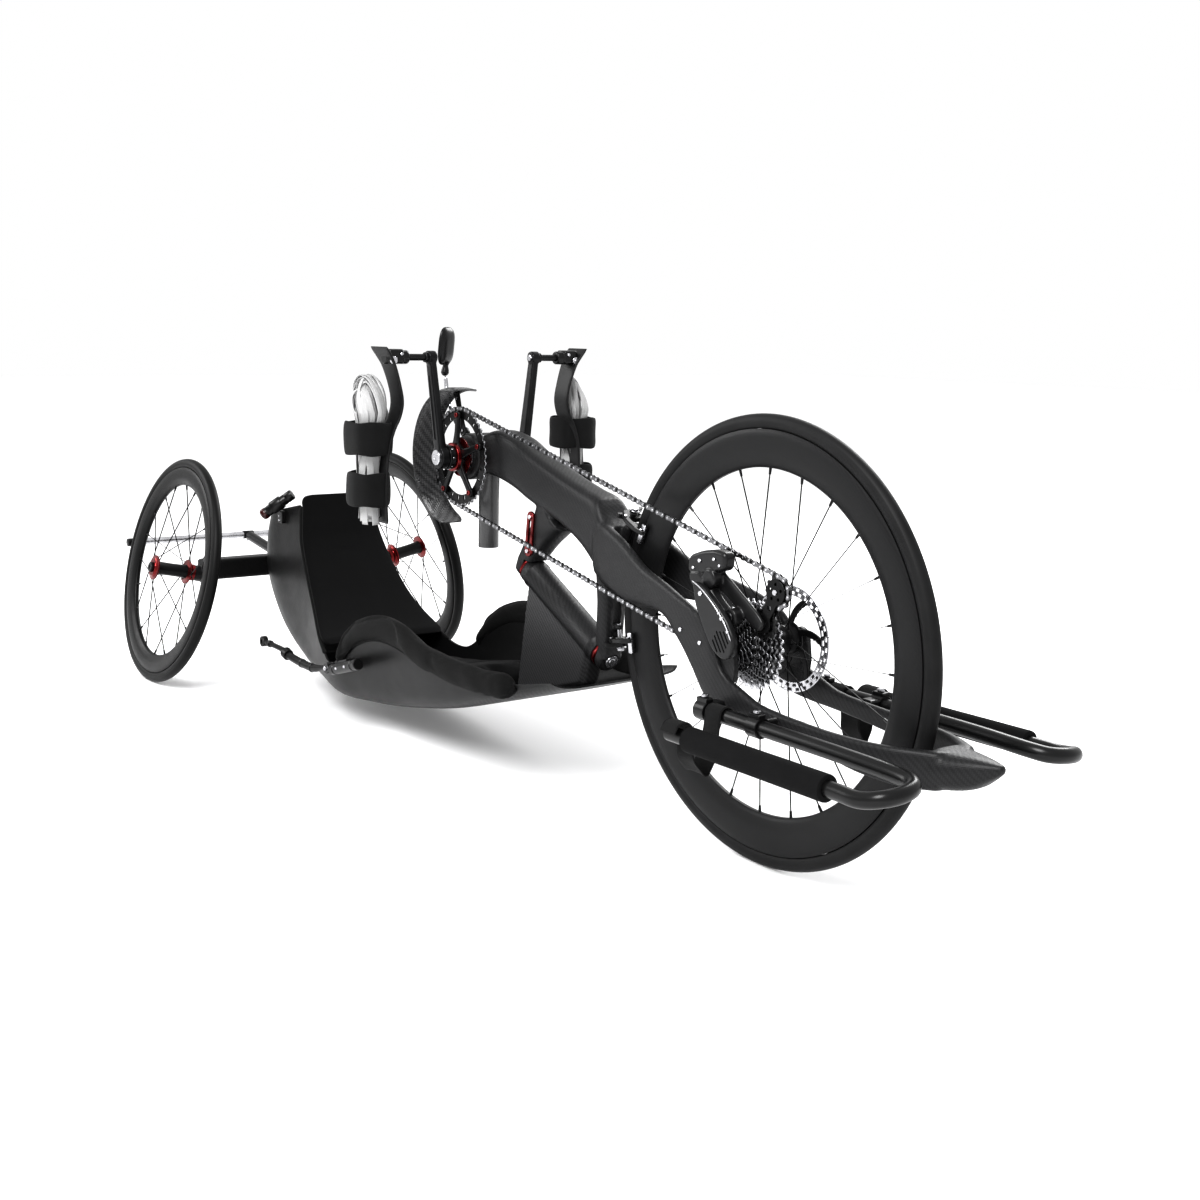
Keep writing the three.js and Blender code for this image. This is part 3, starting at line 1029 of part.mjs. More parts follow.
addPart(cage, 'changer_cage', join(
  ...cagePlates.flatMap(([low, high]) => [
    barBetween(cageStart, cageEnd, changer.arm, low, high), pin(cageStart, changer.knuckle, low, high),
      pin(cageEnd, changer.knuckle, low, high)]),
  ...[cageStart, cageEnd].map((p) => pin(p, changer.cagePin, cagePlates[0][0], cagePlates[1][1], 10)),
), 'blackMetal');
for (const [name, place] of [['guide', cageStart], ['tension', cageEnd]]) {
  const spin = newGroup(cage, place);
  const shape = toothed(pulley.teeth, cassetteTeeth.rise, 0);
  shape.holes.push(hole(0, 0, changer.cagePin + fit));
  addPart(spin, `${name}_pulley`, plateXZ(shape, chainPlane - pulley.width / 2, chainPlane + pulley.width / 2,
    6), 'blackMetal');
}

// Brake arms: two for each brake, turning on its bolt, a pad at the end of each
const rimHalfAtPad = frontWheel.rimWidth / 2;
for (const [name, angle] of brakeSites) {
  const { out, along } = brakeFrame(angle);
  for (const [sideName, side] of sides) {
    const pivot = wheelCentre.clone().addScaledVector(out, brakePivotRadius);
    const group = newGroup(fork, pivot);
    const padFace = rimHalfAtPad + brake.padGap;
    const padBack = padFace + brake.padThickness;
    const drop = -brake.padBelow - brake.pivotAbove;
    const shape = outline([
      [-brake.eye, 0], [-brake.wing, brake.eye], [-brake.wing, brake.eye * 1.6], [0, brake.eye],
        [brake.elbow * 0.6, brake.eye * 0.7],
      [brake.elbow, drop * 0.35], [brake.elbow, drop * 0.8], [padBack + 2, drop - brake.padHeight / 2],
        [padBack - 2, drop - brake.padHeight / 2],
      [padBack - 2, drop + brake.padHeight / 2], [brake.elbow - brake.eye, drop * 0.35],
        [brake.elbow * 0.45, -brake.eye], [0, -brake.eye],
    ].map(([y, r]) => [side * y, r]));
    const arm = new THREE.ExtrudeGeometry(shape, { depth: brake.arm, bevelEnabled: false,
      curveSegments: 10 });
    const basis = new THREE.Matrix4().makeBasis(acrossDirection, out, along);
    const shift = side > 0 ? fit / 2 : -brake.arm - fit / 2;
    arm.translate(0, 0, shift);
    const pad = new THREE.BoxGeometry(brake.padThickness, brake.padHeight, brake.padLength)
      .translate(side * (padFace + brake.padThickness / 2), drop, 0);
    const boltHole = rod(P(0, 0, -brake.arm * 2), P(0, 0, brake.arm * 2), brake.bolt + fit, 10);
    const body = geometryOf(cut(join(arm, pad), boltHole)).applyMatrix4(basis);
    addPart(group, `${name}_brake_arm_${sideName}`, body, 'blackMetal');
  }
}

// Foot rests: a hooped tube each side, clamped to the fork, with a foam sleeve and a heel sling
const rest = { radius: 11, inner: 119, outer: 192, high: 250, low: 230, tip: 419, clampAt: [9, 119],
  clampLength: 22, clampHeight: 20 };
// ahead over the tip, across from the inner to the outer leg, fall from the high to the low one
const restShares = [
  [-0.024, 0, 0], [0.274, 0, 0], [0.686, 0, 0.05], [0.914, 0, 0.2], [0.979, 0.137, 0.35], [1, 0.5, 0.5],
  [0.979, 0.863, 0.7], [0.914, 1, 1], [0.823, 1, 1], [0.548, 1, 1], [0.036, 1, 1],
];
const restPoints = (side) => restShares.map(([ahead, across, fall]) => P(ahead * rest.tip,
  side * (rest.inner + across * (rest.outer - rest.inner)), rest.high - fall * (rest.high - rest.low)));
const sleeve = { radius: 18, bore: 12, back: 62, front: 330 };
const sling = { radius: 13.3, thickness: 2, width: 34, at: 38, drop: 172 };
// across from the inner to the outer leg, rise from the lowest point to the low leg
const slingShares = [[0.233, 0.862], [0.315, 0.345], [0.5, 0], [0.685, 0.241], [0.781, 0.586]];
for (const [name, side] of sides) {
  const path = restPoints(side);
  const restBody = tube(path, rest.radius, 8, 20);
  const clamps = rest.clampAt.map((x) =>
    block(P(x, (side * (blade.stance + blade.thickness / 2 + fit + rest.inner)) / 2, rest.high),
    rest.clampLength, rest.inner - blade.stance - blade.thickness / 2 - fit, rest.clampHeight));
  addPart(fork, `foot_rest_${name}`, join(restBody, ...clamps), 'blackMetal');
  const sleeveAt = (x) => P(x, side * rest.outer, rest.low);
  addPart(fork, `foam_sleeve_${name}`, cut(
    rod(sleeveAt(sleeve.back), sleeveAt(sleeve.front), sleeve.radius, 14),
    rod(sleeveAt(sleeve.back - overrun), sleeveAt(sleeve.front + overrun), sleeve.bore, 14)), 'foam');
  const around = (y, z, angles) => angles.map((degrees) => {
    const turn = THREE.MathUtils.degToRad(degrees);
    return [y + sling.radius * Math.cos(turn), z + sling.radius * Math.sin(turn)];
  });
  const hanging = slingShares.map(([across, rise]) => [
    rest.inner + across * (rest.outer - rest.inner), sling.drop + rise * (rest.low - sling.drop)]);
  const slingPath = [
    ...around(rest.inner, rest.high, [120, 75, 30, -5]), ...hanging, ...around(rest.outer, rest.low,
      [185, 150, 105, 60])];
  addPart(fork, `heel_sling_${name}`, loft(slingPath.map(([y, z], i) => {
    const before = slingPath[Math.max(i - 1, 0)];
    const after = slingPath[Math.min(i + 1, slingPath.length - 1)];
    const along = P(0, side * (after[0] - before[0]), after[1] - before[1]).normalize();
    return roundedRing(P(sling.at, side * y, z), P(1, 0, 0), along.cross(P(1, 0, 0)), sling.width / 2,
      sling.thickness / 2, 6, 8);
  })), 'cloth');
}

// Mirror on a bent stalk from the head of the fork
const stalk = { radius: 4, side: -20, ball: 7.5, start: 43.6, root: 12, back: 106, rise: 152 };
const stalkWay = P(-0.596, 0, 0.803);
const stalkShares = [[0.575, 0.375], [0.802, 0.579], [0.934, 0.796], [0.983, 0.949]];
const stalkPoints = [
  ...[stalk.start, stalk.start + stalk.root].map((distance) => crankCentre.clone().addScaledVector(stalkWay,
    distance)),
  ...stalkShares.map(([back, rise]) => crankCentre.clone().add(P(-back * stalk.back, 0, rise * stalk.rise))),
].map((p) => p.setY(stalk.side));
addPart(fork, 'mirror_stalk', tube(stalkPoints, stalk.radius, 6, 16), 'blackMetal');
const mirror = { halfWidth: 24, halfHeight: 36, depth: 12, neck: 13, rootIn: 6 };
const mirrorPivot = crankCentre.clone().add(P(-stalk.back, stalk.side, stalk.rise));
const mirrorGroup = newGroup(fork, mirrorPivot);
const mirrorFace = P(-0.86, -0.5, 0.1).normalize();
const mirrorSide = P(0, 0, 1).cross(mirrorFace).normalize();
const mirrorUp = mirrorFace.clone().cross(mirrorSide);
// depth, size
const mirrorShares = [[0, 0.93], [0.15, 1], [0.5, 0.95], [0.85, 0.72], [1, 0.4]];
const mirrorMiddle = P(0, 0, 0).addScaledVector(mirrorUp, mirror.neck + mirror.halfHeight);
const mirrorShell = loft(mirrorShares.map(([depth, size]) => roundedRing(
  mirrorMiddle.clone().addScaledVector(mirrorFace, mirror.depth * (0.5 - depth)), mirrorSide, mirrorUp,
    mirror.halfWidth * size,
  mirror.halfHeight * size, 2.2, 12)));
addPart(mirrorGroup, 'mirror', join(mirrorShell,
  rod(P(0, 0, 0).addScaledVector(mirrorUp, stalk.ball * 0.4), P(0, 0, 0).addScaledVector(mirrorUp,
    mirror.neck + mirror.rootIn), stalk.radius, 8),
  loft([-0.9, -0.5, 0, 0.5, 0.9].map((t) => roundedRing(P(0, 0, t * stalk.ball), P(1, 0, 0), acrossDirection,
    stalk.ball * Math.sqrt(1 - t * t), stalk.ball * Math.sqrt(1 - t * t), 2, 8)))), 'blackMetal');

// Steering stop link beside the stub
const link = { half: 10, near: -23, far: -27.5, slot: 3.6, topOff: 26.2, bottomOff: -8.3 };
const stubRun = footMiddles[0].clone().sub(stubTop);
const stubSide = P(stubRun.z, 0, -stubRun.x).normalize();
const [linkTop, linkBottom] = [[0.279, link.topOff], [0.647, link.bottomOff]].map(([share, off]) =>
  stubTop.clone()
  .addScaledVector(stubRun, share).addScaledVector(stubSide, off));
const slotOf = (shape) => {
  const [a, b] = [linkTop.clone().lerp(linkBottom, 0.12), linkBottom.clone().lerp(linkTop, 0.12)];
  return cut(shape, barBetween(a, b, link.slot, link.far - overrun, link.near + overrun));
};
addPart(fork, 'steering_link', slotOf(join(
  barBetween(linkTop, linkBottom, link.half, link.far, link.near),
  ...[linkTop, linkBottom].map((p) => pin(p, link.half, link.far, link.near, 16)))), 'red');

// The object's own origin: on the ground, under the middle of its outline
bike.updateMatrixWorld(true);
const extent = new THREE.Box3().setFromObject(bike, true);
const middleOfAll = extent.getCenter(P(0, 0, 0));
bike.position.set(-middleOfAll.x, -middleOfAll.y, -extent.min.z);

export default bike;
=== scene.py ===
import math

import bmesh
import bpy
import numpy as np
from mathutils import Matrix, Vector


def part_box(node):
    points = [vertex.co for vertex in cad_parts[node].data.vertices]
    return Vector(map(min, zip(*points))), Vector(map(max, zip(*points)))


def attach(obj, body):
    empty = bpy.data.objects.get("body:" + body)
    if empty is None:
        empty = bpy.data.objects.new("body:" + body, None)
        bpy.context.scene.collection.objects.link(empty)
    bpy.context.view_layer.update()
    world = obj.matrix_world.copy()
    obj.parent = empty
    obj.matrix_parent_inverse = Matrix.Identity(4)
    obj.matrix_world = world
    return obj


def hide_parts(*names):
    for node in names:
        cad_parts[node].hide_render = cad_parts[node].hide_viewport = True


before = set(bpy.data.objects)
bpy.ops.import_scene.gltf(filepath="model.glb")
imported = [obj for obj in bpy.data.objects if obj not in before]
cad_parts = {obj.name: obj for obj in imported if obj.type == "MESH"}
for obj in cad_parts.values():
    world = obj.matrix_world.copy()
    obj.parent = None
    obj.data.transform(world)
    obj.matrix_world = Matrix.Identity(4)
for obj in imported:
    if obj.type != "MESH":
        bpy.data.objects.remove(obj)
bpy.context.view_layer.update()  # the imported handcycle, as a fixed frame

print("frame loaded:", len(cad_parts), "solids")

# Lengths below are millimetres from the ground under the front wheel, x ahead, y to the rider's left.
wheel = {"radius": 334, "width": 25, "seat": 312, "bore": 256, "rimWidth": 25, "spokes": 24, "hubWidth": 135}
smallWheel = {"radius": 247.5, "width": 23, "seat": 227.5, "bore": 189, "rimWidth": 22, "spokes": 20, "hubWidth": 86}
axleLow, axleHigh = (np.array(corner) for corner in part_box("front_axle"))
origin = (axleLow + axleHigh) / 2 - np.array([0, 0, wheel["radius"] / 1000])


def place(points):  # millimetres to the part's own metres
    return np.asarray(points, float) / 1000 + origin


def unit(vectors):
    vectors = np.asarray(vectors, float)
    return vectors / np.linalg.norm(vectors, axis=-1, keepdims=True)


class Form:  # points, and faces in groups of equal corner count
    def __init__(self, points, groups):
        self.points = np.asarray(points, float).reshape(-1, 3)
        self.groups = [np.asarray(group, int) for group in groups]

    def __add__(self, other):
        shifted = [group + len(self.points) for group in other.groups]
        return Form(np.vstack([self.points, other.points]), self.groups + shifted)

    def moved(self, offset, turn):
        return Form(self.points @ turn.T + offset, self.groups)

    def repeated(self, offsets, turns=np.eye(3)):  # one copy for each offset, turned by its own matrix
        turns = np.broadcast_to(turns, (len(offsets), 3, 3))
        points = np.einsum("nij,pj->npi", turns, self.points) + offsets[:, None]
        steps = np.arange(len(offsets))[:, None, None] * len(self.points)
        return Form(points, [(group[None] + steps).reshape(-1, group.shape[1]) for group in self.groups])


def joined(forms):
    total = forms[0]
    for form in forms[1:]:
        total = total + form
    return total


def bent(wave, power):  # a power that keeps the sign
    return np.sign(wave) * np.abs(wave) ** power


# A rise from 0 to 1 over a share's first unit, round as a quarter circle, never under a floor.
def roundedEnd(share, floor):
    return np.sqrt(np.clip(1 - (1 - np.clip(share, 0, 1)) ** 2, floor, 1))


def lengthAlong(line):  # how far along the line each of its points lies
    return np.concatenate([[0], np.cumsum(np.linalg.norm(np.diff(line, axis=0), axis=1))])


# A surface through a grid of points: each face joins a point, the next column, the next row and both.
def surface(grid, roundRows=False, roundColumns=False, caps=(False, False)):
    rows, columns = grid.shape[:2]
    index = np.arange(rows * columns).reshape(rows, columns)
    if roundRows:
        index = np.vstack([index, index[:1]])
    if roundColumns:
        index = np.hstack([index, index[:, :1]])
    corners = [index[:-1, :-1], index[:-1, 1:], index[1:, 1:], index[1:, :-1]]
    ends = zip(caps, (index[0, :columns][::-1], index[rows - 1, :columns]))
    return Form(grid, [np.stack(corners, -1).reshape(-1, 4), *(ring[None] for wanted, ring in ends if wanted)])


# A ring round each middle: half width times cos and half height times sin, both raised to 2 / squareness.
def rings(middle, across, up, halfAcross, halfUp, squareness=4, count=32):
    angle = np.linspace(0, 2 * math.pi, count, endpoint=False)
    wide, high = (bent(wave, 2 / squareness)[None, :, None] for wave in (np.cos(angle), np.sin(angle)))
    middle = np.asarray(middle, float).reshape(-1, 1, 3)
    across, up = (np.broadcast_to(np.asarray(way, float), (len(middle), 3))[:, None] for way in (across, up))
    halfAcross, halfUp = (
        np.broadcast_to(np.asarray(half, float), (len(middle),))[:, None, None] for half in (halfAcross, halfUp))
    return middle + across * halfAcross * wide + up * halfUp * high


def loft(ringGrid):
    return surface(ringGrid, roundColumns=True, caps=(True, True))


# A cubic through rows of values at their places; the slope at a row is that between its neighbours.
def through(places, values, at):
    places, values, at = np.asarray(places, float), np.asarray(values, float), np.asarray(at, float)
    i = np.clip(np.searchsorted(places, at) - 1, 0, len(places) - 2)
    before, after = np.maximum(np.arange(len(places)) - 1, 0), np.minimum(np.arange(len(places)) + 1, len(places) - 1)
    wide = lambda a: a.reshape(-1, *[1] * (values.ndim - 1))
    slopes = (values[after] - values[before]) / wide(places[after] - places[before])
    span = places[i + 1] - places[i]
    t = np.clip((at - places[i]) / span, 0, 1)
    h = (2 * t - 3) * t * t
    return (wide(1 + h) * values[i] - wide(h) * values[i + 1] + wide(((t - 2) * t + 1) * t * span) * slopes[i]
            + wide((t - 1) * t * t * span) * slopes[i + 1])


def curve(points, count):  # even steps along a smooth line through points
    points = np.asarray(points, float)
    gaps = np.sqrt(np.linalg.norm(np.diff(points, axis=0), axis=1))
    places = np.concatenate([[0], np.cumsum(gaps)])
    fine = through(places, points, np.linspace(0, places[-1], count * 8))
    run = lengthAlong(fine)
    wanted = np.linspace(0, run[-1], count)
    return np.stack([np.interp(wanted, run, fine[:, axis]) for axis in range(3)], -1)


# A section swept along a line: its width lies across the line and the reference way.
def swept(line, half, reference=(0, 0, 1), squareness=2, count=16, ends=0.0):
    along = unit(np.gradient(line, axis=0))
    across = unit(np.cross(along, np.asarray(reference, float)))
    up = unit(np.cross(across, along))
    halves = np.broadcast_to(half, (2,))[:, None] * np.ones(len(line))
    if ends:
        run = lengthAlong(line)
        halves = halves * roundedEnd(np.minimum(run, run[-1] - run) / ends, 0.02)
    return loft(rings(line, across, up, *halves, squareness, count))


# A profile of radius and distance turned about a line from a start point.
def turned(profile, start, way, count=48, closed=False):
    way = unit(way)
    side = unit(np.cross(way, (0, 0, 1) if abs(way[2]) < 0.9 else (1, 0, 0)))
    other = np.cross(way, side)
    profile = np.asarray(profile, float)
    angle = np.linspace(0, 2 * math.pi, count, endpoint=False)
    circle = np.cos(angle)[:, None] * side + np.sin(angle)[:, None] * other
    grid = np.asarray(start, float) + profile[:, 1, None, None] * way + profile[:, 0, None, None] * circle[None]
    return surface(grid, roundRows=closed, roundColumns=True, caps=(not closed, not closed))


def mirrored(profile, total=0):  # a profile and its mirror image about half the total
    return [*profile, *((radius, total - distance) for radius, distance in profile[::-1])]


def rod(start, end, radius, count=24, chamfer=0.6, endRadius=None):
    start, end = np.asarray(start, float), np.asarray(end, float)
    length = np.linalg.norm(end - start)
    last = radius if endRadius is None else endRadius
    profile = [(radius - chamfer, 0), (radius, chamfer), (last, length - chamfer), (last - chamfer, length)]
    return turned(profile, start, end - start, count)


def pin(at, low, high, radius, count=24, chamfer=0.6, way=(0, 1, 0)):  # a rod between two places on a way
    at, way = np.asarray(at, float), np.asarray(way, float)
    return rod(at + way * low, at + way * high, radius, count, chamfer)


def radial(angle, radius=1.0):  # a place on a circle seen from the machine's side
    return np.array([radius * math.cos(angle), 0, radius * math.sin(angle)])


def roundedCorners(corners, radius, steps=5):  # each corner becomes a short parabola between its edges
    corners = np.asarray(corners, float)
    back, ahead = np.roll(corners, 1, 0) - corners, np.roll(corners, -1, 0) - corners
    reach = lambda edge: np.minimum(radius, np.linalg.norm(edge, axis=1) * 0.45)[:, None]
    first, last = corners + unit(back) * reach(back), corners + unit(ahead) * reach(ahead)
    t = np.linspace(0, 1, steps)[None, :, None]
    start, bend, end = first[:, None], corners[:, None], last[:, None]
    return ((1 - t) ** 2 * start + 2 * t * (1 - t) * bend + t ** 2 * end).reshape(-1, 2)


# A plate: an outline drawn along two ways, thick from low to high along their cross, with bevelled edges.
def plate(outline, low, high, middle=(0, 0, 0), first=(1, 0, 0), second=(0, 0, 1), bevel=0.6):
    outline = np.asarray(outline, float)
    edges = unit(np.roll(outline, -1, 0) - outline)
    outwards = np.stack([edges[:, 1], -edges[:, 0]], -1)
    normal = unit(outwards + np.roll(outwards, 1, 0))
    area = np.sum(outline[:, 0] * np.roll(outline[:, 1], -1) - np.roll(outline[:, 0], -1) * outline[:, 1])
    inset = outline - normal * bevel * (1 if area > 0 else -1)
    first, second = unit(first), unit(second)
    normalWay = np.cross(second, first)
    layers = [(inset, low), (outline, low + bevel), (outline, high - bevel), (inset, high)]
    return loft(np.stack([np.asarray(middle, float) + flat[:, :1] * first + flat[:, 1:] * second
                          + depth * normalWay for flat, depth in layers]))


# A block with rounded corners: its size is given along the first way, along the second way and across both.
def slab(middle, size, bevel=1.0, corner=2.0, first=(1, 0, 0), second=(0, 0, 1)):
    a, b = size[0] / 2, size[1] / 2
    outline = roundedCorners([(-a, -b), (a, -b), (a, b), (-a, b)], corner)
    return plate(outline, -size[2] / 2, size[2] / 2, middle, first, second, bevel)


# A flat toothed or pierced disc: rows of cells between two radii, the masked ones left out; it gets its wall later.
def disc(inner, outer, rows, columns, centre, y, mask=None, phase=0.0):
    angle = np.linspace(0, 2 * math.pi, columns, endpoint=False) + phase
    t = np.linspace(0, 1, rows + 1)[:, None]
    low, high = (
        np.broadcast_to(edge(angle - phase) if callable(edge) else edge, angle.shape) for edge in (inner, outer))
    radius = low + (high - low) * t
    x, z = centre[0] + radius * np.cos(angle), centre[1] + radius * np.sin(angle)
    form = surface(np.stack([x, np.full_like(radius, y), z], -1), roundColumns=True)
    if mask is not None:
        middleAngle = angle + math.pi / columns - phase
        middleRadius = (radius[:-1] + radius[1:]) / 2
        keep = ~mask(middleRadius, np.broadcast_to(middleAngle, middleRadius.shape)).reshape(-1)
        form = Form(form.points, [form.groups[0][keep]])
    return form


# The edge of a toothed disc: rounded valleys on the pitch circle and blunt points between them.
def teeth(count, radius, rise=2.4, drop=2.4):
    def edge(angle):
        wave = -np.cos(angle * count)
        return radius - drop + (rise + drop) * np.clip((wave + 0.75) / 1.45, 0, 1) ** 0.8
    return edge


def bare(name, form):  # an object that holds a form, without finish or body
    mesh = bpy.data.meshes.new(name)
    mesh.from_pydata(place(form.points).tolist(), [], [face for group in form.groups for face in group.tolist()])
    mesh.validate()
    work = bmesh.new()
    work.from_mesh(mesh)
    bmesh.ops.delete(work, geom=[point for point in work.verts if not point.link_faces], context="VERTS")
    bmesh.ops.recalc_face_normals(work, faces=work.faces)
    work.to_mesh(mesh)
    work.free()
    made = bpy.data.objects.new(name, mesh)
    bpy.context.scene.collection.objects.link(made)
    return made


def piece(name, form, *finish, **more):  # a form as a finished piece
    return finished(bare(name, form), *finish, **more)


# The piece's finish, body and replaced nodes; its slot is its finish's own, and a slot given by name is not used.
def finished(made, look, body, replaced=(), sharp=38, wall=0, bevel=0, subdivide=0, slot=None):
    mesh = made.data
    mesh.materials.clear()
    mesh.materials.append(look)
    mesh.shade_smooth()
    mesh.set_sharp_from_angle(angle=math.radians(sharp))
    if wall:
        solid = made.modifiers.new("wall", "SOLIDIFY")
        solid.thickness, solid.offset, solid.use_even_offset = wall / 1000, 0, False
    if bevel:
        edge = made.modifiers.new("edge", "BEVEL")
        edge.width, edge.segments = bevel / 1000, 2
        edge.limit_method, edge.angle_limit = "ANGLE", math.radians(35)
    if subdivide:
        smooth = made.modifiers.new("smooth", "SUBSURF")
        smooth.levels = smooth.render_levels = subdivide
    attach(made, body)
    if replaced:
        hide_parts(*replaced)
    return made


class Signal:  # a shader value that takes part in sums as a number does
    def __init__(self, look, socket):
        self.look, self.socket = look, socket

    def sum(self, operation, other=None, swapped=False):
        pair = [other, self] if swapped else [self, other]
        return self.look.node("ShaderNodeMath", {"operation": operation}, pair)

    def __add__(self, other): return self.sum("ADD", other)
    def __radd__(self, other): return self.sum("ADD", other)
    def __sub__(self, other): return self.sum("SUBTRACT", other)
    def __rsub__(self, other): return self.sum("SUBTRACT", other, True)
    def __mul__(self, other): return self.sum("MULTIPLY", other)
    def __rmul__(self, other): return self.sum("MULTIPLY", other)
    def __truediv__(self, other): return self.sum("DIVIDE", other)
    def __mod__(self, other): return self.sum("FLOORED_MODULO", other)
    def __gt__(self, other): return self.sum("GREATER_THAN", other)
    def __lt__(self, other): return self.sum("LESS_THAN", other)
    def __abs__(self): return self.sum("ABSOLUTE")
    def floor(self): return self.sum("FLOOR")
    def fraction(self): return self.sum("FRACT")
    def sine(self): return self.sum("SINE")


class Look:  # one finish: constants on the shader, patterns linked into it
    def __init__(self, name, colour, roughness, metallic=0.0, coat=0.0, coatRoughness=0.2, sheen=0.0, specular=0.25):
        self.material = bpy.data.materials.new(name)
        self.material.use_nodes = True
        self.tree = self.material.node_tree
        self.shader = self.tree.nodes["Principled BSDF"]
        constants = {"Base Color": (*colour, 1), "Roughness": roughness, "Metallic": metallic, "Coat Weight": coat,
                     "Coat Roughness": coatRoughness, "Sheen Weight": sheen, "IOR": 1.5,
                     "Specular IOR Level": specular}
        for socket, value in constants.items():
            self.shader.inputs[socket].default_value = value

    def node(self, kind, settings=None, inputs=(), output=0):
        made = self.tree.nodes.new(kind)
        for key, value in (settings or {}).items():
            setattr(made, key, value)
        for key, value in (inputs.items() if isinstance(inputs, dict) else enumerate(inputs)):
            if isinstance(value, Signal):
                self.tree.links.new(value.socket, made.inputs[key])
            elif value is not None:
                made.inputs[key].default_value = value
        return Signal(self, made.outputs[output])

    def place(self):
        return self.node("ShaderNodeTexCoord", output="Object")

    def split(self, vector):
        parts = self.node("ShaderNodeSeparateXYZ", inputs=[vector])
        outputs = parts.socket.node.outputs
        return [Signal(self, outputs[k]) for k in range(3)]

    def flat(self):  # two lengths over the surface, taken across its steepest way
        x, y, z = self.split(self.place())
        nx, ny, nz = (abs(part) for part in self.split(self.node("ShaderNodeTexCoord", output="Normal")))
        onSide = (nx > ny) * (nx > nz)
        onTop = (nz > ny) * (nz > nx)
        return x + (y - x) * onSide, z + (y - z) * onTop

    def noise(self, scale, detail=2.0, vector=None):
        settings = {"Vector": vector or self.place(), "Scale": scale, "Detail": detail}
        return self.node("ShaderNodeTexNoise", inputs=settings)

    def ramp(self, value, low, high):  # value carried to 0..1 between low and high, held beyond them
        return self.node("ShaderNodeMapRange", inputs={"Value": value, "From Min": low, "From Max": high})

    def blend(self, amount, first, second):
        full = lambda tone: (*tone, 1) if isinstance(tone, tuple) else tone
        inputs = {0: amount, 6: full(first), 7: full(second)}
        return self.node("ShaderNodeMix", {"data_type": "RGBA"}, inputs, output=2)

    def feed(self, socket, value):
        self.tree.links.new(value.socket, self.shader.inputs[socket])

    def bump(self, height, distance, strength=1.0):
        settings = {"Height": height, "Distance": distance, "Strength": strength}
        self.feed("Normal", self.node("ShaderNodeBump", inputs=settings))


def lighter(colour, share):
    return tuple(c * share for c in colour)


def carbonLook(name, colour, tow=2.6, contrast=0.5, roughness=0.42, coat=0.25, relief=0.12, dust=0.12):
    look = Look(name, colour, roughness, 0.0, coat, 0.25, specular=0.2)
    u, v = look.flat()
    a, b = u / (tow / 1000), v / (tow / 1000)
    over = ((a.floor() + b.floor()) % 4.0) < 2.0  # two over, two under, one step on at each row
    acrossA, acrossB = abs(a.fraction() - 0.5), abs(b.fraction() - 0.5)
    across = acrossA * over + acrossB * (1 - over)
    crown = 1 - across * across * 4
    cloud = look.noise(9.0, 3.0)
    # Each tow's crown, and the tows that lie over, are painted lighter: the weave pattern drawn as painted sheen in
    # place of the fibres' own reflection.
    tone = crown * 0.55 + over * 0.45
    sheenedWeave = look.blend(tone, lighter(colour, 1 - contrast * 0.6), lighter(colour, 1 + contrast))
    look.feed("Base Color", look.blend(look.ramp(cloud, 0.45, 0.75) * dust, sheenedWeave, lighter(colour, 1.5)))
    look.feed("Roughness", roughness - 0.1 + look.noise(38.0, 3.0) * 0.14 + over * 0.05)
    look.bump(crown, relief / 1000)
    return look.material


def metalLook(name, colour, roughness=0.3, grain=420.0, scatter=0.16, coat=0.0, metallic=1.0, stretch=(1, 1, 1)):
    look = Look(name, colour, roughness, metallic, coat, 0.12)
    stretched = look.node("ShaderNodeVectorMath", {"operation": "MULTIPLY"}, [look.place(), stretch])
    fine, slow = look.noise(grain, 4.0, stretched), look.noise(30.0, 2.0)
    look.feed("Base Color", look.blend(look.ramp(slow, 0.35, 0.7), lighter(colour, 0.82), lighter(colour, 1.12)))
    look.feed("Roughness", fine * scatter + (roughness - scatter / 2) + slow * 0.06)
    look.bump(fine, 0.00004, 0.5)
    return look.material


def plasticLook(name, colour, roughness=0.45, grain=900.0, relief=0.05, coat=0.0, specular=0.3):
    look = Look(name, colour, roughness, 0.0, coat, 0.15, specular=specular)
    fine, slow = look.noise(grain, 3.0), look.noise(22.0, 3.0)
    look.feed("Base Color", look.blend(look.ramp(slow, 0.35, 0.75), lighter(colour, 0.85), lighter(colour, 1.3)))
    look.feed("Roughness", fine * 0.12 + (roughness - 0.06) + slow * 0.05)
    look.bump(fine, relief / 1000)
    return look.material


def clothLook(name, colour, thread=1.1, roughness=0.9, sheen=0.15, relief=0.35, tint=1.5, specular=0.3):
    look = Look(name, colour, roughness, 0.0, 0.0, 0.2, sheen, specular=specular)
    u, v = look.flat()
    wave = lambda length: (length * (2 * math.pi / (thread / 1000))).sine() * 0.5 + 0.5
    warp, weft = wave(u), wave(v)
    knit = warp * (1 - weft) + weft * (1 - warp)
    slow, fuzz = look.noise(16.0, 4.0), look.noise(700.0, 2.0)
    base = look.blend(knit * 0.8 + fuzz * 0.2, lighter(colour, 0.65), lighter(colour, tint))
    look.feed("Base Color", look.blend(look.ramp(slow, 0.5, 0.8) * 0.35, base, lighter(colour, 1.8)))
    look.feed("Roughness", roughness - 0.08 + slow * 0.12)
    look.bump(knit * 0.7 + fuzz * 0.3, relief / 1000, 0.8)
    return look.material


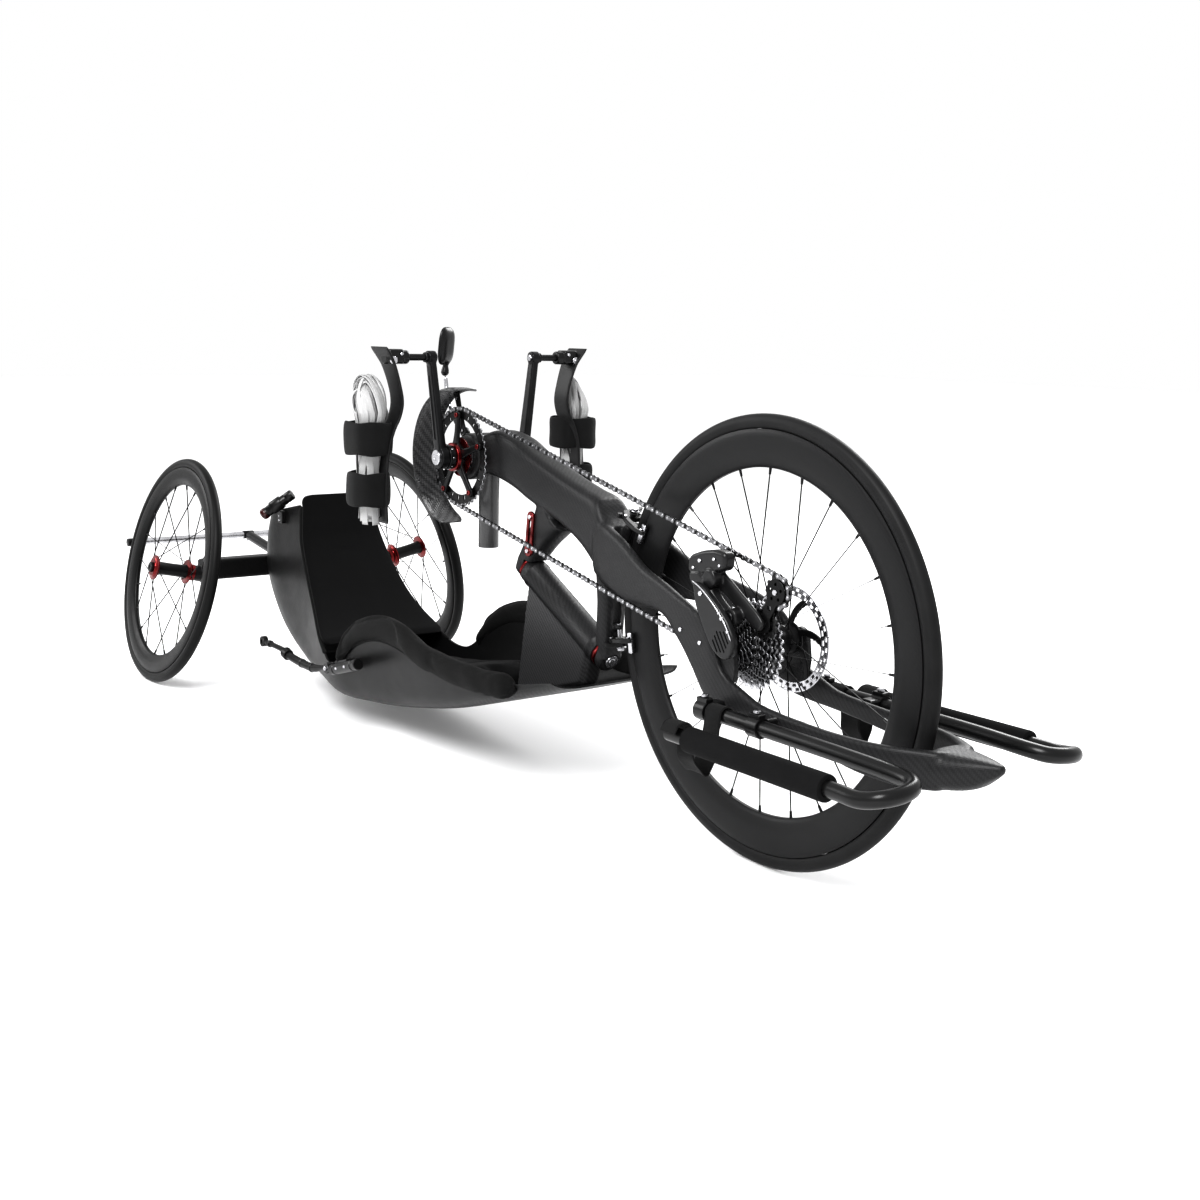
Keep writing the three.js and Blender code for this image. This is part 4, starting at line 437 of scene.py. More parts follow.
frameCarbon = carbonLook("satinFrameCarbon", (0.014, 0.014, 0.0146), 2.4, 0.55, 0.42, 0.06)
tubCarbon = carbonLook("tubCarbon", (0.0045, 0.0045, 0.0047), 3.0, 0.35, 0.4, 0.08, 0.08)
guardCarbon = carbonLook("wovenGuardCarbon", (0.045, 0.045, 0.046), 4.4, 1.3, 0.3, 0.25, 0.35)
finCarbon = carbonLook("wovenFinCarbon", (0.03, 0.03, 0.031), 2.2, 0.9, 0.34, 0.1, 0.2)
rimCarbon = carbonLook("rimCarbon", (0.009, 0.009, 0.0094), 1.6, 0.25, 0.42, 0.03, 0.04)
smallRimCarbon = carbonLook("smallRimCarbon", (0.0025, 0.0025, 0.0026), 1.6, 0.25, 0.36, 0.03, 0.04)
tubeCarbon = carbonLook("tubeCarbon", (0.055, 0.055, 0.056), 1.4, 0.12, 0.26, 0.5, 0.02, 0.7)
blackAlloy = metalLook("blackAnodised", (0.01, 0.01, 0.0105), 0.32, metallic=0.6, coat=0.05)
darkAlloy = metalLook("darkCrankAlloy", (0.018, 0.018, 0.019), 0.3, 260.0, 0.2, 0.06, 0.7, (1, 1, 0.2))
redAlloy = metalLook("redAnodised", (0.17, 0.006, 0.007), 0.26, metallic=0.9, coat=0.3)
silverAlloy = metalLook("machinedSilver", (0.62, 0.62, 0.64), 0.25)
brightSteel = metalLook("brightSteel", (0.55, 0.55, 0.57), 0.22, 300.0, 0.2)
cogSteel = metalLook("platedCogSteel", (0.2, 0.2, 0.208), 0.26, 350.0, 0.25)
chainSteel = metalLook("oiledChainSteel", (0.2, 0.2, 0.207), 0.26, 500.0, 0.3)
darkSteel = metalLook("blackenedSteel", (0.03, 0.03, 0.031), 0.3, 300.0, 0.2, metallic=0.85)
seatCloth = clothLook("blackSeatCloth", (0.003, 0.003, 0.0032), 1.6, 0.95, 0.03, 0.5, specular=0.12)
padCloth = clothLook("stretchPadCloth", (0.002, 0.002, 0.002), 1.2, 0.8, 0.03, 0.3, specular=0.18)
strapCloth = clothLook("blackStrapCloth", (0.005, 0.005, 0.0052), 1.3, 0.88, 0.06, 0.4, specular=0.2)
laceCloth = clothLook("whiteLaceCloth", (0.4, 0.4, 0.4), 1.6, 0.75, 0.1, 0.4, 1.35)
gripPlastic = plasticLook("mouldedGripPlastic", (0.006, 0.006, 0.0063), 0.42, 500.0, 0.08)
blackPlastic = plasticLook("blackPlastic", (0.0045, 0.0045, 0.0047), 0.28, 800.0, 0.03, 0.1)
changerPlastic = plasticLook("greyChangerPlastic", (0.009, 0.009, 0.0095), 0.3, 600.0, 0.05, 0.1)
tyreRubber = plasticLook("tyreRubber", (0.0095, 0.0095, 0.0098), 0.5, 1400.0, 0.08, specular=0.2)
blackSpokes = metalLook("blackSpokes", (0.012, 0.012, 0.0125), 0.5, 420.0, 0.1)
smallTyreRubber = plasticLook("smallTyreRubber", (0.003, 0.003, 0.0031), 0.45, 1400.0, 0.08, specular=0.2)
foamRubber = plasticLook("closedCellFoam", (0.006, 0.006, 0.0063), 0.85, 1100.0, 0.35, specular=0.15)
lampLens = plasticLook("redLampLens", (0.03, 0.002, 0.002), 0.2, 300.0, 0.02, 0.6)
mirrorGlass = metalLook("mirrorGlass", (0.75, 0.76, 0.78), 0.06, 60.0, 0.02)
print("finishes made")

# The camera stands where it was solved to be, and a pale floor and three soft lights make the studio.
view = {"stand": (1624.5, -1490.4, 780.5), "ahead": (-0.80176, 0.58580, -0.11842),
        "right": (0.58812, 0.80857, 0.01797), "pixels": 1523.0, "middleRow": 513.28, "frame": 1200, "sensor": 36}
cameraData = bpy.data.cameras.new("camera")
cameraData.sensor_width = view["sensor"]
cameraData.lens = view["pixels"] * view["sensor"] / view["frame"]
cameraData.shift_y = (view["middleRow"] - view["frame"] / 2) / view["frame"]
camera = bpy.data.objects.new("camera", cameraData)
bpy.context.scene.collection.objects.link(camera)
ahead, right = unit(view["ahead"]), unit(view["right"])
up = np.cross(right, ahead)
cameraTurn = np.stack([right, up, -ahead], 1)
camera.matrix_world = Matrix([*([*row, value] for row, value in zip(cameraTurn, place(view["stand"]))), [0, 0, 0, 1]])
bpy.context.scene.camera = camera

studio = {"floor": 40, "floorTone": (0.86, 0.86, 0.865), "floorGlow": 0.16, "world": 1.0, "gamma": 0.8, "key": 230,
          "fill": 60, "rim": 110}
floorForm = surface(np.array([[[x, y, 0] for y in (-1, 1)] for x in (-1, 1)]) * studio["floor"] / 2)
floorMesh = bpy.data.meshes.new("floor")
floorMesh.from_pydata(floorForm.points.tolist(), [], floorForm.groups[0][:, ::-1].tolist())
floor = bpy.data.objects.new("floor", floorMesh)
bpy.context.scene.collection.objects.link(floor)
floorLook = Look("paleFloor", studio["floorTone"], 0.7, specular=0.2)
floorLook.feed("Roughness", floorLook.noise(3.0) * 0.1 + 0.65)
floorLook.shader.inputs["Emission Color"].default_value = (1, 1, 1, 1)
floorLook.shader.inputs["Emission Strength"].default_value = studio["floorGlow"]
floorMesh.materials.append(floorLook.material)
world = bpy.data.worlds.new("studio")
bpy.context.scene.world = world
world.use_nodes = True
world.node_tree.nodes["Background"].inputs["Color"].default_value = (1, 1, 1, 1)
world.node_tree.nodes["Background"].inputs["Strength"].default_value = studio["world"]


def softLight(name, at, aim, size, power):
    light = bpy.data.lights.new(name, "AREA")
    light.shape, light.size, light.energy = "DISK", size, power
    lamp = bpy.data.objects.new(name, light)
    bpy.context.scene.collection.objects.link(lamp)
    lamp.location = at
    lamp.rotation_euler = (Vector(aim) - Vector(at)).to_track_quat("-Z", "Y").to_euler()


softLight("key", (1.6, -2.6, 3.4), (0, 0, 0.3), 2.4, studio["key"])
softLight("fill", (-3.0, -2.2, 2.0), (-0.3, 0, 0.3), 2.0, studio["fill"])
softLight("rim", (-1.0, 3.2, 2.6), (0, 0, 0.3), 2.2, studio["rim"])
bpy.context.scene.view_settings.view_transform = "Standard"
bpy.context.scene.view_settings.gamma = studio["gamma"]
print("studio set")

wheelDetail = {"steps": 192, "spokeWidth": 2.2, "spokeDepth": 1.3, "nipple": 2.3, "nippleLength": 11,
               "treadEdge": 0.5}


# The tyre's section is a circle's arc from bead to bead, its middle third raised a little as the tread.
def tyreForm(sizes, start, way):
    half = sizes["width"] / 2
    middle = sizes["radius"] - half
    reach = math.acos((sizes["seat"] + 0.3 - middle) / half)
    share = np.linspace(-1, 1, 41)
    angle = share * reach
    rise = half - wheelDetail["treadEdge"] * np.clip((np.abs(angle) - 0.95) / 0.12, 0, 1)
    profile = np.stack([middle + rise * np.cos(angle), rise * np.sin(angle)], -1)
    inner = np.stack([np.full(7, sizes["seat"] + 0.3), np.linspace(profile[-1, 1], profile[0, 1], 9)[1:-1]], -1)
    return turned(np.vstack([profile, inner]), start, way, wheelDetail["steps"], closed=True)


# The rim's half section swells from its rounded inner edge and narrows to the tyre seat.
def rimForm(sizes, start, way):
    out = np.linspace(0, 1, 28)
    places, shares = [0, 0.05, 0.16, 0.35, 0.6, 0.8, 0.93, 1], [0.2, 0.42, 0.64, 0.88, 0.99, 1, 0.93, 0.8]
    half = through(places, shares, out) * sizes["rimWidth"] / 2
    side = np.stack([sizes["bore"] + out * (sizes["seat"] - sizes["bore"]), half], -1)
    return turned(np.vstack([side, side[::-1] * [1, -1]]), start, way, wheelDetail["steps"], closed=True)


# Each spoke is a flat blade from its flange to the rim, crossing its neighbours.
def spokeForms(sizes, flanges, lean, start, turn):
    number = np.arange(sizes["spokes"])
    angle = 2 * math.pi * number / sizes["spokes"]
    radius, y = (np.array([flanges[k % 2][part] for k in number]) for part in (0, 1))
    cross = angle - lean * np.where(number % 4 < 2, 1, -1)
    circle = lambda r, a, height: np.stack([r * np.cos(a), height, r * np.sin(a)], -1)
    root = circle(radius, cross, y)
    tip = circle(np.full(len(number), sizes["bore"] + 1.0), angle, np.zeros(len(number)))
    blades, nipples = [], []
    for a, b in zip(root, tip):
        way = unit(b - a)
        line = a + (b - a) * np.array([0, 0.12, 0.16, 0.88, 0.92, 1])[:, None]
        wide = np.array([1, 1, 1.25, 1.25, 1, 1]) * wheelDetail["spokeWidth"] / 2
        deep = np.array([1, 1, 0.6, 0.6, 1, 1]) * wheelDetail["spokeDepth"] / 2
        blades.append(loft(rings(line, unit(np.cross(way, (0, 1, 0))), (0, 1, 0), deep, wide, 2, 6)))
        nippleStart = b - way * wheelDetail["nippleLength"]
        nipples.append(rod(nippleStart, b, wheelDetail["nipple"] * 0.8, 6, 0.3, wheelDetail["nipple"]))
    return (form.moved(start, turn) for form in (joined(blades), joined(nipples)))


def turnAboutX(angle):
    c, s = math.cos(angle), math.sin(angle)
    return np.array([[1, 0, 0], [0, c, -s], [0, s, c]])


sides = (("right", -1), ("left", 1))
frontCentre = np.array([0, 0, wheel["radius"]], float)
acrossWay = np.array([0, 1.0, 0])
piece("frontTyre", tyreForm(wheel, frontCentre, acrossWay), tyreRubber, "front_wheel", ["front_tyre"])
piece("frontRim", rimForm(wheel, frontCentre, acrossWay), rimCarbon, "front_wheel", ["front_rim"])
frontHub = {"spokeCircle": 19, "driveFlange": -17, "farFlange": 32}
frontFlanges = [(frontHub["spokeCircle"], frontHub[flange]) for flange in ("driveFlange", "farFlange")]
blades, nipples = spokeForms(wheel, frontFlanges, 0.5, frontCentre, np.eye(3))
piece("frontSpokes", blades, blackSpokes, "front_wheel")
piece("frontNipples", nipples, blackAlloy, "front_wheel")
hubProfile = [(6.4, -20.2), (15, -20.2), (21, -19.8), (22, -18.6), (22, -15.6), (19, -14), (14.5, -11), (13, -6),
              (12.2, 6), (13, 22), (14.5, 26), (19, 29), (22, 30.6), (22, 33.6), (19.5, 35), (18.5, 38), (20.5, 42),
              (22, 44), (22, 49), (13, 49), (13, 55), (10.5, 56), (10.5, 67.3), (6.4, 67.3)]
hubForm = turned(hubProfile, frontCentre, acrossWay, 64, closed=True)
piece("frontHubBody", hubForm, blackAlloy, "front_wheel", ["front_hub"])


# The rotor: a track with rows of slots, and curved arms to a carrier.
def rotorMask(radius, angle):
    track = radius > 65.5
    turnShare = (angle / (2 * math.pi) * 30) % 1
    slots = track & (((radius > 68) & (radius < 71.5) & (turnShare > 0.12) & (turnShare < 0.62))
                     | ((radius > 73.5) & (radius < 77) & (turnShare > 0.5) & (turnShare < 0.95)))
    armShare = ((angle + (radius - 24) * 0.011) / (2 * math.pi) * 6) % 1
    gaps = (~track) & (radius > 26) & (np.abs(armShare - 0.5) > 0.09 * 45 / np.maximum(radius, 1) + 0.03)
    return slots | gaps


rotor = {"y": 50.2, "outer": 80, "track": 65, "carrier": 66, "bore": 13.4, "trackWall": 1.8, "carrierWall": 2.2}
rotorFlat = (0, wheel["radius"])
track = disc(rotor["track"], rotor["outer"], 12, 360, rotorFlat, rotor["y"], rotorMask)
piece("brakeDisc", track, brightSteel, "front_wheel", ["brake_rotor"], wall=rotor["trackWall"])
carrier = disc(rotor["bore"], rotor["carrier"], 26, 240, rotorFlat, rotor["y"], rotorMask)
piece("brakeDiscCarrier", carrier, blackAlloy, "front_wheel", wall=rotor["carrierWall"])
rotorBolts = joined([pin(frontCentre + radial(a, 19), 50, 53, 2.6, 6) for a in np.arange(6) * math.pi / 3])
piece("rotorBolts", rotorBolts, brightSteel, "front_wheel")

rearEnd = {"wheelbase": 1614, "track": 589.5, "camber": math.radians(12)}
rearRise = (smallWheel["radius"] - smallWheel["width"] / 2) * math.cos(rearEnd["camber"]) + smallWheel["width"] / 2
rearHub = {"spokeCircle": 24, "flangeInset": 6}
for sideName, side in sides:
    centre = np.array([-rearEnd["wheelbase"], side * rearEnd["track"] / 2, rearRise])
    turn = turnAboutX(side * rearEnd["camber"])
    way = turn @ acrossWay
    body = f"rear_wheel_{sideName}"
    tyre, rim = tyreForm(smallWheel, centre, way), rimForm(smallWheel, centre, way)
    piece(f"rearTyre_{sideName}", tyre, smallTyreRubber, body, [f"rear_tyre_{sideName}"])
    piece(f"rearRim_{sideName}", rim, smallRimCarbon, body, [f"rear_rim_{sideName}"])
    half = smallWheel["hubWidth"] / 2
    flanges = [(rearHub["spokeCircle"], sign * (half - rearHub["flangeInset"])) for sign in (-1, 1)]
    blades, nipples = spokeForms(smallWheel, flanges, 0.6, centre, turn)
    piece(f"rearSpokes_{sideName}", blades, blackSpokes, body)
    piece(f"rearNipples_{sideName}", nipples, blackAlloy, body)
    barrel = [(8, -half + 9), (15.5, -half + 9), (14.2, -half + 20), (13.8, 0), (14.2, half - 20), (15.5, half - 9),
              (8, half - 9)]
    hubForm = turned(barrel, centre, way, 48, closed=True)
    piece(f"rearHubBarrel_{sideName}", hubForm, blackAlloy, body, [f"rear_hub_{sideName}"])
    flange = [(8, 9), (16.5, 9), (20, 7.6), (27, 7.2), (27, 4.6), (23, 4.2), (21.5, 2.4), (19, 1.6), (18, 0), (8, 0)]
    red = joined([turned([(r, sign * (half - d)) for r, d in flange], centre, way, 56, closed=True)
                  for sign in (-1, 1)])
    piece(f"rearHubFlanges_{sideName}", red, redAlloy, body)
print("wheels made")

def settle(made):  # the modifiers' result becomes the mesh
    bpy.context.view_layer.update()
    made.data = bpy.data.meshes.new_from_object(made.evaluated_get(bpy.context.evaluated_depsgraph_get()))
    made.modifiers.clear()


def carved(made, cuts):  # forms taken out of an object
    for cut in cuts:
        cutter = bare("cutter", cut)
        hole = made.modifiers.new("hole", "BOOLEAN")
        hole.operation, hole.solver, hole.object = "DIFFERENCE", "MANIFOLD", cutter
        settle(made)
        bpy.data.objects.remove(cutter)
    return made


# Shells that run into each other become one skin, softened where they meet, then cut so that the cuts stay crisp.
def fused(name, form, grain, look, body, replaced=(), cuts=(), soften=6):
    made = bare(name, form)
    skin = made.modifiers.new("skin", "REMESH")
    skin.mode, skin.voxel_size = "VOXEL", grain / 1000 * 1.0
    ease = made.modifiers.new("ease", "SMOOTH")
    ease.iterations, ease.factor = soften, 0.5
    settle(made)
    return finished(carved(made, cuts), look, body, replaced, 50)


# The tub seat is one channel whose floor runs up behind the rider's back.
tub = {"front": 350, "low": 38, "height": 362, "width": 330, "wall": 4, "tuck": 9, "flat": 0.78, "stations": 150,
       "piping": 4.2}
rearBeam = {"back": 1614, "depth": 42, "height": 46, "span": 452, "middle": 237}
tubLength = rearBeam["back"] - rearBeam["depth"] / 2 - 0.3 - tub["front"]
# place, floor back, floor height, rim back, rim height, floor half width, rim half width, all shares
tubShares = np.array([
    [0, 0, 0.46, 0.01, 0.49, 0.32, 0.4], [0.1, 0.115, 0.335, 0.12, 0.425, 0.4, 0.46],
    [0.22, 0.27, 0.18, 0.27, 0.44, 0.42, 0.49], [0.34, 0.42, 0.075, 0.415, 0.5, 0.42, 0.5],
    [0.44, 0.525, 0.025, 0.51, 0.42, 0.42, 0.5], [0.53, 0.615, 0, 0.6, 0.21, 0.4, 0.48],
    [0.62, 0.71, 0.02, 0.675, 0.27, 0.35, 0.42], [0.71, 0.81, 0.07, 0.74, 0.42, 0.31, 0.35],
    [0.8, 0.915, 0.24, 0.79, 0.6, 0.3, 0.31], [0.88, 0.985, 0.5, 0.825, 0.77, 0.29, 0.285],
    [0.94, 1, 0.72, 0.838, 0.89, 0.27, 0.265], [1, 0.995, 0.88, 0.845, 0.98, 0.25, 0.25]])


class Station:  # the channel's floor, rim and half widths at places along it
    def __init__(self, at):
        rows = through(tubShares[:, 0], tubShares[:, 1:], np.atleast_1d(at))
        spot = lambda back, up: np.stack(
            [-tub["front"] - tubLength * back, back * 0, tub["low"] + tub["height"] * up], -1)
        self.floor, self.rim = spot(rows[:, 0], rows[:, 1]), spot(rows[:, 2], rows[:, 3])
        self.floorHalf, self.rimHalf = tub["width"] * rows[:, 4], tub["width"] * rows[:, 5]
        self.depth = np.linalg.norm(self.rim - self.floor, axis=1)
        self.up = (self.rim - self.floor) / self.depth[:, None]

    # From the rim down the wall and round the corner to the flat of the floor, drawn in by an inset.
    def side(self, inset, sign, steps=26):
        corner = [(1, 0, 0), (0.55, 0.3, 0), (0.22, 0.75, 0), (0.06, 1, tub["tuck"])]
        half = [self.rimHalf + (self.floorHalf - self.rimHalf) * mix - tuck - inset for _, mix, tuck in corner]
        reach = [self.depth if rise == 1 else inset + rise * (self.depth - inset) for rise, _, _ in corner]
        half, reach = np.array(half + [self.floorHalf * tub["flat"]]), np.array(reach + [self.depth * 0 + inset])
        share = np.linspace(0, 1, steps)
        rows = through([0, 0.42, 0.75, 0.9, 1], np.stack([half, reach], -1), share)
        points = self.floor[:, None] + self.up[:, None] * rows[..., 1].T[..., None]
        points[..., 1] = sign * rows[..., 0].T
        return points


def channelGrid(station, outset, inset):  # outside from right to left, then back along the inside
    outer, inner = ([station.side(amount, sign) for sign in (-1, 1)] for amount in (-outset, inset))
    return np.concatenate([outer[0], outer[1][:, ::-1], inner[1], inner[0][:, ::-1]], 1)


tubStations = Station(np.linspace(0, 1, tub["stations"]))
tubForm = loft(channelGrid(tubStations, 0, tub["wall"]))
piece("tubShell", tubForm, tubCarbon, "seat", ["tub_shell"], sharp=40)
# The sewn edge of the back's cover, drawn over the shell's rim.
edge = Station(np.linspace(0.585, 1, 70))
edgeLines = [edge.rim + np.outer(edge.rimHalf - tub["wall"] / 2, [0, sign, 0]) for sign in (-1, 1)]
edgeLines += [Station(1).side(tub["wall"] / 2, sign)[0] for sign in (-1, 1)]
pipingWays = [acrossWay, acrossWay, (1, 0, 0), (1, 0, 0)]
piping = joined([swept(line, tub["piping"], way, 2, 14, 4) for line, way in zip(edgeLines, pipingWays)])
piece("backPiping", piping, padCloth, "seat", sharp=180)
print("tub shell made")

cushion = {"back": 40, "seat": 62, "proud": 11, "topReach": 14, "cover": 6.5, "coverReach": 24, "sideGap": 1.3,
           "shrink": 3.0, "grain": 5.5, "pressure": 4.0, "frames": 20, "slack": -0.035}
roll = {"halfWidth": 15.5, "halfHeight": 23.5, "notchTop": 0.6, "notchLow": -14, "play": 0.5, "pressure": 2.5}


# The way on past the backrest's upper end, for places beyond the end of the tub.
def beyondTop(station, at, reach):
    return np.cross(station.up, acrossWay) * (np.clip(at - 1, 0, 1) / 0.12 * reach)[:, None]


def backHalf(station):
    return np.minimum(station.rimHalf, station.floorHalf * 1.2) - tub["wall"] - cushion["sideGap"]


def backForm():
    places = [0.655, 0.675, 0.71, 0.77, 0.83, 0.89, 0.95, 1, 1.06, 1.12]
    size = [0.3, 0.86, 1, 1, 1, 1, 0.99, 0.96, 0.88, 0.62]
    at = np.linspace(0.655, 1.12, 60)
    share = np.clip(through(places, size, at), 0.25, 1)
    station = Station(np.minimum(at, 1))
    middle = station.rim - station.up * (cushion["back"] / 2 - cushion["proud"])
    middle = middle + beyondTop(station, at, cushion["topReach"])
    return loft(rings(middle, acrossWay, station.up, backHalf(station) * share - cushion["shrink"],
                      cushion["back"] / 2 * np.sqrt(share) - cushion["shrink"], 3, 64))


# The flat cover over the cushion, from rim to rim, with rounded top corners.
def coverForm():
    places, size = [0.6, 0.61, 0.64, 1, 1.05, 1.09, 1.11, 1.12], [0.9, 0.97, 1, 1, 1, 0.95, 0.87, 0.72]
    at = np.concatenate([np.linspace(0.6, 1.04, 50), np.linspace(1.045, 1.12, 30)])
    share = through(places, size, at)
    station = Station(np.minimum(at, 1))
    thick = cushion["cover"] * np.sqrt(np.clip(1 - np.clip((np.abs(at - 0.86) - 0.25) / 0.01, 0, 1) ** 2, 0.05, 1))
    middle = station.rim + station.up * (tub["piping"] + cushion["cover"] - 0.7)
    middle = middle + beyondTop(station, at, cushion["coverReach"])
    return loft(rings(middle, acrossWay, station.up, station.rimHalf * share, thick, 5, 72))


def seatForm():
    at = np.linspace(0.25, 0.615, 46)
    share = through([0.25, 0.262, 0.28, 0.35, 0.56, 0.6, 0.615], [0.5, 0.85, 1, 1, 1, 0.85, 0.5], at)
    station = Station(at)
    middle = station.floor + station.up * (tub["wall"] + 0.3 + cushion["seat"] / 2)
    return loft(rings(middle, acrossWay, station.up, station.floorHalf * 0.93 * np.sqrt(share) - cushion["shrink"],
                      cushion["seat"] / 2 * share - cushion["shrink"], 3, 64))


# A pad rolled over the rim: a rounded ring with a notch that the shell's edge stands in.
def rollForm(sign):
    at = np.linspace(0.0625, 0.5, 92)
    station = Station(at)
    grow = roundedEnd(np.minimum(at - at[0], at[-1] - at) / 0.02, 0.1)[:, None]
    middle = station.rim.copy()
    middle[:, 1] = sign * (station.rimHalf - tub["wall"] / 2)
    half, top, low = tub["wall"] / 2 + roll["play"], roll["notchTop"], roll["notchLow"]
    angle = np.linspace(-math.pi / 2, 1.5 * math.pi, 45)
    x, y = (bent(wave, 2 / 2.4) for wave in (np.cos(angle), np.sin(angle)))
    x, y = x * roll["halfWidth"], y * roll["halfHeight"]
    clear = np.where(angle < math.pi / 2, np.maximum(x, half), np.minimum(x, -half))
    ring = np.stack([np.where(y < top, clear, x), y], -1)
    notch = [(-half, low), (-half, low + 8), (-half, top), (half, top), (half, low + 8), (half, low)]
    flat = np.vstack([ring, notch])
    wide = np.where(np.abs(flat[:, 0]) > half + 0.1, flat[:, 0] * grow, flat[:, 0])
    grid = middle[:, None] + acrossWay * wide[..., None] + station.up[:, None] * (flat[:, 1] * grow)[..., None]
    return loft(grid), len(flat), len(ring)


def held(made, chosen):  # points that the simulation leaves where they are
    group = made.vertex_groups.new(name="held")
    group.add([int(i) for i in np.flatnonzero(chosen)], 1.0, "REPLACE")


def clothOn(made, pressure, pinned):
    cloth = made.modifiers.new("cloth", "CLOTH")
    settings = cloth.settings
    settings.use_pressure, settings.uniform_pressure_force = True, pressure
    settings.effector_weights.gravity = 0
    settings.quality = 6
    settings.tension_stiffness = settings.compression_stiffness = 18
    settings.bending_stiffness = 0.4
    settings.shrink_min = cushion["slack"]
    if pinned:
        settings.vertex_group_mass = "held"
    cloth.point_cache.frame_start, cloth.point_cache.frame_end = 1, cushion["frames"]


def meshPoints(mesh):
    points = np.empty(len(mesh.vertices) * 3, np.float32)
    mesh.vertices.foreach_get("co", points)
    return points.reshape(-1, 3).astype(float)


def writePoints(mesh, points):
    mesh.vertices.foreach_set("co", np.asarray(points, np.float32).reshape(-1))
    mesh.update()


def regrained(made, grain):
    skin = made.modifiers.new("skin", "REMESH")
    skin.mode, skin.voxel_size = "VOXEL", grain / 1000
    settle(made)


rollRight, rollCount, rollRing = rollForm(-1)
rollLeft = rollForm(1)[0]
# form, node in the frame, how far the cloth may swell, pressure in it, finish, filling
soft = {"backrestCushion": (backForm(), "backrest_cushion", 9.0, cushion["pressure"], seatCloth, 0.8),
        "seatCushion": (seatForm(), "seat_cushion", 9.0, cushion["pressure"], seatCloth, 0.8),
        "legPad_right": (rollRight, "leg_pad_right", 5.0, roll["pressure"], padCloth, 0.7),
        "legPad_left": (rollLeft, "leg_pad_left", 5.0, roll["pressure"], padCloth, 0.7)}
made = {name: bare(name, row[0]) for name, row in soft.items()}
for name in ("backrestCushion", "seatCushion"):
    regrained(made[name], cushion["grain"])
inNotch = np.arange(len(rollRight.points)) % rollCount >= rollRing - 1
for name in ("legPad_right", "legPad_left"):
    held(made[name], inNotch)
start = {name: meshPoints(thing.data) for name, thing in made.items()}
for name, thing in made.items():
    clothOn(thing, soft[name][3], name.startswith("legPad"))
for step in range(1, cushion["frames"] + 1):
    bpy.context.scene.frame_set(step)
for name, thing in made.items():
    swollen = meshPoints(thing.evaluated_get(bpy.context.evaluated_depsgraph_get()).data)
    move = swollen - start[name]
    length = np.linalg.norm(move, axis=1, keepdims=True)
    cap = soft[name][2] / 1000
    start[name] = start[name] + move * np.minimum(1, cap / np.maximum(length, 1e-9))
    thing.modifiers.clear()
bpy.context.scene.frame_set(1)
piece("backCover", coverForm(), seatCloth, "seat", sharp=60)
print("cushions simulated")


# Folds: shallow waves along a way, faded by a share, drawn along each point's normal.
def ruffled(thing, points, depth):
    writePoints(thing.data, points)
    normals = np.empty(len(points) * 3, np.float32)
    thing.data.vertices.foreach_get("normal", normals)
    writePoints(thing.data, points + normals.reshape(-1, 3) * depth[:, None] / 1000)


for name, thing in made.items():
    points = start[name]
    local = (points - origin) * 1000
    x, y, z = local.T
    if name.startswith("legPad"):  # creases across the roll, bunched in places
        along = x + 0.35 * z
        bunched = np.clip(np.sin(along / 83.0 + 1.0), 0, 1)
        wave = np.sin(along / 19.0 + 2.3 * np.sin(along / 71.0) + z * 0.05) * bunched
        small = 0.35 * np.sin(along / 7.9 + y * 0.14 + 1.6 * np.sin(along / 41.0))
        depth = np.where(inNotch, 0, 0.8 * wave + small * np.clip(np.sin(along / 59.0), 0, 1) - 0.5)
    elif name == "backrestCushion":  # two sewn channels across and slack folds near the bottom
        channel = sum(np.exp(-((z - at) / 5.0) ** 2) for at in (205.0, 300.0))
        slack = 0.8 * np.sin(z / 9.0 + np.sin(y / 31.0) * 2) * np.clip((170 - z) / 60, 0, 1)
        depth = -0.9 * channel * np.clip((x + 1595) / 40, 0, 1) + slack
    else:
        channel = sum(np.exp(-((x - at) / 5.5) ** 2) for at in (-720.0, -860.0))
        depth = -3.0 * channel + 0.7 * np.sin(x / 13.0 + np.sin(y / 23.0))
    ruffled(thing, points, depth)
    node, cloth, fill = soft[name][1], soft[name][4], soft[name][5]
    finished(thing, cloth, "seat", [node], sharp=180, subdivide=1)


# The panel behind the backrest keeps its solid and only gets its finish.
backPanel = bpy.data.objects["seat_back_panel"].data
backPanel.materials.clear()
backPanel.materials.append(tubCarbon)

steer = {"angle": math.radians(27), "back": 615, "height": 356, "length": 241, "radius": 25, "bearing": 8, "foot": 17,
         "footRadius": 23}
steerAxis = np.array([-math.cos(steer["angle"]), 0, math.sin(steer["angle"])])
headTop = np.array([-steer["back"], 0, steer["height"]], float)
alongHead = lambda distance: headTop - steerAxis * distance
mast = {"width": 42, "rearFoot": 640, "neck": 604, "frontFoot": 432, "shoulder": 14, "edge": 9}
floorLine = Station(np.linspace(0, 0.6, 400)).floor
floorUnder = lambda back: np.interp(back, -floorLine[:, 0], floorLine[:, 2]) + 5.0
footOf = lambda back: (-back, floorUnder(back))
headPlaces = [alongHead(distance)[[0, 2]] for distance in (mast["shoulder"], steer["length"] - mast["shoulder"])]
finCorners = [footOf(mast["rearFoot"]), (-mast["neck"], steer["height"] - steer["radius"] - mast["shoulder"]),
              *headPlaces, footOf(mast["frontFoot"]), footOf(530)]
fin = plate(roundedCorners(finCorners, 10, 5), -mast["width"] / 2, mast["width"] / 2, bevel=mast["edge"])
headProfile = mirrored([(15, 0), (24, 0), (25, 1), (25, 12), (26.2, 14), (26.2, 18), (25, 20)], steer["length"])
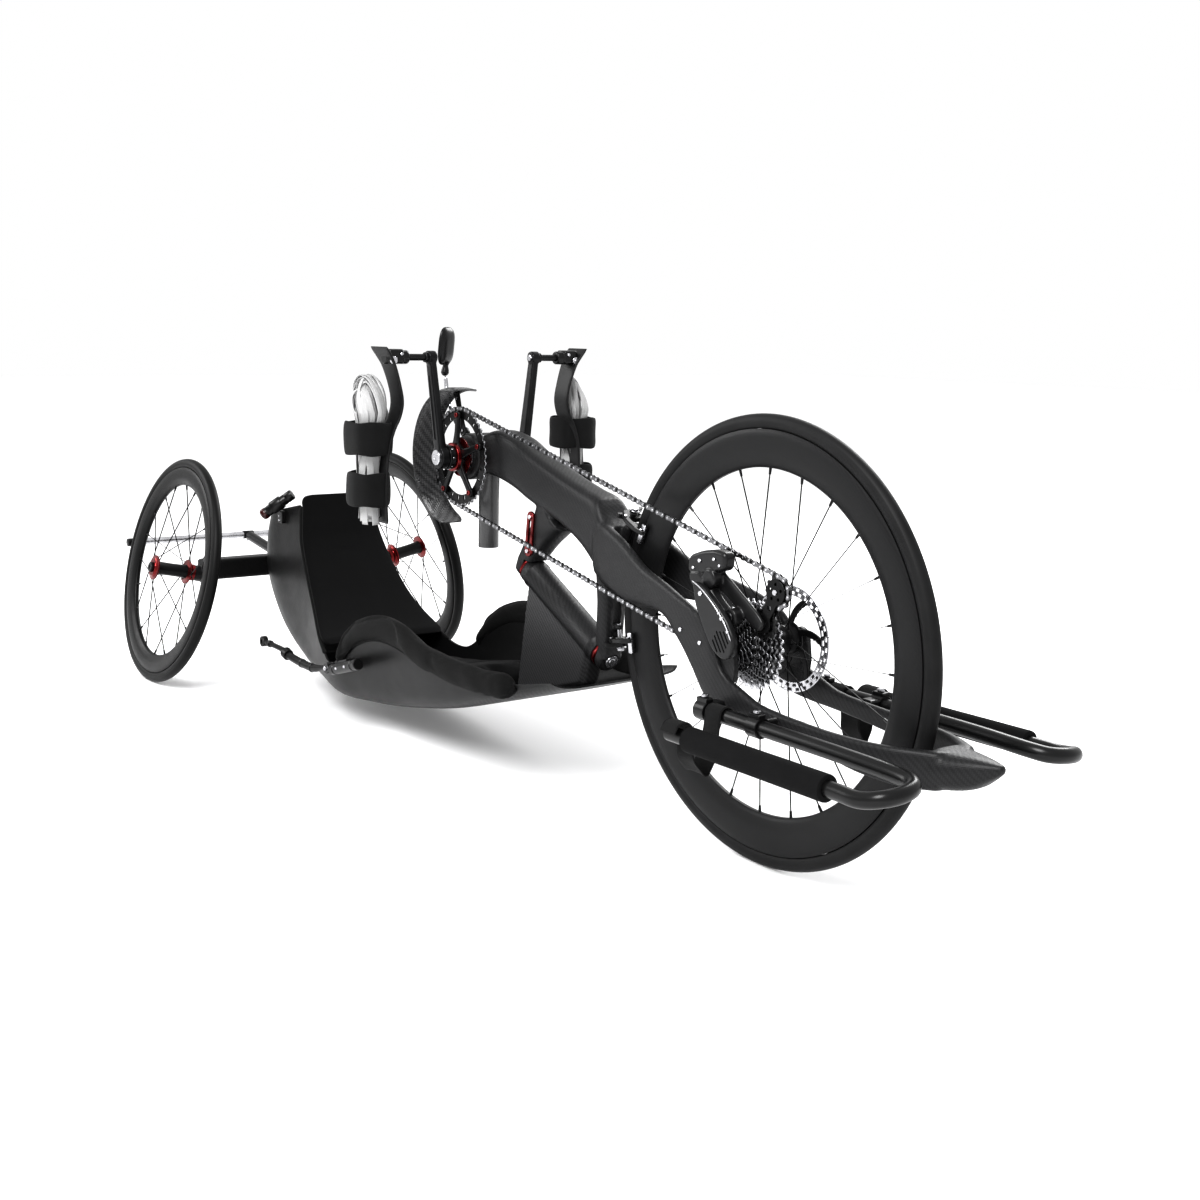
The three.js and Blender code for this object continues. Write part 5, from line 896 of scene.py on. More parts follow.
headCore = turned([(3, 1), (24.4, 1), (24.4, 240), (3, 240)], headTop, -steerAxis, 40)
fused("steeringMast", fin + headCore, 2.6, finCarbon, "seat", ["steering_mast"],
      [rod(alongHead(-9), alongHead(250), 15.2, 32)], 5)
piece("headTubeSkin", turned(headProfile, headTop, -steerAxis, 56, closed=True), frameCarbon, "seat")
ringProfile = [(9, 0.3), (20, 0.3), (23, 1.0), (24, 2.2), (23.4, 3.4), (24, 4.6), (24, 6.6), (23, 7.6), (20, 8),
               (9, 8)]
for name, at, way in (("upper", 0, steerAxis), ("lower", steer["length"], -steerAxis)):
    ring = turned(ringProfile, alongHead(at), way, 56, closed=True)
    piece(f"{name}BearingRing", ring, redAlloy, "seat", [f"{name}_bearing"])
footStart = steer["bearing"] + 0.3
boltEnd = [(0.2, 22), (5.5, 22), (6.5, 21), (11.5, 21.4), (12, 20.6), (12, 17.6), (8, 17.4)]
boltProfile = mirrored([(radius, -footStart - far) for radius, far in boltEnd], steer["length"])
piece("steeringBolt", turned(boltProfile, headTop, -steerAxis, 32), brightSteel, "fork", ["steering_bolt"])
print("mast and steering joint made")

beamMiddle = np.array([-rearBeam["back"], 0, rearBeam["middle"]], float)
saddle = {"low": 217, "high": 257, "width": 130}
backFloor = Station(np.linspace(0.6, 1, 400)).floor
shellBackAt = lambda height: backFloor[np.argmax(backFloor[:, 2] >= height), 0]
boxPlaces = beamMiddle + acrossWay * np.array([-1, -0.985, -0.97, 0.97, 0.985, 1])[:, None] * rearBeam["span"] / 2
boxShares = np.array([0.9, 0.97, 1, 1, 0.97, 0.9])
boxBeam = loft(rings(boxPlaces, (1, 0, 0), (0, 0, 1), boxShares * rearBeam["depth"] / 2,
                     boxShares * rearBeam["height"] / 2, 7, 48))
saddleHeights = np.linspace(saddle["low"], saddle["high"], 7)
saddleLine = [(-rearBeam["back"], saddle["low"]), *((shellBackAt(h) - 0.5, h) for h in saddleHeights),
              (-rearBeam["back"], saddle["high"])]
saddleBlock = plate(saddleLine, -saddle["width"] / 2, saddle["width"] / 2, bevel=2)
onAxis = {}
for sideName, side in sides:
    centre = np.array([-rearEnd["wheelbase"], side * rearEnd["track"] / 2, rearRise])
    way = turnAboutX(side * rearEnd["camber"]) @ acrossWay * side
    onAxis[sideName] = (lambda c, w: lambda distance: c + w * distance)(centre, way)
hubHalf = smallWheel["hubWidth"] / 2
sockets = joined([rod(onAxis[s](-hubHalf - 0.3), onAxis[s](-hubHalf - 62), 17, 40, 1.2) for s in onAxis])
fused("rearBeam", boxBeam + saddleBlock + sockets, 2.4, tubCarbon, "seat", ["rear_axle_beam"],
      [joined([rod(onAxis[s](-hubHalf + 6), onAxis[s](-hubHalf - 64), 8, 24)]) for s in onAxis], 3)
for sideName in onAxis:
    at = onAxis[sideName]
    head = [(7.3, 0.4), (10.4, 0.4), (11, 1), (11, 4), (10, 5.2), (5, 5.2), (4.2, 3.4), (0.2, 3.4)]
    profile = [(0.2, -hubHalf - 58), (7.3, -hubHalf - 58), *((radius, hubHalf + far) for radius, far in head)]
    stubAxle = turned(profile, at(0), at(1) - at(0), 40)
    piece(f"rearAxle_{sideName}", stubAxle, darkSteel, "seat", [f"rear_axle_{sideName}"])
    ringRows = ((17.2, 9), (18.2, 8), (18.2, 2), (17.2, 1), (16, 1), (16, 9))
    ring = turned([(radius, -hubHalf - far) for radius, far in ringRows], at(0), at(1) - at(0), 48, closed=True)
    piece(f"socketRing_{sideName}", ring, redAlloy, "seat")
guardBar = {"back": 1880, "height": 270, "span": 600, "radius": 8, "stay": 11}
barEnd = lambda share: np.array([-guardBar["back"], share * guardBar["span"] / 2, guardBar["height"]])
bar = rod(barEnd(-0.95), barEnd(0.95), guardBar["radius"], 40, 0.5)
piece("safetyBar", bar, silverAlloy, "seat", ["safety_bar"])
plugProfile = [(0.2, 0), (7, 0.4), (9, 1.6), (9.5, 4), (9.5, 16), (9, 18), (8.2, 18.6), (0.2, 18.6)]
plugs = joined([turned(plugProfile, barEnd(sign), (0, -sign, 0), 40) for sign in (-1, 1)])
piece("barPlugs", plugs, blackPlastic, "seat")
stayFoot = np.array([-rearBeam["back"] - rearBeam["depth"] / 2 - 0.3, 0, rearBeam["middle"]])
stayEnd = np.array([-guardBar["back"], 0, guardBar["height"]])
clampRing = turned(mirrored([(8.2, -13), (9, -13), (9.6, -12)]), stayEnd, acrossWay, 40, closed=True)
stay = rod(stayFoot - [4, 0, 0], stayEnd + unit(stayFoot - stayEnd) * 12, guardBar["stay"], 32, 0.8)
foot = slab(stayFoot - [4, 0, 0], (64, 40, 7.4), 1.0, 6, (0, 1, 0), (0, 0, 1))
feetBolts = joined([pin(stayFoot + [0, y, z], 7, 11, 3.4, 6, 0.5, (-1, 0, 0)) for y in (-25, 25) for z in (-12, 12)])
piece("barStay", stay + foot + clampRing, blackAlloy, "seat")
clampBolt = pin(stayEnd + [-4, 0, 0], -12, -16, 3.2, 6, 0.5, (0, 0, 1))
piece("barBolts", feetBolts + clampBolt, brightSteel, "seat")
print("rear end made")

lamp = {"along": 0.45, "out": 17.5, "rise": 12.5, "length": 85, "clipHalf": 13}
last = Station(1.0)
lampEdge = (last.rim + (last.floor - last.rim) * lamp["along"])[0]
lampEdge[1] = -last.rimHalf[0]
lampMiddle = lampEdge + [0, -lamp["out"], lamp["rise"]]
lampWay = unit(np.array([0.48, 0.65, 0.59]))
lampStart = lampMiddle - lampWay * lamp["length"] / 2
lampProfile = [(0.2, 8), (9, 8), (11.2, 9), (11.5, 11), (11.5, 16), (10.9, 17), (10.9, 18), (11.5, 19), (11.5, 66),
               (10.8, 67), (10.8, 69), (11.5, 70), (11.5, 82), (10.5, 84.4), (8, 85), (0.2, 85)]
piece("lampBody", turned(lampProfile, lampStart, lampWay, 48), blackPlastic, "seat", ["rear_lamp"])
lensProfile = [(0.2, 0.4), (6, 0.7), (9.5, 1.8), (11.6, 4), (12.2, 7), (12.2, 13), (11.7, 14), (10, 14), (0.2, 14)]
piece("lampLens", turned(lensProfile, lampStart, lampWay, 48), lampLens, "seat")
clipProfile = mirrored([(11.8, -lamp["clipHalf"]), (14, -lamp["clipHalf"]), (14.5, 1 - lamp["clipHalf"])])
clipBand = turned(clipProfile, lampMiddle, lampWay, 48, closed=True)
footLow, footHigh = lampEdge[2] - 28, lampMiddle[2] - lamp["clipHalf"]
clipFoot = slab((lampEdge[0], lampEdge[1] - 6.2, (footLow + footHigh) / 2), (26, footHigh - footLow, 11.4), 1.2, 4)
piece("lampBracket", clipBand + clipFoot, blackPlastic, "seat", ["lamp_bracket"])
lampScrews = joined([pin(lampEdge + [0, 0, z], -12.1, -14, 2.6, 6, 0.4) for z in (-22, -12)])
piece("lampScrews", lampScrews, brightSteel, "seat")

lever = {"outset": 32, "back": 1036, "length": 306, "neck": 5.5, "holderReach": 109}
sideStations = Station(np.linspace(0.3, 0.8, 201))


def rimAt(back):  # the shell's rim and its half width at a distance back
    number = int(np.argmax(-sideStations.rim[:, 0] >= back))
    return sideStations.rim[number], sideStations.rimHalf[number]


leverRim, leverHalf = rimAt(lever["back"])
leverSide = leverHalf + lever["outset"]
hinge = np.array([-lever["back"], -leverSide, leverRim[2] - 31.9])
tip = hinge + [-lever["length"], 0, -1]
# place along the lever, how far it sags, its radius, as shares of the neck
leverShares = np.array([[0, 0, 1], [0.08, 0.8, 1.0], [0.21, 2.3, 1.4], [0.405, 2.3, 1.45], [0.608, 1.4, 1.4],
                        [0.683, 0.35, 1], [0.93, 0, 0.95], [1, 0, 0.9]])
fine = through(leverShares[:, 0], leverShares, np.linspace(0, 1, 60))
line = hinge + (tip - hinge) * fine[:, :1] + np.array([0, 0, -1.0]) * fine[:, 1:2] * lever["neck"]
leverRadius = fine[:, 2] * lever["neck"] * 0.98
leverForm = loft(rings(line, acrossWay, (0, 0, 1), leverRadius, leverRadius, 2, 24))
piece("leverRod", leverForm, blackAlloy, "gear_lever", ["gear_lever"])
eye = turned(mirrored([(5, -5.4), (10.4, -5.4), (11, -4.6)]), tip, acrossWay, 40, closed=True)
boss = turned(mirrored([(0.2, -6), (10.2, -6), (11, -5.2)]), hinge, acrossWay, 40)


def leverCollar(share, half, radius):  # a collar at a share of the lever's length
    number = int(share * 59)
    profile = mirrored([(5, -half), (radius - 0.8, -half), (radius, -half + 0.8)])
    return turned(profile, line[number], line[number + 1] - line[number - 1], 36)


collars = [leverCollar(*row) for row in ((0.64, 7.8, 11.3), (0.24, 3, 8.9), (0.4, 3, 8.9), (0.9, 4, 7.2))]
piece("leverFittings", joined([eye, boss, *collars]), blackPlastic, "gear_lever")
leverBolt = pin(hinge, -6, -9.5, 5, 6) + pin(hinge, -9.4, -10.4, 2.6, 16, 0.3)
piece("leverBolt", leverBolt, brightSteel, "gear_lever")
frontRim = rimAt(lever["back"] - lever["holderReach"])[0]
holder = [hinge + [18, 0, 0], np.array([lever["holderReach"] - lever["back"], -leverSide, frontRim[2] - 63.9])]
holderProfile = [(0.2, 0), (9.6, 0), (11, 1.4), (11, 16), (9.8, 17), (9.8, 20), (11, 21), (11, 92), (9.8, 93),
                 (9.8, 96), (11, 97), (11, 110.4), (9.6, 112), (0.2, 112)]
holderRod = turned(holderProfile, holder[0], holder[1] - holder[0], 40)
tabProfile = [(5, 6.4), (10.4, 6.4), (11, 7), (11, 10.8), (10.4, 11.3), (5, 11.3)]
tab = turned(tabProfile, hinge, acrossWay, 36, closed=True)
neck = slab(hinge + [13, 8.85, 0], (17, 15, 4.8), 0.6, 2)
holderWay = unit(holder[1] - holder[0])
footMiddle = (hinge + holder[1]) / 2 * [1, 0, 1] + [0, -leverSide + 15.2, 0]
footBlock = slab(footMiddle, (38, 24, 26), 1.4, 5, holderWay, np.cross(holderWay, acrossWay))
piece("leverHolder", holderRod + tab + neck + footBlock, blackPlastic, "seat", ["lever_holder"])
holderBolts = joined([pin(holder[0] + holderWay * d, -10.6, -13, 3, 6, 0.5) for d in (38, 74)])
piece("holderBolts", holderBolts, brightSteel, "seat")
print("lamp and gear lever made")

# The fork is one carbon moulding from the crank bracket over the steering joint to the nose.
bracket = {"back": 789, "height": 547, "bore": 21, "shell": 43, "width": 70}
beam = {"depth": 88, "width": 60, "crownBack": 345, "crownHeight": 416}
crankMiddle = np.array([-bracket["back"], 0, bracket["height"]], float)
blade = {"thickness": 14, "stance": 77, "crown": 385, "noseBack": 365, "top": 470, "bottom": 205}
upWay = np.array([0, 0, 1.0])
# along from the bracket, drop, half depth, half width
beamShares = np.array([[0.05, -0.04, 0.4, 0.44], [0.18, -0.077, 0.49, 0.48], [0.32, 0.015, 0.51, 0.5],
                       [0.43, 0.16, 0.495, 0.5], [0.66, 0.41, 0.48, 0.5], [0.8, 0.585, 0.545, 0.52],
                       [0.9, 0.75, 0.65, 0.58], [0.955, 0.93, 0.6, 0.64], [1, 1, 0.56, 0.68]])
# along from the crown, upper edge, lower edge, stance, half thickness
bladeShares = np.array([
    [0, 1, 0.68, 0.31, 0.93], [0.047, 0.99, 0.62, 0.41, 0.86], [0.127, 0.915, 0.57, 0.52, 0.79],
    [0.212, 0.805, 0.573, 0.65, 0.71], [0.304, 0.745, 0.566, 0.805, 0.64], [0.364, 0.7, 0.46, 0.9, 0.6],
    [0.41, 0.66, 0.343, 0.95, 0.57], [0.459, 0.59, 0.19, 0.985, 0.57], [0.487, 0.47, 0.155, 1, 0.54],
    [0.513, 0.35, 0.144, 1, 0.5], [0.567, 0.28, 0.132, 1, 0.5], [0.62, 0.232, 0.125, 1, 0.5],
    [0.768, 0.204, 0.083, 0.975, 0.5], [0.86, 0.2, 0.038, 0.9, 0.54], [0.927, 0.2, 0.012, 0.715, 0.6],
    [0.973, 0.204, 0.008, 0.47, 0.8], [1, 0.204, 0.012, 0.3, 1]])
# along from its start, half width, lower edge, upper edge
noseShares = np.array([[0, 1, 0, 1], [0.31, 0.8, 0.04, 1], [0.62, 0.54, 0.21, 0.99], [0.88, 0.26, 0.55, 0.95],
                       [1, 0.1, 0.74, 0.92]])
nose = {"back": 345, "length": 97, "halfWidth": 46, "low": 207, "height": 52}


def beamForm():
    along, drop, deep, wide = through(beamShares[:, 0], beamShares, np.linspace(0.05, 1, 50)).T
    run, fall = bracket["back"] - beam["crownBack"], bracket["height"] - beam["crownHeight"]
    middle = np.stack([-bracket["back"] + along * run, along * 0, bracket["height"] - drop * fall], -1)
    return loft(rings(middle, acrossWay, upWay, wide * beam["width"], deep * beam["depth"], 4.5, 48))


def bladeForm(side):
    along, top, low, stance, half = through(bladeShares[:, 0], bladeShares, np.linspace(0, 1, 110)).T
    rise = blade["top"] - blade["bottom"]
    x = along * (blade["crown"] + blade["noseBack"]) - blade["crown"]
    middle = np.stack([x, side * stance * blade["stance"], blade["bottom"] + (top + low) / 2 * rise], -1)
    return loft(rings(middle, acrossWay, upWay, half * blade["thickness"], (top - low) / 2 * rise, 4, 32))


def noseForm():
    along, half, low, high = through(noseShares[:, 0], noseShares, np.linspace(0, 1, 30)).T
    z = nose["low"] + nose["height"] * (low + high) / 2
    middle = np.stack([nose["back"] + along * nose["length"], along * 0, z], -1)
    return loft(rings(middle, acrossWay, upWay, half * nose["halfWidth"], nose["height"] * (high - low) / 2, 2.8, 40))


def legForm(top, foot, sizes, width):  # a squarish leg from the beam down to a steering foot
    t = np.linspace(0, 1, 24)
    size = through([0, 0.4, 0.75, 1], np.array(sizes, float), t) * width
    middle = top + (foot - top) * t[:, None]
    return loft(rings(middle, acrossWay, np.cross(unit(foot - top), acrossWay), size[:, 0], size[:, 1], 3.6, 40))


feet = [(alongHead(-footStart), alongHead(-footStart - steer["foot"])),
        (alongHead(steer["length"] + footStart), alongHead(steer["length"] + footStart + steer["foot"]))]
footMiddles = [(a + b) / 2 for a, b in feet]
stubTop = np.array([-540.0, 0, bracket["height"] - 79])
webTop = np.array([-beam["crownBack"] - 29.0, 0, beam["crownHeight"] - 21])
stubForm = legForm(stubTop, footMiddles[0], [[0.6, 1], [0.52, 0.66], [0.48, 0.5], [0.46, 0.42]], 44)
webForm = legForm(webTop, footMiddles[1], [[0.66, 0.48], [0.54, 0.36], [0.5, 0.36], [0.46, 0.34]], 44)
slotLow, slotHigh = (footMiddles[1][2] + share * (webTop[2] - footMiddles[1][2]) for share in (0.39, 0.72))
brake = {"pivot": 358, "pad": 303, "sites": {"upper": (155, 1), "lower": (190, -1)}}


def brakeFrame(name):
    degrees, way = brake["sites"][name]
    out = radial(math.radians(degrees))
    return out, np.array([-out[2], 0, out[0]]), way


bosses = []
for name in brake["sites"]:
    out, along, way = brakeFrame(name)
    bosses.append(pin(frontCentre + out * brake["pivot"], 56, 20, 8, 32, 0.6, along * way))
forkForm = joined([beamForm(), bladeForm(-1), bladeForm(1), noseForm(), stubForm, webForm, *bosses,
                   pin(crankMiddle, -bracket["width"] / 2, bracket["width"] / 2, bracket["shell"], 72, 3.0),
                   *[rod(a, b, steer["footRadius"], 48, 1.5) for a, b in feet]])
slotCut = slab((webTop[0] - 14, 0, (slotLow + slotHigh) / 2), (110, slotHigh - slotLow, 16), 0.5, 7.5)
postX = -bracket["back"] + 24.0
cuts = [rod(alongHead(-footStart), alongHead(steer["length"] + footStart), 29, 56, 0.2), slotCut,
        pin(crankMiddle, -60, 60, bracket["bore"], 56, 0.2),
        pin((postX, 0, bracket["height"]), -30, -60, 17.2, 40, 0.2, upWay),
        joined([pin(foot[1], 0, 30, 14, 40, 0.2, steerAxis * sign) for foot, sign in zip(feet, (1, -1))]),
        rod(alongHead(-60), alongHead(300), 8.3, 32, 0.1)]
fused("forkMoulding", forkForm, 2.6, frameCarbon, "fork", ["fork_shell"], cuts, 5)
for name in brake["sites"]:
    out, along, way = brakeFrame(name)
    rows = ((30, -12, 3.4, 24, 0.3), (-10.5, -15, 6.2, 6, 0.8), (-9, -10.5, 7.5, 24, 0.3))
    boltForm = joined([pin(frontCentre + out * brake["pivot"], *row, along * way) for row in rows])
    piece(f"{name}BrakeBolt", boltForm, brightSteel, "fork")
postProfile = [(17.2, 0), (18.6, 0), (19, 0.6), (19, 166), (17.2, 166)]
postForm = turned(postProfile, (postX, 0, bracket["height"] - 168), upWay, 56, closed=True)
piece("steeringPost", postForm, tubeCarbon, "fork")

# Dropouts and the gear hanger: plates round the front axle, screwed into the blades.
dropoutFace = wheel["hubWidth"] / 2 + 0.3
dropoutLine = roundedCorners([(-26, -44), (18, -50), (21, -30), (18, -8), (17, 0), (12, 12), (0, 17), (-12, 12),
                              (-17, 0), (-20, -12), (-34, -30), (-40, -42)], 6, 5)
for sideName, side in sides:
    low, high = sorted((side * dropoutFace, side * (dropoutFace + 8.5)))
    dropout = plate(dropoutLine, low, high, frontCentre, bevel=0.9)
    piece(f"dropout_{sideName}", dropout, frameCarbon, "fork")
hangerLine = roundedCorners([(-10, -4), (10, -4), (13, 18), (18.5, 45), (14, 53), (8, 55.5), (1, 53), (-2.5, 45),
                             (-8, 20)], 4, 4)
hanger = plate(hangerLine, -dropoutFace - 8.2, -dropoutFace - 0.4, frontCentre, bevel=0.8)
piece("gearHanger", hanger, blackAlloy, "fork")
axleProfile = [(0.2, -83), (4, -83), (4.6, -82.4), (8.4, -82.4), (9, -81.6), (9, -77.2), (6, -76.8), (6, 76.8),
               (9, 77.2), (9, 81.6), (8.4, 82.4), (4.6, 82.4), (4, 80.5), (0.2, 80.5)]
frontAxle = turned(axleProfile, frontCentre, acrossWay, 40)
piece("frontAxleRod", frontAxle, blackAlloy, "fork", ["front_axle"])
screwPlaces = ((-99, 79.2, 344), (-49, 83.2, 333), (-62, 83.2, 262))
bladeScrews = joined([pin((x, 0, z), sign * y, sign * (y + 2.2), 3.4, 20, 0.5)
                      for sign in (-1, 1) for x, y, z in screwPlaces])
piece("bladeScrews", bladeScrews, brightSteel, "fork")
print("fork made")

# The red steering link stands between the beam's stub and the head.
stubRun = footMiddles[0] - stubTop
stubSide = unit(np.array([stubRun[2], 0, -stubRun[0]]))
linkEnds = [stubTop + stubRun * share + stubSide * off for share, off in ((0.279, 26.2), (0.647, -8.3))]
linkWay = unit(linkEnds[1] - linkEnds[0])
linkNormal = np.array([-linkWay[2], 0, linkWay[0]])
linkLong = np.linalg.norm(linkEnds[1] - linkEnds[0])


def stadium(low, high, half):  # a long rounded outline between two places on one axis
    t = np.linspace(-math.pi / 2, math.pi / 2, 14)
    first = np.stack([high + half * np.cos(t), half * np.sin(t)], -1)
    second = np.stack([low - half * np.cos(t), -half * np.sin(t)], -1)
    return np.vstack([first, second])


link = {"low": -27.4, "high": -23.2, "half": 10, "slotHalf": 3.6, "slotInset": 9}
outline = stadium(0, linkLong, link["half"])
opening = stadium(link["slotInset"], linkLong - link["slotInset"], link["slotHalf"])
layers = [(opening, link["low"]), (outline, link["low"]), (outline, link["high"]), (opening, link["high"])]
linkGrid = np.stack([linkEnds[0] + flat[:, :1] * linkWay + flat[:, 1:] * linkNormal
                     + depth * np.cross(linkNormal, linkWay) for flat, depth in layers])
linkForm = surface(linkGrid, roundRows=True, roundColumns=True)
piece("stopLink", linkForm, redAlloy, "fork", ["steering_link"], sharp=30, bevel=0.7)
linkBolts = joined([pin(end, -27.3, -30.5, 4.4, 6) for end in linkEnds])
piece("linkBolts", linkBolts, brightSteel, "fork")

crankArm = {"length": 182, "splay": 22.5, "foot": 89, "width": 27, "thickness": 17, "boss": 21, "end": 191}
for sideName, side in sides:
    outward = np.array([0, side, 0.0])
    cup = [(12.6, 17), (20.6, 17), (20.6, 35.3), (24, 35.3), (25, 36), (25, 38.2), (24, 39), (17.5, 39), (16.8, 38.2),
           (12.6, 38.2)]
    cupForm = turned(cup, crankMiddle, outward, 56, closed=True)
    piece(f"crankBearing_{sideName}", cupForm, silverAlloy, "fork", [f"crank_bearing_{sideName}"])
    outAt = lambda along: side * (crankArm["foot"] + along * crankArm["splay"])
    at = lambda along, y=0.0: crankMiddle + [0, outAt(along) + side * y, along * crankArm["length"]]
    t = np.linspace(0, 1, 40)
    half = through([0, 0.12, 0.5, 0.88, 1], [1, 0.92, 0.84, 0.78, 0.74], t)
    line = crankMiddle + np.stack([t * 0, outAt(t), t * crankArm["length"]], -1)
    halfWide, halfThick = half * crankArm["width"] / 2, half * crankArm["thickness"] / 2
    blank = loft(rings(line, (1, 0, 0), acrossWay, halfWide, halfThick, 4.5, 40))
    bossForms = [rod(at(along, -8.4), at(along, 8.4), *row) for along, *row in
                 ((0, crankArm["boss"], 56, 1.6), (1, 12, 44, 1.2))]
    armSolid = joined([blank, *bossForms])
    groove = slab(at(0.5, 8.0), (9, 118, 5), 0.4, 4.4, (1, 0, 0), unit(at(1) - at(0)))
    bore = rod(at(0, -30), at(0, 30), 12.6, 40, 0.1)
    fused(f"crankArm_{sideName}", armSolid, 1.5, darkAlloy, "crank", [f"crank_arm_{sideName}"],
          [bore, groove], 3)
    spindleLong = crankArm["end"] - crankArm["foot"] - crankArm["splay"]
    spindleProfile = [(0.2, 0), (6, 0), (6, 8.2), (8.6, 8.2), (9, 8.8), (9, 13), (8.4, 13.6), (6, 13.6),
                      (6, spindleLong - 1), (5, spindleLong), (0.2, spindleLong)]
    piece(f"gripSpindle_{sideName}", turned(spindleProfile, at(1), outward, 36), darkSteel, "crank")
    tipNut = rod(at(1, -8.2), at(1, -11), 6.5, 6, 0.7)
    piece(f"spindleNut_{sideName}", tipNut, brightSteel, "crank")
axleEnd = crankArm["foot"] + crankArm["thickness"] / 2 + 0.3
axleTip = [(0.2, 2.2), (5, 2.2), (6, 3.2), (13.2, 3.2), (14, 2.4), (14, 0), (12, 0)]
axleProfile = mirrored([(radius, -axleEnd - far) for radius, far in axleTip])
crankAxle = turned(axleProfile, crankMiddle, acrossWay, 48)
piece("crankAxle", crankAxle, silverAlloy, "crank", ["crank_axle"])

drive = {"plane": -48, "pitch": 12.7, "ring": 44, "cog": 17, "pulley": 11, "bolts": 5, "boltRadius": 77}
pitchRadius = lambda count: drive["pitch"] / (2 * math.sin(math.pi / count))
ringRadius, pulleyRadius = pitchRadius(drive["ring"]), pitchRadius(drive["pulley"])
boltAngles = 2 * math.pi * (np.arange(drive["bolts"]) + 0.25) / drive["bolts"]
crankFlat = (crankMiddle[0], crankMiddle[2])


def ringMask(radius, angle):  # small round lightening holes between the bolts
    nearest = np.min(np.abs((angle[..., None] - boltAngles + math.pi) % (2 * math.pi) - math.pi), -1)
    place = angle / (2 * math.pi) * drive["ring"]
    pierced = (np.abs(place % 1 - 0.5) < 0.24) & (np.floor(place) % 2 == 0)
    return (radius > 73.5) & (radius < 80.5) & (nearest > 0.17) & pierced


ringEdge, ringCells = teeth(drive["ring"], ringRadius), drive["ring"] * 10
ringForm = disc(70.2, ringEdge, 9, ringCells, crankFlat, drive["plane"], ringMask)
piece("chainringPlate", ringForm, blackAlloy, "crank", ["chainring"], wall=2.3, bevel=0.25)
tipEdge = teeth(drive["ring"], ringRadius + 0.05, 2.45, 2.1)
toothTips = disc(ringRadius - 2.3, tipEdge, 1, ringCells, crankFlat, drive["plane"])
piece("chainringTeeth", toothTips, cogSteel, "crank", wall=2.5)
ringLow = drive["plane"] - 1.2
spiderFace = ringLow - 0.3
arms = []
for angle in boltAngles:
    way = radial(angle)
    cross = np.array([-way[2], 0, way[0]])
    t = np.linspace(0, 1, 14)
    line = crankMiddle + way * (15 + t * 62)[:, None] + np.array([0, spiderFace - 4.2, 0])
    line = line + np.array([0, -5.0, 0]) * (1 - t)[:, None] ** 2
    arms.append(loft(rings(line, cross, acrossWay, through([0, 0.4, 0.8, 1], [12, 7.2, 6.6, 7.6], t), 3.6, 4, 24)))
    arms.append(pin(crankMiddle + way * drive["boltRadius"], spiderFace - 7.4, spiderFace - 0.4, 8.2, 32, 0.8))
axleBore = pin(crankMiddle, -95, 0, 12.6, 40, 0.1)
hubSpider = pin(crankMiddle, spiderFace - 0.4, spiderFace - 11, 25, 56, 1.5)
fused("crankSpider", joined(arms) + hubSpider, 1.5, blackAlloy, "crank", (), [axleBore], 3)
# The red collar between the chainring and the spider, and the dark clamp that carries the arm.
collarProfile = [(12.7, 3.4), (33, 3.4), (35, 2.4), (36, 0.6), (36, -0.2), (30, -0.3), (12.7, -0.3)]
capProfile = [(12.7, 11.2), (25.6, 11.2), (26.4, 12), (26.4, 17.4), (25.6, 18.2), (22, 18.4), (21, 19), (12.7, 19)]
clampProfile = [(12.7, 19.3), (21.4, 19.3), (22.4, 20.2), (22.4, 30.0), (21.6, 30.8), (12.7, 30.8)]
for name, profile, way, count, look in (("crankCollar", collarProfile, acrossWay, 64, redAlloy),
                                        ("crankRedRing", capProfile, -acrossWay, 64, redAlloy),
                                        ("crankClamp", clampProfile, -acrossWay, 56, darkAlloy)):
    form = turned(profile, crankMiddle + [0, spiderFace, 0], way, count, closed=True)
    piece(name, form, look, "crank")
studAngles = np.arange(8) * math.pi / 4
studs = joined([pin(crankMiddle + [0, spiderFace - 25, 0], 21.9, 23.4, 2.1, 8, 0.3, radial(a)) for a in studAngles])
piece("crankStuds", studs, brightSteel, "crank")
boltProfile = [(0.2, 0), (4.4, 0), (5, 0.5), (5, 1.5), (4, 1.7), (4, 11.3), (5, 11.6), (5, 13.4), (4.4, 14),
               (2.6, 14), (2.2, 12.6), (0.2, 12.6)]
boltPlaces = [crankMiddle + radial(a, drive["boltRadius"]) + [0, ringLow + 3.8, 0] for a in boltAngles]
ringBolts = joined([turned(boltProfile, at, -acrossWay, 24) for at in boltPlaces])
piece("ringBolts", ringBolts, redAlloy, "crank")
print("cranks made")

# The chain: pairs of outer and inner plates in turn on rollers, round the ring, both pulleys and a cog.
hangerPoint = np.array([8.0, 0, wheel["radius"] + 45])
guideAt, tensionAt = hangerPoint + [44, 0, -4], hangerPoint + [67, 0, 44]
stops = [(crankMiddle, ringRadius, 1), (tensionAt, pulleyRadius, 1), (guideAt, pulleyRadius, -1),
         (frontCentre, pitchRadius(drive["cog"]), 1)]


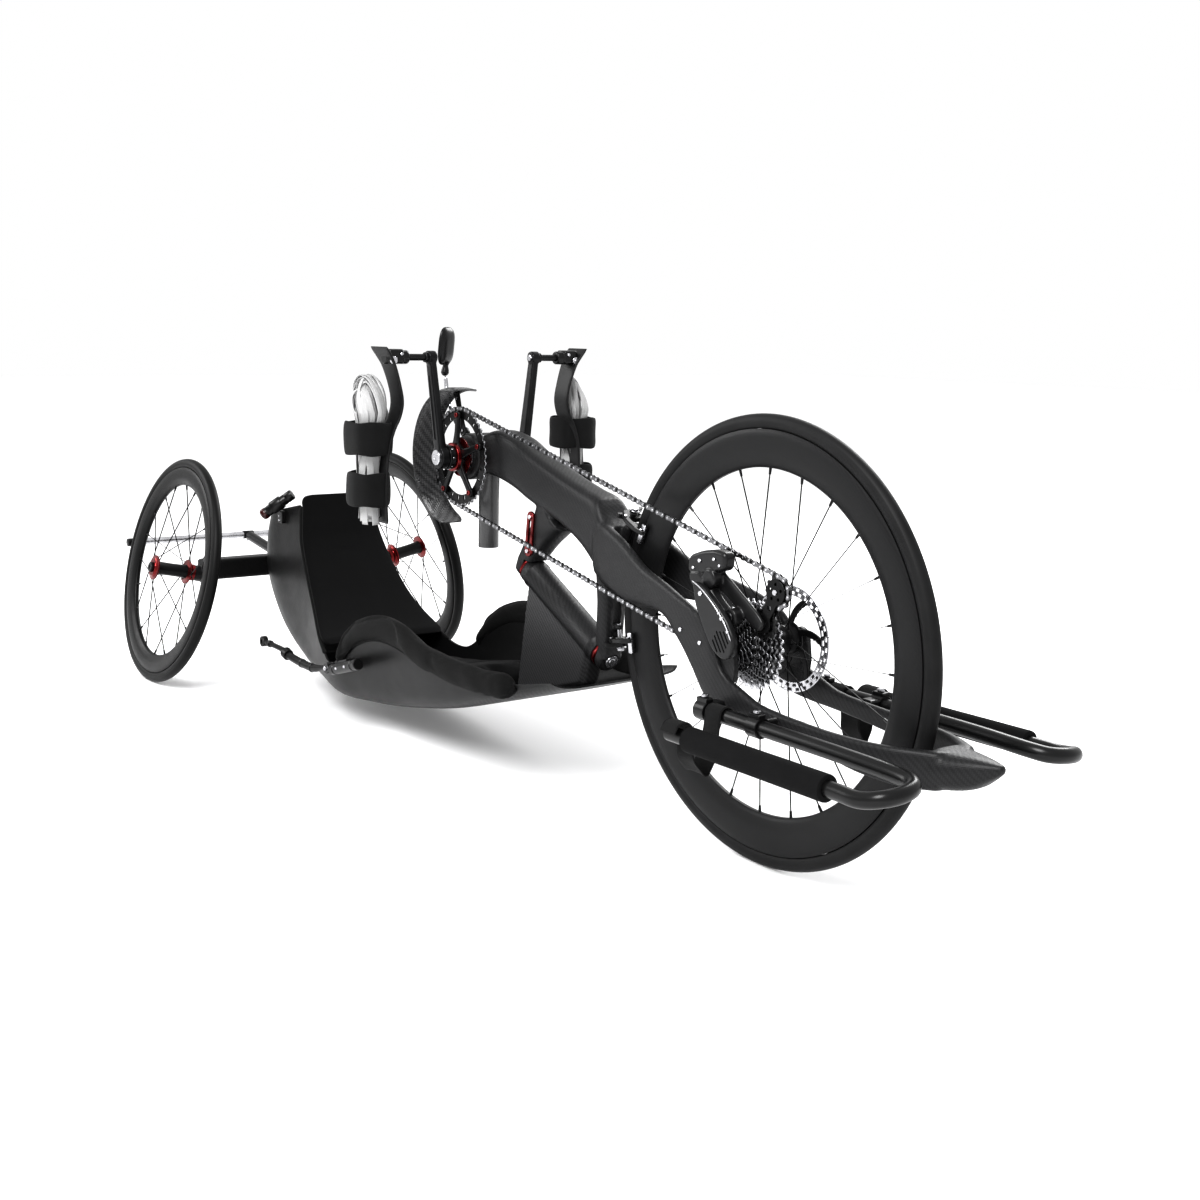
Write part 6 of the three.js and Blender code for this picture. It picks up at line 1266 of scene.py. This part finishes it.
def chainLine():  # straight spans between tangent points, arcs round each stop
    spans = []
    for (a, ra, ta), (b, rb, tb) in zip(stops, stops[1:] + stops[:1]):
        gap = b - a
        heading = math.atan2(gap[2], gap[0]) - math.asin((ta * ra - tb * rb) / np.linalg.norm(gap))
        left = np.array([-math.sin(heading), 0, math.cos(heading)])
        spans.append((heading, a + left * ta * ra, b + left * tb * rb))
    pieces = []
    for k, (middle, radius, turn) in enumerate(stops):
        before, after = spans[k - 1][0], spans[k][0]
        sweep = (turn * (before - after)) % (2 * math.pi)
        angle = before - turn * np.linspace(0, sweep, 200)
        pieces.append(middle + turn * radius * np.stack([-np.sin(angle), angle * 0, np.cos(angle)], -1))
        pieces.append(spans[k][1] + (spans[k][2] - spans[k][1]) * np.linspace(0, 1, 40)[1:-1, None])
    line = np.vstack(pieces)
    return np.vstack([line, line[:1]])


line = chainLine()
run = lengthAlong(line)
linkCount = 2 * round(run[-1] / drive["pitch"] / 2)
pinRun = np.arange(linkCount + 1) / linkCount * run[-1]
pinPlaces = np.stack([np.interp(pinRun, run, line[:, axis]) for axis in range(3)], -1)
pinPlaces[:, 1] = drive["plane"]
pitchNow = run[-1] / linkCount


# A link plate: two round ends about the pins and a waist between them.
def linkOutline(half, waist):
    a = np.linspace(-math.pi * 0.62, math.pi * 0.62, 6)
    right = np.stack([pitchNow / 2 + half * np.cos(a), half * np.sin(a)], -1)
    return np.vstack([right, [(0, waist)], -right, [(0, -waist)]])


def linkTurns(rows):
    way = unit(pinPlaces[rows + 1] - pinPlaces[rows])
    normal = np.stack([-way[:, 2], way[:, 1] * 0, way[:, 0]], -1)
    return np.stack([way, np.broadcast_to(acrossWay, way.shape), normal], -1)


def linkPlates(half, waist, y, rows):  # a plate at each side of the chain for every link in the rows
    pair = [plate(linkOutline(half, waist), low, low + 0.85, bevel=0.15) for low in (y, -y - 0.85)]
    return joined(pair).repeated((pinPlaces[rows] + pinPlaces[rows + 1]) / 2, linkTurns(rows))


outerRows, innerRows = np.arange(0, linkCount, 2), np.arange(1, linkCount, 2)
piece("chainOuterPlates", linkPlates(4.1, 2.5, 1.9, outerRows), chainSteel, "fork", ["chain"])
piece("chainInnerPlates", linkPlates(4.0, 2.6, 0.98, innerRows), darkSteel, "fork")
noPlace = (0, 0, 0)
piece("chainRollers", pin(noPlace, -1, 1, 3.85, 10, 0.2).repeated(pinPlaces[:-1]), chainSteel, "fork")
piece("chainPins", pin(noPlace, -3, 3, 1.8, 8, 0.2).repeated(pinPlaces[:-1]), brightSteel, "fork")
print("chain made:", linkCount, "links")

cassette = {"teeth": [11, 12, 13, 15, 17, 19, 21, 23, 25, 28, 32], "used": 4, "spacing": 3.95, "body": 17}
cogY = lambda index: drive["plane"] + (index - cassette["used"]) * cassette["spacing"]


def cogMask(count):  # large cogs are pierced between their arms
    def mask(radius, angle):
        share = ((angle + radius * 0.004) / (2 * math.pi) * 6) % 1
        return (radius > 24) & (radius < pitchRadius(count) - 8) & (np.abs(share - 0.5) < 0.34)
    return mask


cogForms = []
for k, count in enumerate(cassette["teeth"]):
    inner = cassette["body"] + (0.2 if k >= 5 else 0)
    mask = cogMask(count) if count > 15 else None
    edge = teeth(count, pitchRadius(count), 2.0, 3.4)
    cogForms.append(disc(inner, edge, 10, count * 8, rotorFlat, cogY(k), mask, 0.11 * k))
piece("cassetteCogs", joined(cogForms[:-1]), cogSteel, "cassette", ["cassette"], wall=1.7, sharp=30)
piece("cassetteLargeCog", cogForms[-1], brightSteel, "cassette", wall=1.8, sharp=30)
bodyProfile = [(8, -20.6), (16.8, -20.6), (16.8, cogY(0) + 1.2), (13.5, cogY(0) - 0.6), (13.5, cogY(0) - 2.2),
               (12.5, cogY(0) - 2.7), (8, cogY(0) - 2.7)]
bodyForm = turned(bodyProfile, frontCentre, acrossWay, 48, closed=True)
piece("cassetteBody", bodyForm, darkSteel, "cassette")
spacerProfile = [(16.9, 1.0), (19, 1.0), (19, 2.9), (16.9, 2.9)]
spacers = []
for k in range(len(cassette["teeth"]) - 1):
    profile = [(radius, cogY(k) + off) for radius, off in spacerProfile]
    spacers.append(turned(profile, frontCentre, acrossWay, 40, closed=True))
piece("cassetteSpacers", joined(spacers), blackAlloy, "cassette")
print("cassette made")

# The gear changer: a head box, arms, a grooved outer plate, and a cage with its two pulleys.
changer = {"outer": -92, "plateIn": -80, "headOut": -76, "headIn": -54, "cageOut": 3.4, "plate": 1.8}
grooves = {"middle": (6.0, changer["outer"], 345), "across": (0.83, 0, 0.55), "along": (0.55, 0, -0.83), "step": 7}


def sidePlate(outline, low, high, bevel, corner):  # an outline seen from the side, given its thickness
    return plate(roundedCorners(outline, corner, 5), low, high, bevel=bevel)


headBox = sidePlate([(-92, 430), (-90, 456), (-60, 467), (-30, 472), (-6, 469), (-8, 444), (-50, 434)],
                    changer["headOut"], changer["headIn"], 3.5, 9)
armLow = sidePlate([(-88, 434), (-60, 436), (-26, 404), (2, 384), (14, 372), (4, 362), (-12, 368), (-50, 398),
                    (-84, 416)], changer["headOut"] - 2, changer["headIn"] - 6, 3, 9)
knuckle = pin((8, 0, 379), -77.5, -62, 13, 40, 1.6) + pin((-40, 0, 428), -79, -54, 14.3, 40, 2)
innerArm = sidePlate([(-48, 440), (-36, 444), (50, 388), (62, 376), (54, 364), (42, 366), (-40, 416)],
                     -62, -54.6, 2, 7)
bodyForm = headBox + armLow + knuckle + innerArm
fused("changerBody", bodyForm, 1.5, changerPlastic, "fork", ["gear_changer"], (), 3)
outerPlate = sidePlate([(-62, 424), (-40, 420), (-8, 398), (18, 376), (34, 352), (30, 326), (8, 318), (-14, 330),
                        (-34, 356), (-54, 390)], changer["outer"], changer["plateIn"], 2.6, 9)
grooveMiddle, grooveStep = np.array(grooves["middle"]), np.array(grooves["across"])
grooveCuts = joined([slab(grooveMiddle + grooveStep * off, (3.0, 34 - abs(off), 6), 0.3, 1.4, grooves["across"],
                          unit(grooves["along"])) for off in np.arange(-2, 3) * grooves["step"]])
fused("changerPlate", outerPlate, 1.3, changerPlastic, "fork", (), [grooveCuts], 2)
trimPlaces = ((-60, 0.4, 424), (-38, 0.8, 415), (-8, 0.8, 394), (15, 0.8, 372), (29, 0.4, 350))
rimLine = curve([(x, changer["outer"] - proud, z) for x, proud, z in trimPlaces], 40)
piece("changerTrim", swept(rimLine, (1.1, 0.7), acrossWay, 2, 12, 2.0), silverAlloy, "fork")
boltRows = ((8, -91.5, 379, 3.6), (-40, -91.5, 408, 4.2), (-62, -76, 452, 3.4), (-30, -76, 458, 3.0),
            (22, -91.6, 362, 3.0), (-76, -76, 440, 2.6), (-18, -75.6, 450, 2.6), (2, -91.6, 386, 2.6))
changerBolts = joined([pin((x, 0, z), y, y - 2.6, radius, 6) for x, y, z, radius in boltRows])
piece("changerBolts", changerBolts, brightSteel, "fork")
piece("hangerBolt", pin((8, 0, 379), -76, -80.5, 8, 32, 1.0), darkSteel, "fork")


def cagePlate(low, high):  # a bar between the pulleys with a round head at each end
    way = unit(tensionAt - guideAt)
    long = np.linalg.norm(tensionAt - guideAt)
    angle = np.linspace(-2.5, 2.5, 40)
    big = np.stack([long + 19 * np.cos(angle), 19 * np.sin(angle)], -1)
    small = np.stack([-14 * np.cos(angle), -14 * np.sin(angle)], -1)
    return plate(np.vstack([big, small]), low, high, guideAt, way, np.array([-way[2], 0, way[0]]), 0.5)


cageHoles = [pin(tensionAt + radial(a, 11.5), -60, -40, 2.6, 20, 0.1) for a in np.arange(5) * 2 * math.pi / 5 + 0.3]
cageHoles.append(pin((guideAt + tensionAt) / 2, -60, -40, 4, 24, 0.1))
inner, outer = changer["cageOut"], changer["cageOut"] + changer["plate"]
cage = bare("cagePlates", cagePlate(drive["plane"] - outer, drive["plane"] - inner)
            + cagePlate(drive["plane"] + inner, drive["plane"] + outer))
finished(carved(cage, [joined(cageHoles)]), blackAlloy, "fork", ["changer_cage"], 30)
cagePins = joined([pin(at + [0, drive["plane"], 0], *row) for at in (guideAt, tensionAt)
                   for row in ((6.4, -6.4, 3.4, 20, 0.3), (-5, -7.2, 4.6, 6, 0.5))])
piece("cagePins", cagePins, brightSteel, "fork")


def pulleyMask(radius, angle):  # five openings between the pulley's arms
    return (radius > 10.5) & (radius < 16.5) & (np.abs((angle / (2 * math.pi) * 5) % 1 - 0.5) < 0.28)


for name, at in (("guide", guideAt), ("tension", tensionAt)):
    edge, cells = teeth(drive["pulley"], pulleyRadius, 2.2, 3.2), drive["pulley"] * 12
    form = disc(3.9, edge, 12, cells, (at[0], at[2]), drive["plane"], pulleyMask)
    node = f"{name}_pulley"
    piece(f"{name}Pulley", form, blackPlastic, node, [node], wall=2.3, bevel=0.2)
print("gear changer made")

# The chain guard is a half hoop with a hood over the top.
guard = {"radius": 128, "wall": 2.6, "low": -80, "high": -25, "from": 78, "to": 259, "arms": (110, 205)}
at = np.radians(np.linspace(guard["from"], guard["to"], 110))
fromEnd = np.minimum(at - at[0], at[-1] - at) * guard["radius"]
tip = roundedEnd(fromEnd / 24, 0)
across = np.linspace(-1, 1, 17)
width = (guard["high"] - guard["low"]) / 2 * (0.78 + 0.22 * tip)
yAt = (guard["high"] + guard["low"]) / 2 + across[None] * width[:, None]
sag = guard["wall"] / 2 + 5.5 * across[None] ** 4 * tip[:, None]
radius = guard["radius"] - sag
guardX, guardZ = radius * np.cos(at)[:, None], radius * np.sin(at)[:, None]
guardGrid = np.stack([crankMiddle[0] + guardX, yAt, crankMiddle[2] + guardZ], -1)
piece("chainGuardHoop", surface(guardGrid), guardCarbon, "fork", ["chain_guard"], wall=guard["wall"] - 0.3,
      bevel=0.5)
arms = []
guardWays = [radial(math.radians(degrees)) for degrees in guard["arms"]]
for way in guardWays:
    line = crankMiddle + way * np.array([43.6, 60, 90, 118, 125.5])[:, None] + np.array([0, -31.7, 0])
    arms.append(loft(rings(line, np.cross(way, acrossWay), acrossWay, np.array([11, 8, 7, 9, 10.5]), 1.4, 5, 28)))
piece("guardArms", joined(arms), blackAlloy, "fork")
guardScrews = joined([pin(crankMiddle + way * far, -33, -35, 3, 6, 0.4) for way in guardWays for far in (50, 112)])
piece("guardScrews", guardScrews, brightSteel, "fork")

pad = {"gap": 2, "height": 11, "length": 34, "thickness": 8, "elbow": 31.5, "armThickness": 8}
for name in brake["sites"]:
    out, along, way = brakeFrame(name)
    pivot = frontCentre + out * brake["pivot"]
    for sideName, side in sides:
        padFace = wheel["rimWidth"] / 2 + pad["gap"]
        padBack, drop, elbow = padFace + pad["thickness"], brake["pad"] - brake["pivot"], pad["elbow"]
        arm = f"{name}_brake_arm_{sideName}"
        corners = [(-9, 0), (-24, 8), (-24, 14), (0, 9), (elbow * 0.6, 6.3), (elbow, drop * 0.35),
                   (elbow, drop * 0.8), (padBack + 2, drop - 5.5), (padBack - 2, drop - 5.5),
                   (padBack - 2, drop + 5.5), (elbow - 9, drop * 0.35), (elbow * 0.45, -9), (0, -9)]
        shift = 0.15 if side > 0 else -8.15
        sense = 1 if np.cross(out, acrossWay) @ along > 0 else -1  # the plate's own thickness way against along
        low, high = sorted((sense * shift, sense * (shift + pad["armThickness"])))
        base = plate(roundedCorners([(side * a, r) for a, r in corners], 4, 5), low, high, pivot, acrossWay, out, 1.1)
        solid = carved(bare(f"{name}BrakeArm_{sideName}", base), [pin(pivot, -20, 20, 3.9, 28, 0.1, along)])
        finished(solid, blackPlastic, arm, [arm], 30)
        holderMiddle = pivot + acrossWay * side * (padFace + 5.5) + out * drop
        padHolder = slab(holderMiddle, (pad["length"], pad["height"] - 1.6, 3.6), 0.6, 3, along, out)
        piece(f"{name}PadHolder_{sideName}", padHolder, silverAlloy, arm)
        padMiddle = pivot + acrossWay * side * (padFace + 2.0) + out * drop
        blocks = [slab(padMiddle + along * step * 8.2, (6.8, pad["height"], 4.0), 0.5, 1.5, along, out)
                  for step in (-1.5, -0.5, 0.5, 1.5)]
        backingSize = (pad["length"] - 1, pad["height"] - 2, 2.2)
        backing = slab(padMiddle + acrossWay * side * 0.8, backingSize, 0.3, 1.5, along, out)
        piece(f"{name}PadRubber_{sideName}", joined([*blocks, backing]), foamRubber, arm)
        face, proud = (shift + pad["armThickness"], 2.2) if side > 0 else (shift, -2.2)
        bolts = joined([pin(pivot + acrossWay * side * far + out * rise, face, face + proud, 2.8, 6, 0.5, along)
                        for far, rise in ((24.5, drop), (26, -12))])
        piece(f"{name}ArmBolts_{sideName}", bolts, brightSteel, arm)
print("guard and brakes made")

grip = {"drop": 296, "out": 209, "width": 45, "thickness": 5.6, "blockFrom": 160, "blockTo": 207}
# rise over the drop, out over the whole reach, width over the plain width
gripShares = np.array([[0.061, 1.029, 1.333], [0.007, 0.976, 1.244], [-0.047, 0.933, 1.111], [-0.169, 0.876, 1],
                       [-0.27, 0.852, 1], [-0.355, 0.876, 1], [-0.439, 0.933, 1], [-0.557, 0.981, 1],
                       [-0.726, 1, 0.933], [-0.878, 1, 0.889], [-1, 0.986, 0.8]])
wrap = {"drop": 304, "half": 46, "out": 227, "back": 27}
tipMiddle = crankMiddle + [0, 0, crankArm["length"]]


# A band is a flat ring of cloth round the bundle: its outline waves a little, its overlap lies proud at one side.
def bandForm(centre, halfAlong, halfAcross, low, high, side, phase):
    angle = np.linspace(0, 2 * math.pi, 96, endpoint=False)
    height = np.linspace(0, 1, 13)[:, None]
    wobble = 1 + 0.018 * np.sin(angle * 3 + phase) + 0.012 * np.sin(angle * 7 + phase * 2)
    wobble = wobble + 0.015 * np.sin(height * 5 + angle * 2 + phase)
    wobble = wobble - 0.05 * np.abs(height * 2 - 1) ** 6
    lap = 1 + 0.045 / (1 + np.exp(-(np.cos(angle - 4.2) - 0.55) * 24))
    edge = np.where(height > 0.5, 1.0, -1.0) * np.abs(height * 2 - 1) ** 4 * 1.3 * np.sin(angle * 4 + phase)
    x = centre[0] + halfAlong * bent(np.cos(angle), 0.8) * wobble * lap
    y = centre[1] + side * halfAcross * bent(np.sin(angle), 0.8) * wobble * lap
    z = centre[2] + low + (high - low) * height + edge
    return np.stack([x, y, z + 0 * x], -1)


for sideName, side in sides:
    t = np.linspace(gripShares[0, 0], gripShares[-1, 0], 74)
    rows = through(-gripShares[:, 0], gripShares, -t)
    out, wide = rows[:, 1] * grip["out"], rows[:, 2] * grip["width"]
    z = tipMiddle[2] + t * grip["drop"]
    line = np.stack([np.full_like(z, tipMiddle[0] - 3), side * out, z], -1)
    along = unit(np.gradient(line, axis=0))
    over = unit(np.cross(along, (1, 0, 0)))
    thick = grip["thickness"] / 2 * roundedEnd(np.minimum(t[0] - t, t - t[-1]) / 0.02, 0.05)
    cup = loft(rings(line, (1, 0, 0), over, wide / 2, thick, 5, 40))
    body = f"grip_{sideName}"
    piece(f"gripBlade_{sideName}", cup, gripPlastic, body, [f"grip_blade_{sideName}"], sharp=60)
    block = pin(tipMiddle, side * grip["blockFrom"], side * grip["blockTo"], 12.4, 44, 1.2)
    ears = slab(tipMiddle + [0, side * 188, 1.5], (30, 26, 28), 1.6, 5)
    neck = slab(tipMiddle + [-1, side * 171, 0], (24, 22, 16), 1.4, 4)
    fused(f"gripClamp_{sideName}", block + ears + neck, 1.5, blackPlastic, body, (),
          [pin(tipMiddle, side * 100, side * 191.6, 6.4, 32, 0.1)], 2)
    # across, up, from, to, radius, corners, chamfer
    rows = ((180, 6, 15.2, 19.5, 3.2, 6, 0.7), (196, -5, 15.2, 19.5, 7.0, 28, 0.7),
            (196, -5, 19.4, 20.2, 3.4, 6, 0.2))
    clampBolts = joined([pin(tipMiddle + [0, side * y, z], *row, (1, 0, 0)) for y, z, *row in rows])
    piece(f"gripClampBolts_{sideName}", clampBolts, brightSteel, body)

    centre = np.array([tipMiddle[0] - wrap["back"], side * wrap["out"], tipMiddle[2]])
    bands = [(-0.378, -0.572, 0.98, 0.955, 0.4), (-0.676, -0.874, 0.885, 0.845, 1.9)]
    for number, (high, low, alongShare, acrossShare, phase) in enumerate(bands):
        grid = bandForm(centre, wrap["half"] * alongShare, wrap["half"] * acrossShare * 0.86, low * wrap["drop"],
                        high * wrap["drop"], side, phase)
        grid[..., 1] -= side * 4
        replaced = [f"hand_wrap_{sideName}"] if number == 0 else ()
        band = piece(f"wrapBand{number}_{sideName}", surface(grid, roundColumns=True), strapCloth, body, replaced,
                     sharp=180, wall=3.0, subdivide=1)
    # The laces: flat tapes folded up into a loop above the bands and hanging loose below them.
    seeds = np.random.default_rng(7 if side < 0 else 8)
    tapes = []
    for k in range(11):
        a = 2 * math.pi * k / 11
        spread = np.array([math.cos(a), math.sin(a)])
        wave = seeds.uniform(-1, 1, (8, 2))
        bottom = -0.93 - 0.055 * seeds.random()
        height, reach = np.array([(bottom, 0.42), (-0.88, 0.46), (-0.78, 0.5), (-0.67, 0.5), (-0.57, 0.52),
                                  (-0.46, 0.56), (-0.38, 0.5)]).T
        points = np.stack([centre[0] + wrap["half"] * reach * spread[0] * 1.05 + 2.2 * wave[:7, 0],
                           centre[1] - side * 6 + wrap["half"] * reach * spread[1] * 0.8 + 2.2 * wave[:7, 1],
                           centre[2] + height * wrap["drop"]], -1)
        facing = np.array([*spread, 0.0])
        tape = curve(points, 40)
        up = unit(np.gradient(tape, axis=0))
        across = unit(np.cross(up, facing))
        tapes.append(loft(rings(tape, across, np.cross(across, up), 6.6, 1.1, 3, 14)))
    for k in range(15):  # loops folded over the top, each leaning its own way
        a = math.pi * (k / 15) + 0.35
        spread = np.array([math.cos(a), math.sin(a)])
        reach, top = 26 + 15 * seeds.random(), -0.1 - 0.1 * seeds.random()
        lean = seeds.uniform(-1, 1, 2) * 7 + [-9, -3]
        turn = np.linspace(-0.35, math.pi + 0.35, 13)
        wide = reach * np.cos(turn)
        rise = np.sin(turn)
        low = -0.385 * wrap["drop"]
        height = low + (top * wrap["drop"] - low) * (0.42 + 0.58 * rise)
        loopX = centre[0] + wide * spread[0] + lean[0] * rise
        loopY = centre[1] - side * 6 + wide * spread[1] * 0.74 + lean[1] * rise
        loopPoints = np.stack([loopX, loopY, centre[2] + height], -1)
        ends = loopPoints[[0, -1]] * [1, 1, 0] + [0, 0, centre[2] - 0.45 * wrap["drop"]]
        ends[:, :2] = centre[:2] + (ends[:, :2] - centre[:2]) * 0.7
        tape = curve(np.vstack([ends[0], loopPoints, ends[1]]), 60)
        up = unit(np.gradient(tape, axis=0))
        flatWay = np.array([-spread[1], spread[0], 0.0])
        tapes.append(loft(rings(tape, flatWay, np.cross(flatWay, up), 4.4, 1.1, 3, 14)))
    piece(f"wrapLaces_{sideName}", joined(tapes), laceCloth, body, sharp=180)
print("grips and wraps made")

rest = {"radius": 11, "inner": 119, "outer": 192, "high": 250, "low": 230, "tip": 419, "clamps": (9, 119),
        "clampLength": 22, "clampHeight": 20}
# ahead over the tip, out from the inner to the outer tube, fall from the high to the low tube
restShares = np.array([[-0.024, 0, 0], [0.274, 0, 0], [0.686, 0, 0.05], [0.914, 0, 0.2], [0.979, 0.137, 0.35],
                       [1, 0.5, 0.5], [0.979, 0.863, 0.7], [0.914, 1, 1], [0.823, 1, 1], [0.548, 1, 1],
                       [0.036, 1, 1]])
sleeve = {"radius": 18, "back": 62, "front": 330}
sling = {"radius": 13.3, "thickness": 2, "width": 34, "at": 38, "drop": 172}
bladeFace = blade["stance"] + blade["thickness"] / 2 + 0.3
for sideName, side in sides:
    ahead, across, fall = restShares.T
    tubeY = rest["inner"] + across * (rest["outer"] - rest["inner"])
    points = np.stack([ahead * rest["tip"], side * tubeY, rest["high"] - fall * (rest["high"] - rest["low"])], -1)
    tubeForm = swept(curve(points, 200), rest["radius"] - 0.1, (0, 0, 1), 2, 28, 1.2)
    piece(f"footRest_{sideName}", tubeForm, blackPlastic, "fork", [f"foot_rest_{sideName}"], sharp=60)
    parts, screws = [], []
    for x in rest["clamps"]:
        armY = side * (bladeFace + rest["inner"]) / 2 + side * 3
        armSize = (rest["clampLength"], rest["clampHeight"] + 2, rest["inner"] - bladeFace - 6)
        earMiddle = (x, side * (rest["inner"] + 1), rest["high"] + 15.5)
        clampProfile = mirrored([(11.2, -11), (14, -11), (14.8, -10.2)])
        parts += [slab((x, armY, rest["high"]), armSize, 1.2, 4),
                  turned(clampProfile, (x, side * rest["inner"], rest["high"]), (1, 0, 0), 44, closed=True),
                  slab(earMiddle, (rest["clampLength"], 7, 13), 0.8, 2)]
        for out, *row in ((1, 19, 23.6, 5.4, 26, 1.2), (-14, -11.6, -14.5, 3.4, 6, 0.5)):
            screws.append(pin((x, side * (rest["inner"] + out), rest["high"]), *row, (0, 0, 1)))
    piece(f"restClamps_{sideName}", joined(parts), blackPlastic, "fork")
    piece(f"restScrews_{sideName}", joined(screws), brightSteel, "fork")
    sleeveLong = sleeve["front"] - sleeve["back"]
    sleeveProfile = [(11.3, 0), (16.2, 0), (17.6, 1), (18, 3), (18, 80), (17.8, 130), (18, 200), (18, sleeveLong - 3),
                     (17.6, sleeveLong - 1), (16.2, sleeveLong), (11.3, sleeveLong)]
    sleeveStart = (sleeve["back"], side * rest["outer"], rest["low"])
    sleeveForm = turned(sleeveProfile, sleeveStart, (1, 0, 0), 48, closed=True)
    piece(f"foamSleeve_{sideName}", sleeveForm, foamRubber, "fork", [f"foam_sleeve_{sideName}"])
    # The heel sling: a wide tape round the inner tube, hanging down and up round the sleeve, widest at its lowest.
    hoop = lambda y, z, radius, angles: [(y, z) + radial(math.radians(a), radius)[[0, 2]] for a in angles]
    across, rise = np.array([(0.233, 0.862), (0.315, 0.345), (0.5, 0), (0.685, 0.241), (0.775, 0.5)]).T
    hanging = list(zip(rest["inner"] + across * (rest["outer"] - rest["inner"]),
                       sling["drop"] + rise * (rest["low"] - sling["drop"])))
    route = np.array(hoop(rest["inner"], rest["high"], sling["radius"], (170, 130, 75, 30, -5)) + hanging
                     + hoop(rest["outer"], rest["low"], sleeve["radius"] + 2.1, (190, 150, 105, 60, 20)))
    slingLine = curve(np.stack([np.full(len(route), float(sling["at"])), side * route[:, 0], route[:, 1]], -1), 110)
    share = np.linspace(0, 1, 110)
    half = sling["width"] / 2 * (1 + 0.28 * np.exp(-((share - 0.5) / 0.16) ** 2))
    acrossShare = np.linspace(-1, 1, 15)
    slingUp = unit(np.cross(np.gradient(slingLine, axis=0), (1, 0, 0)))
    middleRise, sway = np.sin(share * math.pi)[:, None], 4 * np.sin(share * math.pi * 2)
    crown = 1.6 * middleRise * (1 - acrossShare[None] ** 2)
    crown = crown + 0.5 * np.sin(share * 60)[:, None] * (acrossShare[None] ** 2 > 0.7) * middleRise ** 2
    aheadWay = np.array([1.0, 0, 0])
    slingGrid = slingLine[:, None] + aheadWay * (half[:, None] * acrossShare + sway[:, None])[..., None]
    slingGrid = slingGrid + slingUp[:, None] * crown[..., None] * -side
    piece(f"heelSling_{sideName}", surface(slingGrid), strapCloth, "fork", [f"heel_sling_{sideName}"],
          sharp=180, wall=sling["thickness"], subdivide=1)
    seams = []
    for offset in (-0.86, 0.86):
        seamLine = slingLine + aheadWay * (half * offset + sway)[:, None]
        seamLine = seamLine - slingUp * side * (sling["thickness"] / 2 + 0.2)
        seams.append(swept(seamLine[4:-4], 0.45, (1, 0, 0), 2, 6))
    piece(f"slingStitching_{sideName}", joined(seams), strapCloth, "fork")
print("foot rests made")

# The mirror stands on a bent stalk.
stalk = {"radius": 4, "side": -20, "ball": 7.5, "start": 43.6, "root": 12, "back": 106, "rise": 152}
stalkWay = np.array([-0.596, 0, 0.803])
roots = [crankMiddle + stalkWay * d for d in (stalk["start"], stalk["start"] + stalk["root"])]
bendShares = ((0.575, 0.375), (0.802, 0.579), (0.934, 0.796), (0.983, 0.949))
bends = [crankMiddle + [-back * stalk["back"], 0, rise * stalk["rise"]] for back, rise in bendShares]
stalkLine = curve([p * [1, 0, 1] + [0, stalk["side"], 0] for p in roots + bends], 60)
stalkForm = swept(stalkLine, stalk["radius"] - 0.05, (0, 1, 0), 2, 24, 0.8)
piece("mirrorStalk", stalkForm, brightSteel, "fork", ["mirror_stalk"], sharp=60)
stalkCollar = turned(mirrored([(4.2, -5), (8, -5), (9, -4)]), stalkLine[4], stalkWay, 36, closed=True)
piece("stalkCollar", stalkCollar, blackPlastic, "fork")
mirror = {"halfWidth": 26, "halfHeight": 36, "depth": 12, "neck": 13}
mirrorPivot = crankMiddle + [-stalk["back"], stalk["side"], stalk["rise"]]
faceWay = unit(np.array([-0.86, -0.5, 0.1]))
sideWay = unit(np.cross((0, 0, 1), faceWay))
mirrorUp = np.cross(faceWay, sideWay)
mirrorMiddle = mirrorPivot + mirrorUp * (mirror["neck"] + mirror["halfHeight"])
t = np.array([0.05, 0, 0.04, 0.1, 0.15, 0.3, 0.5, 0.7, 0.85, 0.95, 1, 1])
size = np.array([0.86, 0.9, 0.95, 0.985, 1, 0.99, 0.95, 0.86, 0.72, 0.56, 0.4, 0.2])


# Rounded outlines behind each other, from the mirror's face backwards.
def mirrorRings(depth, size):
    middle = mirrorMiddle + faceWay * (mirror["depth"] * (0.5 - depth))[:, None]
    return rings(middle, sideWay, mirrorUp, mirror["halfWidth"] * size, mirror["halfHeight"] * size, 3.2, 64)


ballAngles = np.linspace(0.06, math.pi - 0.06, 16)
ballProfile = [(stalk["ball"] * math.sin(a), -stalk["ball"] * math.cos(a)) for a in ballAngles]
ball = turned(ballProfile, mirrorPivot, mirrorUp, 36)
neckProfile = [(3, 2), (7.4, 3), (6.4, 7), (5.2, 11), (5.4, 14), (7, 17), (8, 20), (3, 20)]
neckRod = turned(neckProfile, mirrorPivot, mirrorUp, 32)
shell = loft(mirrorRings(t, size)) + ball + neckRod
piece("mirrorShell", shell, blackPlastic, "mirror", ["mirror"], sharp=50, slot="mirror_plastic")
glass = mirrorRings(np.array([0.03, 0.005, 0.005, 0.03]), np.array([0.85, 0.85, 0.82, 0.3]))
piece("mirrorGlass", loft(glass), mirrorGlass, "mirror")
print("mirror made")
